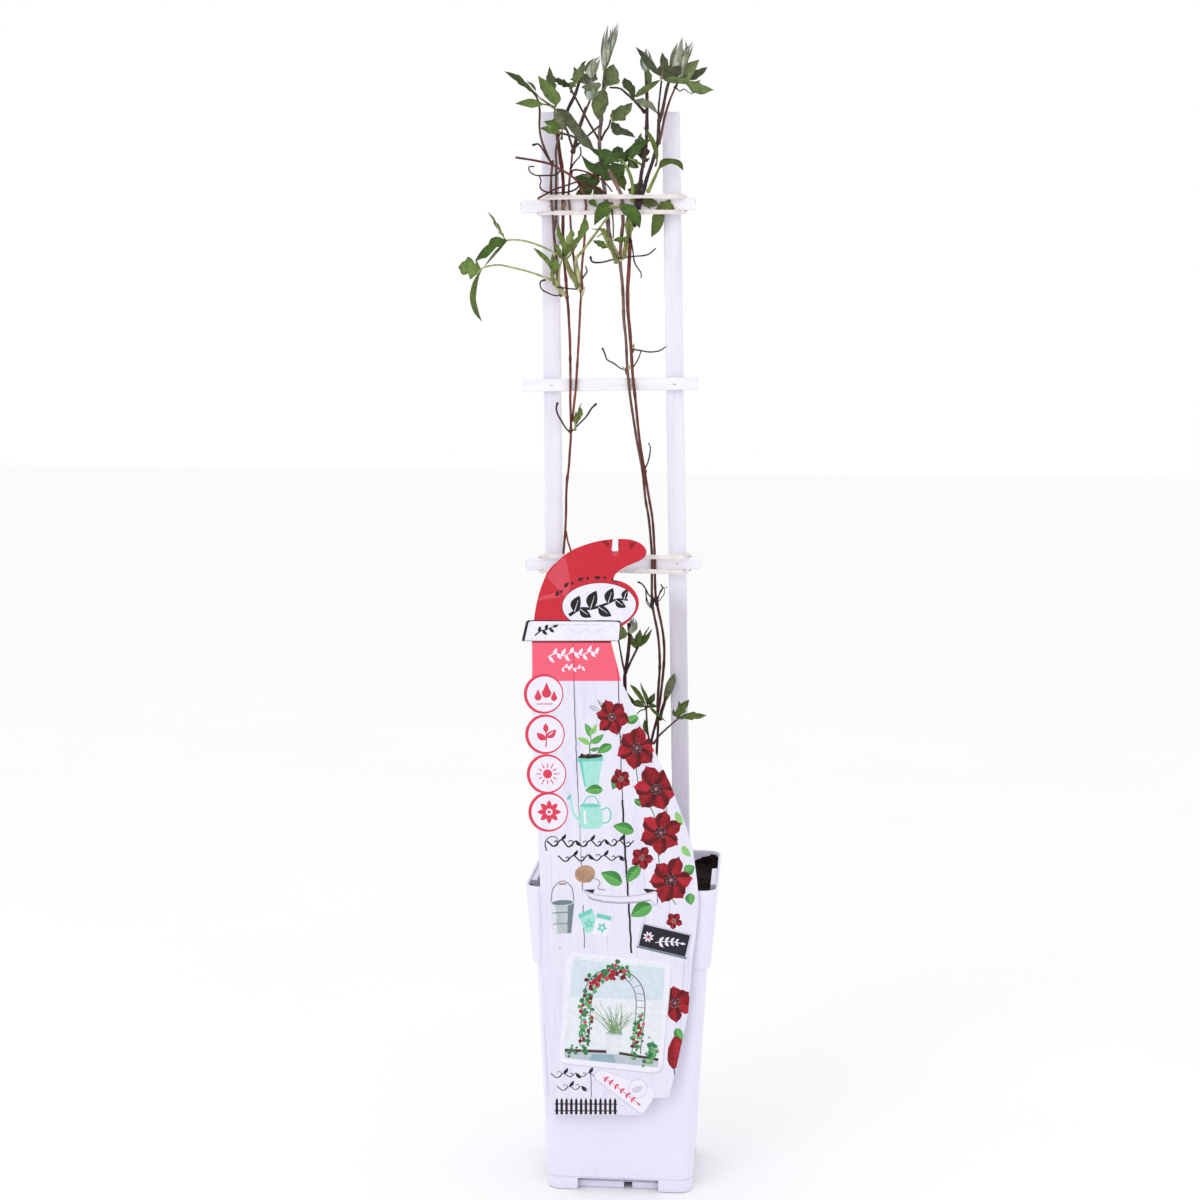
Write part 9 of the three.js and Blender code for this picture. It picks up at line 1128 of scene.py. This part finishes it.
S(poly_line([(p[0], p[1] - 0.5) for p in ((583.4, 890.4), (587, 891.9), (592, 893.9), (598, 895.2), (606, 896.2), (616, 896.8), (628, 896.6), (638, 895.6), (647, 893.8), (655.4, 891.5))], 0.8), "seam_soft")
# blooms down the right-hand side, with buds, leaves and a fine vine between them
def bloom(u, v, r, rot, n=6, seed=0):
    gg = np.random.default_rng(seed)
    for k in range(n):
        a = rot + 360 * k / n + 10 * (gg.random() - .5); L = r * (0.92 + 0.16 * gg.random()); w = r * (0.66 + 0.14 * gg.random()); b = 0.10 * (gg.random() - .5)
        ca, sa = math.cos(math.radians(a)), math.sin(math.radians(a))
        def pt(x, y): return (u + x * ca - y * sa, v + x * sa + y * ca)
        up, dn = [], []
        for i in range(15):
            t = i / 14; h = w / 2 * (math.sin(math.pi * min(1, t * 0.95 + 0.04)) ** 0.8) * (0.6 + 0.75 * t if t < 0.6 else 1.05) * (1 + 0.05 * math.sin(t * 21 + k)); c = b * L * math.sin(math.pi * t)
            if t > 0.8: h *= (1 - t) / 0.2 * 0.92 + 0.08
            up.append(pt(t * L, c + h)); dn.append(pt(t * L, c - h))
        S(up + dn[-2:0:-1], "petal_light" if k % 3 == 0 and r > 18 else "petal")
        S([pt(L * t, b * L * math.sin(math.pi * t) - w * 0.5 * (math.sin(math.pi * min(1, t * .93 + .05)) ** .62) * 0.92 * (0.55 + 0.6 * min(t, .75))) for t in np.linspace(0.14, 0.84, 9)] + [pt(L * t, b * L * math.sin(math.pi * t) - w * 0.16 * math.sin(math.pi * t)) for t in np.linspace(0.84, 0.14, 9)], "petal_dark")
        for o in (-0.13, 0.02, 0.15): S([pt(L * t, b * L * math.sin(math.pi * t) + o * w * math.sin(math.pi * t) ** 0.6 + 0.26 * math.sin(math.pi * t)) for t in np.linspace(0.2, 0.86, 8)] + [pt(L * t, b * L * math.sin(math.pi * t) + o * w * math.sin(math.pi * t) ** 0.6 - 0.26 * math.sin(math.pi * t)) for t in np.linspace(0.84, 0.22, 8)], "petal_light" if o > 0 else "petal_dark")
    S([(u + r * (0.26 + 0.05 * math.sin(7 * a)) * math.cos(a), v + r * (0.26 + 0.05 * math.sin(7 * a)) * math.sin(a)) for a in np.linspace(0, 2 * math.pi, 40)[:-1]], "eye")
    for k in range(13):
        a = 2 * math.pi * k / 13 + gg.random() * .3; q0, q1 = r * 0.05, r * (0.17 + 0.09 * gg.random())
        S(poly_line([(u + q0 * math.cos(a), v + q0 * math.sin(a)), (u + q1 * math.cos(a), v + q1 * math.sin(a))], 0.7, 0.45), "stamen")
        S(circ(u + q1 * math.cos(a), v + q1 * math.sin(a), 0.55, 7), "anther")
    S(circ(u, v, r * 0.06, 12), "anther")
def pleaf(u, v, L, w, a, nm="leaf1", bend=0.05):
    S(leafshape(u, v, L, w, a, 14, bend), nm)
    ca, sa = math.cos(math.radians(a)), math.sin(math.radians(a)); f = lambda x, y: (u + x * ca - y * sa, v + x * sa + y * ca)
    rib = [f(L * t, bend * L * math.sin(math.pi * t)) for t in np.linspace(0, 0.93, 9)]; S(poly_line(rib, 0.75, 0.3), "leaf_rib")
    for t in (0.25, 0.42, 0.58, 0.72):
        for s in (-1, 1):
            y0 = bend * L * math.sin(math.pi * t); S(poly_line([f(L * t, y0), f(L * (t + 0.14), y0 + s * w * 0.30 * math.sin(math.pi * t))], 0.4, 0.2), "leaf_rib")
    half = [f(L * t, bend * L * math.sin(math.pi * t)) for t in np.linspace(0.02, 0.96, 9)] + [f(L * t, bend * L * math.sin(math.pi * t) + w * 0.46 * math.sin(math.pi * t ** 0.8) ** .85) for t in np.linspace(0.96, 0.06, 9)]
    if nm == "leaf1": SHAPES.insert(len(SHAPES) - 9, (half, "leaf2"))
S(poly_line(curve([(598, 700), (606, 716), (622, 738), (634, 760), (640, 790), (654, 815), (658, 850), (662, 880), (676, 905)], 10), 1.0), "leaf2")
for a in ((626, 722, 15, 9, -26, "leaf1"), (612, 745, 17, 9, 150, "leaf1"), (622, 772, 20, 11, 118, "leaf2"), (603, 790, 18, 10, 178, "leaf1"), (650, 776, 14, 7, -12, "leaf3"), (676, 812, 15, 7, 62, "leaf3"), (634, 832, 22, 12, 196, "leaf1"),
          (640, 866, 21, 12, 128, "leaf1"), (622, 884, 24, 14, 208, "leaf1"), (684, 872, 12, 11, -30, "leaf1"), (690, 893, 12, 10, 84, "leaf1"), (652, 905, 24, 15, 152, "leaf1"), (682, 846, 14, 7, 50, "leaf3"), (634, 800, 14, 7, 20, "leaf2")): pleaf(*a)
for k, (u, v, r, rot, n) in enumerate(((612, 717, 18, 12, 6), (637, 748, 22, -20, 6), (621, 779, 11, 30, 5), (656, 789, 24, 8, 6), (661, 833, 22, 38, 6), (642, 858, 12, 4, 5), (671, 880, 24, -8, 6), (674, 921, 9, 20, 5))): bloom(u, v, r, rot, n, 40 + k)
S(leafshape(589, 706, 13, 4.4, 24, 10), "zinc"); S(leafshape(590, 706.3, 11, 1.2, 24, 8), "zinc_light")
# twine ball, zinc bucket, seed packets
S(circ(585, 874, 10.2, 36, 8.8, -10), "twine")
for k in range(9): S(poly_line([(585 + 9.8 * math.cos(a) * math.cos(0.5) - 0.0 + (k - 4) * 1.6 * math.sin(0.5), 874 + (k - 4) * 1.75 + 2.4 * math.sin(a)) for a in np.linspace(2.6, 0.5, 7) if (9.8 * math.cos(a)) ** 2 / 104 + ((k - 4) * 1.75) ** 2 / 78 < 0.95], 0.45), "twine_dark") if abs(k - 4) < 4 else None
S(poly_line(curve([(594, 878), (600, 882), (598, 888), (606, 890)], 6), 0.8), "twine_dark")
S([(550.5, 903), (574.5, 901.5), (571.2, 933), (554.6, 934)], "zinc"); S([(550.5, 903), (555, 902.7), (557.6, 933.8), (554.6, 934)], "zinc_light"); S([(568, 902), (574.5, 901.5), (571.2, 933), (567.4, 933.2)], "zinc_dark")
S(circ(562.5, 902.2, 12.2, 36, 3.4, -3), "zinc_light"); S(circ(562.5, 902.5, 10.8, 34, 2.5, -3), "zinc_dark")
S(poly_line(curve([(551, 902), (553.5, 888), (562.5, 881), (571.5, 887), (574, 901)], 6), 1.0), "zinc_dark"); S(poly_line([(552.2, 913), (573.2, 911.8)], 1.0), "zinc_dark"); S(poly_line([(553.4, 924), (572.2, 923)], 0.9), "zinc_dark"); S(poly_line([(559, 884.2), (566, 883.8)], 2.0), "twine")
def packet(u, v, w, h, rot, nm, nm2):
    piv = (u, v); S(rot_pts([(u - w / 2, v - h / 2), (u + w / 2, v - h / 2), (u + w / 2, v + h / 2), (u - w / 2, v + h / 2)], piv, rot), nm)
    S(rot_pts([(u - w / 2, v - h / 2), (u + w / 2, v - h / 2), (u + w / 2, v - h / 2 + h * 0.2), (u - w / 2, v - h / 2 + h * 0.2)], piv, rot), nm2)
    for j in range(5):
        a = 72 * j + rot; S(leafshape(u + 0.8 * math.cos(math.radians(a)), v + 2.5 + 0.8 * math.sin(math.radians(a)), w * 0.30, w * 0.2, a, 6), nm2)
packet(589, 921, 15, 21, -24, "mint", "mint_dark"); packet(602, 925, 15, 21, 14, "white", "mint_dark"); S(poly_line([(594.6, 917.2), (609.8, 921)], 0.5), "shadow")
# slate tag with chalked sprigs
TG = rot_pts([(638.6, 927.5), (690.2, 927.5), (690.2, 953.6), (638.6, 953.6)], (664.4, 940.5), 13.5)
S(TG, "frame_grey"); S(rot_pts([(638.9, 951.6), (690.2, 951.6), (690.2, 953.6), (638.9, 953.6)], (664.4, 940.5), 13.5), "zinc_dark")
S(rot_pts([(640.6, 929.4), (688.2, 929.4), (688.2, 951.4), (640.6, 951.4)], (664.4, 940.5), 13.5), "slate")
def RS(pts): return rot_pts(pts, (664.4, 940.5), 13.5)
tw = curve([(656, 944.6), (662, 942.2), (669, 940.4), (675, 939.6), (680.5, 939.4)], 6)
S(poly_line(RS(tw), 0.8), "badge")
for j in range(4):
    q = tw[min(len(tw) - 2, 4 + 5 * j)]
    for sd in (-1, 1): S(RS(leafshape(q[0], q[1], 6.8 - 0.7 * j, 2.9 - 0.25 * j, -10 + sd * 50, 8, 0.08 * sd)), "badge")
S(RS(leafshape(tw[-1][0], tw[-1][1], 5.4, 2.4, -4, 8)), "badge")
for j in range(8): S(RS(leafshape(648 + 1.4 * math.cos(math.pi * j / 4 + 0.3), 940.6 + 1.4 * math.sin(math.pi * j / 4 + 0.3), 4.3, 2.1, 45 * j + 17, 7)), "badge")
q = RS([(648, 940.6)])[0]; S(circ(q[0], q[1], 1.5, 12), "red")
# lower right: a bloom and a bud run off the edge behind the picture panel
bloom(675, 1003, 19, 22, 6, 91); pleaf(676, 1028, 14, 9, 62, "leaf1"); S(curve([(668, 1048), (675, 1036), (683, 1042), (681, 1058), (674, 1069), (668, 1062), (668, 1048)], 5)[:-1], "petal"); S(curve([(675, 1037), (681, 1043), (678, 1056), (674, 1067), (674, 1050), (675, 1037)], 5)[:-1], "petal_light")
S(poly_line(curve([(674, 1068), (674.6, 1076), (673, 1086)], 5), 1.2, 0.6), "seam_dark")
# picture panel
TL, TR, BR, BL = (567.2, 951.6), (671.4, 962.4), (661.6, 1073.4), (558.6, 1062.4)
def panel(TL, TR, BR, BL, r=9):
    C = [np.array(p, float) for p in (TL, TR, BR, BL)]; out = []
    for k in range(4):
        p, a, b = C[k], C[k - 1], C[(k + 1) % 4]; ua, ub = (a - p) / np.linalg.norm(a - p), (b - p) / np.linalg.norm(b - p)
        for j in range(8):
            t = j / 7; out.append(tuple(p + ua * r * (1 - t) ** 2 + ub * r * t ** 2))
    return out
S([(x + 0.9, y + 1.5) for x, y in panel(TL, TR, BR, BL)], "shadow"); S(panel(TL, TR, BR, BL), "white")
IN = [(571.8, 955.6), (666.6, 965.4), (658.2, 1068.2), (563.8, 1058.4)]; CTR = np.mean(IN, axis=0)
def Q(s, t):
    a = np.array(IN[0]) * (1 - s) + np.array(IN[1]) * s; b = np.array(IN[3]) * (1 - s) + np.array(IN[2]) * s; p = a * (1 - t) + b * t
    return (float(p[0]), float(p[1]))
def inpic(pts): return [(min(0.995, max(0.005, s)), min(0.993, max(0.007, t))) for s, t in pts]
def SQ(pts, nm): S([Q(*p) for p in inpic(pts)], nm)
S(panel(*IN, r=5), "wallp"); SQ([(0.02, 0.03), (0.98, 0.03), (0.99, 0.34), (0.01, 0.40)], "sky")
for k in range(5): SQ([(0.01, 0.44 + 0.095 * k), (0.99, 0.42 + 0.095 * k), (0.99, 0.424 + 0.095 * k), (0.01, 0.444 + 0.095 * k)], "planter")
AR = [(0.16, 0.86), (0.16, 0.34), (0.22, 0.20), (0.34, 0.11), (0.48, 0.08), (0.62, 0.11), (0.74, 0.20), (0.80, 0.34), (0.80, 0.88)]
def QL(pts, w, nm, per=6): S(poly_line([Q(*p) for p in (curve(pts, per) if per > 1 else pts)], w), nm)
QL(AR, 1.1, "wire"); AR2 = [(0.5 - 0.02 + (s - 0.48) * 0.72, 0.5 + (t - 0.5) * (0.84 if t < 0.5 else 1.0)) for s, t in AR]; QL(AR2, 0.9, "wire")
for k in range(9): y = 0.30 + 0.065 * k; QL([(0.16, y), (0.255, y)], 0.6, "wire", 1); QL([(0.71, y), (0.80, y)], 0.6, "wire", 1)
for k in range(7):
    a = math.pi * (k + 0.7) / 8; QL([(0.48 - 0.31 * math.cos(a), 0.33 - 0.245 * math.sin(a)), (0.48 - 0.23 * math.cos(a), 0.33 - 0.18 * math.sin(a))], 0.6, "wire", 1)
SQ([(0.0, 0.90), (0.45, 0.87), (0.995, 0.90), (0.995, 0.993), (0.005, 0.993)], "planter_dark"); SQ([(0.005, 0.905), (0.5, 0.875), (0.995, 0.905), (0.995, 0.93), (0.5, 0.90), (0.005, 0.932)], "wood_dark")
SQ([(0.30, 0.925), (0.52, 0.915), (0.56, 0.993), (0.26, 0.993)], "stone")
gg = np.random.default_rng(5)
def blobs(n, path, sp, r0, r1, names, sides=7):
    c = np.array(curve(path, 10))
    for k in range(n):
        q = c[gg.integers(0, len(c))]; s, t = q[0] + sp * gg.standard_normal() * 0.5, q[1] + sp * gg.standard_normal() * 0.5
        r = r0 + (r1 - r0) * gg.random(); p = Q(*inpic([(s, t)])[0]); a0 = gg.random() * 6
        S([(p[0] + r * (0.7 + 0.5 * gg.random()) * math.cos(a0 + 2 * math.pi * j / sides), p[1] + r * (0.7 + 0.5 * gg.random()) * math.sin(a0 + 2 * math.pi * j / sides)) for j in range(sides)], names[gg.integers(0, len(names))])
blobs(110, [(0.20, 0.88), (0.20, 0.60), (0.20, 0.36), (0.28, 0.20), (0.44, 0.10), (0.60, 0.12)], 0.075, 1.2, 2.9, ["bush", "bush", "bush_light"])
blobs(46, [(0.74, 0.90), (0.75, 0.70), (0.76, 0.52)], 0.06, 1.1, 2.4, ["bush", "bush_light"])
blobs(40, [(0.20, 0.80), (0.20, 0.58), (0.20, 0.36), (0.28, 0.20), (0.44, 0.11), (0.62, 0.13)], 0.07, 1.5, 2.8, ["bloom_small", "bloom_small", "bloom_dark", "bloom_pink"], 9)
blobs(14, [(0.75, 0.84), (0.75, 0.70), (0.76, 0.55)], 0.05, 1.2, 2.2, ["bloom_small", "bloom_dark", "bloom_pink"], 8)
SQ([(0.42, 0.70), (0.60, 0.695), (0.575, 0.905), (0.445, 0.91)], "planter"); SQ([(0.42, 0.70), (0.60, 0.695), (0.598, 0.72), (0.422, 0.725)], "zinc")
for k in range(34):
    a = -1.57 + 0.9 * (gg.random() - .5) * 1.6; s0 = 0.44 + 0.14 * gg.random(); L = 0.16 + 0.16 * gg.random(); b = (a + 1.57) * 0.6
    pts = [(s0 + L * t * math.cos(a + b * t), 0.705 + L * t * math.sin(a + b * t * 0.4)) for t in (0, .35, .7, 1)]
    S(poly_line([Q(*p) for p in inpic(pts)], 0.9, 0.3), "grass" if k % 3 else "grass_dark")
blobs(40, [(0.90, 0.95), (0.93, 0.86), (0.90, 0.78)], 0.06, 1.2, 2.6, ["bush", "bush_light", "grass"])
blobs(20, [(0.05, 0.93), (0.09, 0.90)], 0.05, 1.0, 2.0, ["bush", "grass_dark"])
# pale paper tag and a little picket pattern along the foot
S([(596, 1071.5), (599.5, 1069.4), (604, 1069.6), (655.6, 1091), (654.4, 1098), (644, 1114.8), (640.5, 1114.2), (594.8, 1079.5), (594.2, 1075.5)], "shadow")
S([(597, 1072), (600, 1070.4), (604, 1070.6), (655, 1090.6), (653.6, 1097.4), (643.2, 1113.2), (640.5, 1112.6), (595.8, 1078.8), (595.2, 1075.6)], "card")
S(circ(638, 1088.5, 9.6, 36), "shadow"); S(circ(638, 1088.5, 8.7, 36), "card"); S(leafshape(631.6, 1091, 13, 6.4, -22, 10, 0.05), "shadow")
twig = curve([(603, 1077), (611, 1082.2), (620, 1088.8), (629, 1096), (637, 1102.6)], 8)
S(poly_line(twig, 0.7), "badge_red")
for t in range(6):
    k = 2 + 5 * t; k = min(k, len(twig) - 2); q = twig[k]; b = math.degrees(math.atan2(twig[k + 1][1] - q[1], twig[k + 1][0] - q[0]))
    for sd in (-1, 1): S(leafshape(q[0] - 0.1 * sd, q[1], 4.2, 2.0, b + sd * 48, 7, 0.06 * sd), "badge_red")
S(leafshape(twig[-1][0], twig[-1][1], 4.6, 2.0, 38, 7), "badge_red")
S(poly_line([(554.6, 1103.8), (617.4, 1104.0)], 1.2), "seam"); S(poly_line([(554.6, 1110.6), (617.4, 1110.8)], 1.2), "seam")
for k in range(13):
    x = 556.9 + k * 4.85; w = 2.6; S([(x - w / 2, 1114.3), (x - w / 2, 1100.4), (x, 1097.4), (x + w / 2, 1100.4), (x + w / 2, 1114.3)], "black" if k % 4 != 2 else "seam_dark")

def dedupe(pts, eps=0.02):
    out = []
    for p in pts:
        if not out or abs(p[0] - out[-1][0]) + abs(p[1] - out[-1][1]) > eps: out.append((float(p[0]), float(p[1])))
    while len(out) > 2 and abs(out[0][0] - out[-1][0]) + abs(out[0][1] - out[-1][1]) <= eps: out.pop()
    return out
def area(p): return 0.5 * sum(p[i - 1][0] * p[i][1] - p[i][0] * p[i - 1][1] for i in range(len(p)))
def build_label():
    polys = [(OUTLINE, "planks"), (SLOTP, "hole")] + SHAPES; verts, faces, names = [], [], []
    for pts, nm in polys:
        pts = dedupe(pts)
        if len(pts) < 3 or abs(area(pts)) < 0.04: continue
        if area(pts) < 0: pts = pts[::-1]
        o = len(verts); verts += [Vector(p) for p in pts]; faces.append(list(range(o, o + len(pts)))); names.append(nm)
    edges = []
    for z in [20, 40, 60] + list(range(75, 210, 15)) + [211.5, 214.5, 217.5] + list(range(230, 436, 12)):
        a, b = plan_of(-75, z), plan_of(75, z); o = len(verts); verts += [Vector(a), Vector(b)]; edges.append((o, o + 1))
    vv, ee, ff, ov, oe, of_ = delaunay_2d_cdt(verts, edges, faces, 0, 1e-5, True)
    tri, mi = [], []; order = {}
    mats = []; index = {}
    for f, src in zip(ff, of_):
        if 0 not in src or 1 in src: continue
        nm = names[max(src)]
        if nm not in index: index[nm] = len(mats); mats.append(INK[nm])
        tri.append(tuple(f)); mi.append(index[nm])
    for q_ in ("card", "edge"):
        if q_ not in index: index[q_] = len(mats); mats.append(INK[q_])
    used = sorted({i for f in tri for i in f}); remap = {k: i for i, k in enumerate(used)}
    P = np.array([lab(vv[i].x, vv[i].y) for i in used]); n = len(P)
    # unit normal of the card, pointing at the viewer's side
    nz = np.array([(lab_y(z + 0.5) - lab_y(z - 0.5)) for z in P[:, 2]]); nrm = np.stack([np.zeros(n), -np.ones(n), nz], 1); nrm /= np.linalg.norm(nrm, axis=1)[:, None]
    T = 0.28; Fp, Bp = P + nrm * T, P - nrm * T
    Fc, M = [], []; edge_n = {}
    for f, m in zip(tri, mi):
        f = tuple(remap[i] for i in f)
        a, b, c = (Fp[i] for i in f)
        if np.cross(b - a, c - a)[1] > 0: f = tuple(reversed(f))
        Fc.append(f); M.append(m); Fc.append(tuple(i + n for i in reversed(f))); M.append(index["card"])
        for x, y in ((f[0], f[1]), (f[1], f[2]), (f[2], f[0])):
            edge_n[(x, y)] = edge_n.get((x, y), 0) + 1
    # painted shade: the cut edges take the darker grey-lilac edge ink
    for (x, y) in list(edge_n):
        if (y, x) not in edge_n: Fc.append((y, x, x + n, y + n)); M.append(index["edge"])
    V = [tuple(p) for p in Fp] + [tuple(p) for p in Bp]
    # tongue: folded back over the rim of the pot
    zt = RIM_Z + 0.3 + 0.4 + 0.1; path = smoothline([(0, -65.78, zt - 3.2), (0, -65.76, zt - 1.4), (0, -65.5, zt - 0.4), (0, -64.8, zt), (0, -63.4, zt), (0, -62.3, zt - 0.4), (0, -62.0, zt - 1.6), (0, -61.8, 209), (0, -61.7, 204.0)], 4)
    x0, x1 = SLOT[0][0], SLOT[4][0]; o = len(V); m = len(path); nx = 9
    d = np.gradient(path, axis=0); d /= np.linalg.norm(d, axis=1)[:, None]; nn = np.stack([np.zeros(m), -d[:, 2], d[:, 1]], 1)
    arc = sorted([(x, z) for x, z in SLOT[6:] + SLOT[:1]] + [(19.6, 203.3), (24.8, 203.3)]); ax_, az_ = np.array([p[0] for p in arc]), np.array([p[1] for p in arc])
    pre = 7; m0 = m; m = m0 + pre; nx = 33
    path = np.concatenate([np.repeat(path[:1], pre, 0), path]); nn = np.concatenate([np.repeat(nn[:1], pre, 0), nn])
    for sgn in (1, -1):
        for i in range(m):
            ins = 7 * (max(0, i - pre) / (m0 - 1)) ** 1.2
            if i < pre:
                for j in range(nx):
                    x = x0 + (x1 - x0) * j / (nx - 1); zb = float(np.interp(x, ax_, az_)) - 0.5; ze = min(path[pre][2], max(zb + 0.6, path[pre][2])); t = i / pre
                    z = zb + (ze - zb) * t; V.append((x, (lab_y(zb) + 0.72) * (1 - t) + path[pre][1] * t - 0.28 * sgn, z))
                continue
            for j in range(nx): V.append((x0 + ins + (x1 - x0 - 2 * ins) * j / (nx - 1), path[i][1] - nn[i][1] * 0.28 * sgn * -1, path[i][2] + nn[i][2] * 0.28 * sgn))
    for i in range(m - 1):
        for j in range(nx - 1):
            a = o + i * nx + j; Fc.append((a, a + 1, a + nx + 1, a + nx)); M.append(index["card"])
            a += m * nx; Fc.append((a, a + nx, a + nx + 1, a + 1)); M.append(index["card"])
        for j, rev in ((0, 0), (nx - 1, 1)):
            a = o + i * nx + j; b = a + m * nx; f = (a, a + nx, b + nx, b); Fc.append(tuple(reversed(f)) if rev else f); M.append(index["card"])
    for i, rev in ((0, 1), (m - 1, 0)):
        for j in range(nx - 1):
            a = o + i * nx + j; b = a + m * nx; f = (a, a + 1, b + 1, b); Fc.append(tuple(reversed(f)) if rev else f); M.append(index["card"])
    ob = make("label_card_print", V, Fc, mats, fm=M, angle=25, slot="label_print", replaces=("label_card",))
    print("label", n, "points", len(Fc), "faces", len(mats), "inks")
build_label()

# ------------------------------------------------------------------ clip
def build_clip():
    path = smoothline([(0, y, z) for y, z in [(-11.75, 437.0), (-11.35, 438.6), (-10.0, 443.4), (-8.3, 445.5), (-6.3, 444.4), (-2.6, 440.2), (1.6, 436.9), (3.6, 433.9), (5.0, 433.1), (8.9, 433.0), (8.95, 422.6), (5.0, 422.5)]][:9], 6); xw = 1.0
    tail = np.array([(0, 8.4, 433.0), (0, 8.85, 432.8), (0, 8.95, 432.3), (0, 8.95, 428), (0, 8.95, 423.3), (0, 8.85, 422.75), (0, 8.4, 422.55), (0, 5.0, 422.5)])
    path = np.concatenate([path, tail]); path, s = resample(path, 0.5); m = len(path)
    d = np.gradient(path, axis=0); d /= np.linalg.norm(d, axis=1)[:, None]
    sec = []; a, c, r = 2.0, 0.42, 0.3; xc = -9.75
    for q, (sx, sy, a0) in enumerate(((1, 1, 0), (-1, 1, 90), (-1, -1, 180), (1, -1, 270))):
        for k in range(4): an = math.radians(a0 + 30 * k); sec.append((sx * (a - r) + r * math.cos(an), sy * (c - r) + r * math.sin(an)))
    n = len(sec); V, Fc = [], []
    for i in range(m):
        N = np.array([0, -d[i][2], d[i][1]]); e = 1.0 if 1 < i < m - 2 else (0.8 if i in (1, m - 2) else 0.6)
        w = 1 + (0.16 * math.exp(-((s[i] - 1.2) / 1.4) ** 2)) + 0.03 * math.sin(s[i] / 2)
        for u, v in sec: V.append((xc + u * w * (0.9 if e < 1 else 1), path[i][1] + N[1] * v * e, path[i][2] + N[2] * v * e))
    for i in range(m - 1):
        for j in range(n): Fc.append((i * n + j, i * n + (j + 1) % n, (i + 1) * n + (j + 1) % n, (i + 1) * n + j))
    Fc += [tuple(reversed(range(n))), tuple((m - 1) * n + j for j in range(n))]
    make("label_clip_strap", V, Fc, m_clip, angle=35, slot="clip_plastic", replaces=("label_clip",))
build_clip()

# ------------------------------------------------------------------ floor, light and camera
def floor():
    m = Mat("floor_white"); n = m.noise(3.0, 4, 0.5); r = m.ramp(n, "Fac", [(0.3, (0.955, 0.955, 0.96)), (0.7, (0.97, 0.97, 0.972))]); m.l(r, "Color", m.b, "Base Color"); m.set(Roughness=0.7)
    me = bpy.data.meshes.new("floor"); s = 14.0
    me.from_pydata([(-s, -s, 0), (s, -s, 0), (s, s, 0), (-s, s, 0)], [], [(0, 1, 2, 3)]); me.materials.append(m.m)
    o = bpy.data.objects.new("floor", me); o.location = (0, 0, -0.0004); bpy.context.scene.collection.objects.link(o)
floor()
W = bpy.data.worlds.new("studio"); bpy.context.scene.world = W; W.use_nodes = True
bg = W.node_tree.nodes["Background"]; bg.inputs[0].default_value = (1.0, 1.0, 1.0, 1); bg.inputs[1].default_value = 1.0
def area_light(name, loc, target, size, energy, col=(1, 1, 1)):
    l = bpy.data.lights.new(name, "AREA"); l.shape = "RECTANGLE"; l.size, l.size_y = size; l.energy = energy; l.color = col
    o = bpy.data.objects.new(name, l); bpy.context.scene.collection.objects.link(o); o.location = loc
    o.rotation_euler = (Vector(target) - Vector(loc)).to_track_quat("-Z", "Y").to_euler(); return o
area_light("key", (-1.1, -1.9, 1.5), (0, 0, 0.35), (1.0, 1.3), 8.0)
area_light("fill", (1.6, -1.5, 0.9), (0, 0, 0.35), (1.4, 1.8), 1.2)
sc = bpy.context.scene; sc.view_settings.view_transform = "Standard"
cam = bpy.data.cameras.new("camera"); cam.lens = 36 * F / 1200; cam.sensor_width = 36; cam.clip_start = 0.05; cam.clip_end = 60
co = bpy.data.objects.new("camera", cam); sc.collection.objects.link(co)
co.matrix_world = Matrix(((R3[0], U3[0], -F2[0], CX * MM), (R3[1], U3[1], -F2[1], CY * MM), (R3[2], U3[2], -F2[2], CZ * MM), (0, 0, 0, 1)))
sc.camera = co

bpy.context.view_layer.update()
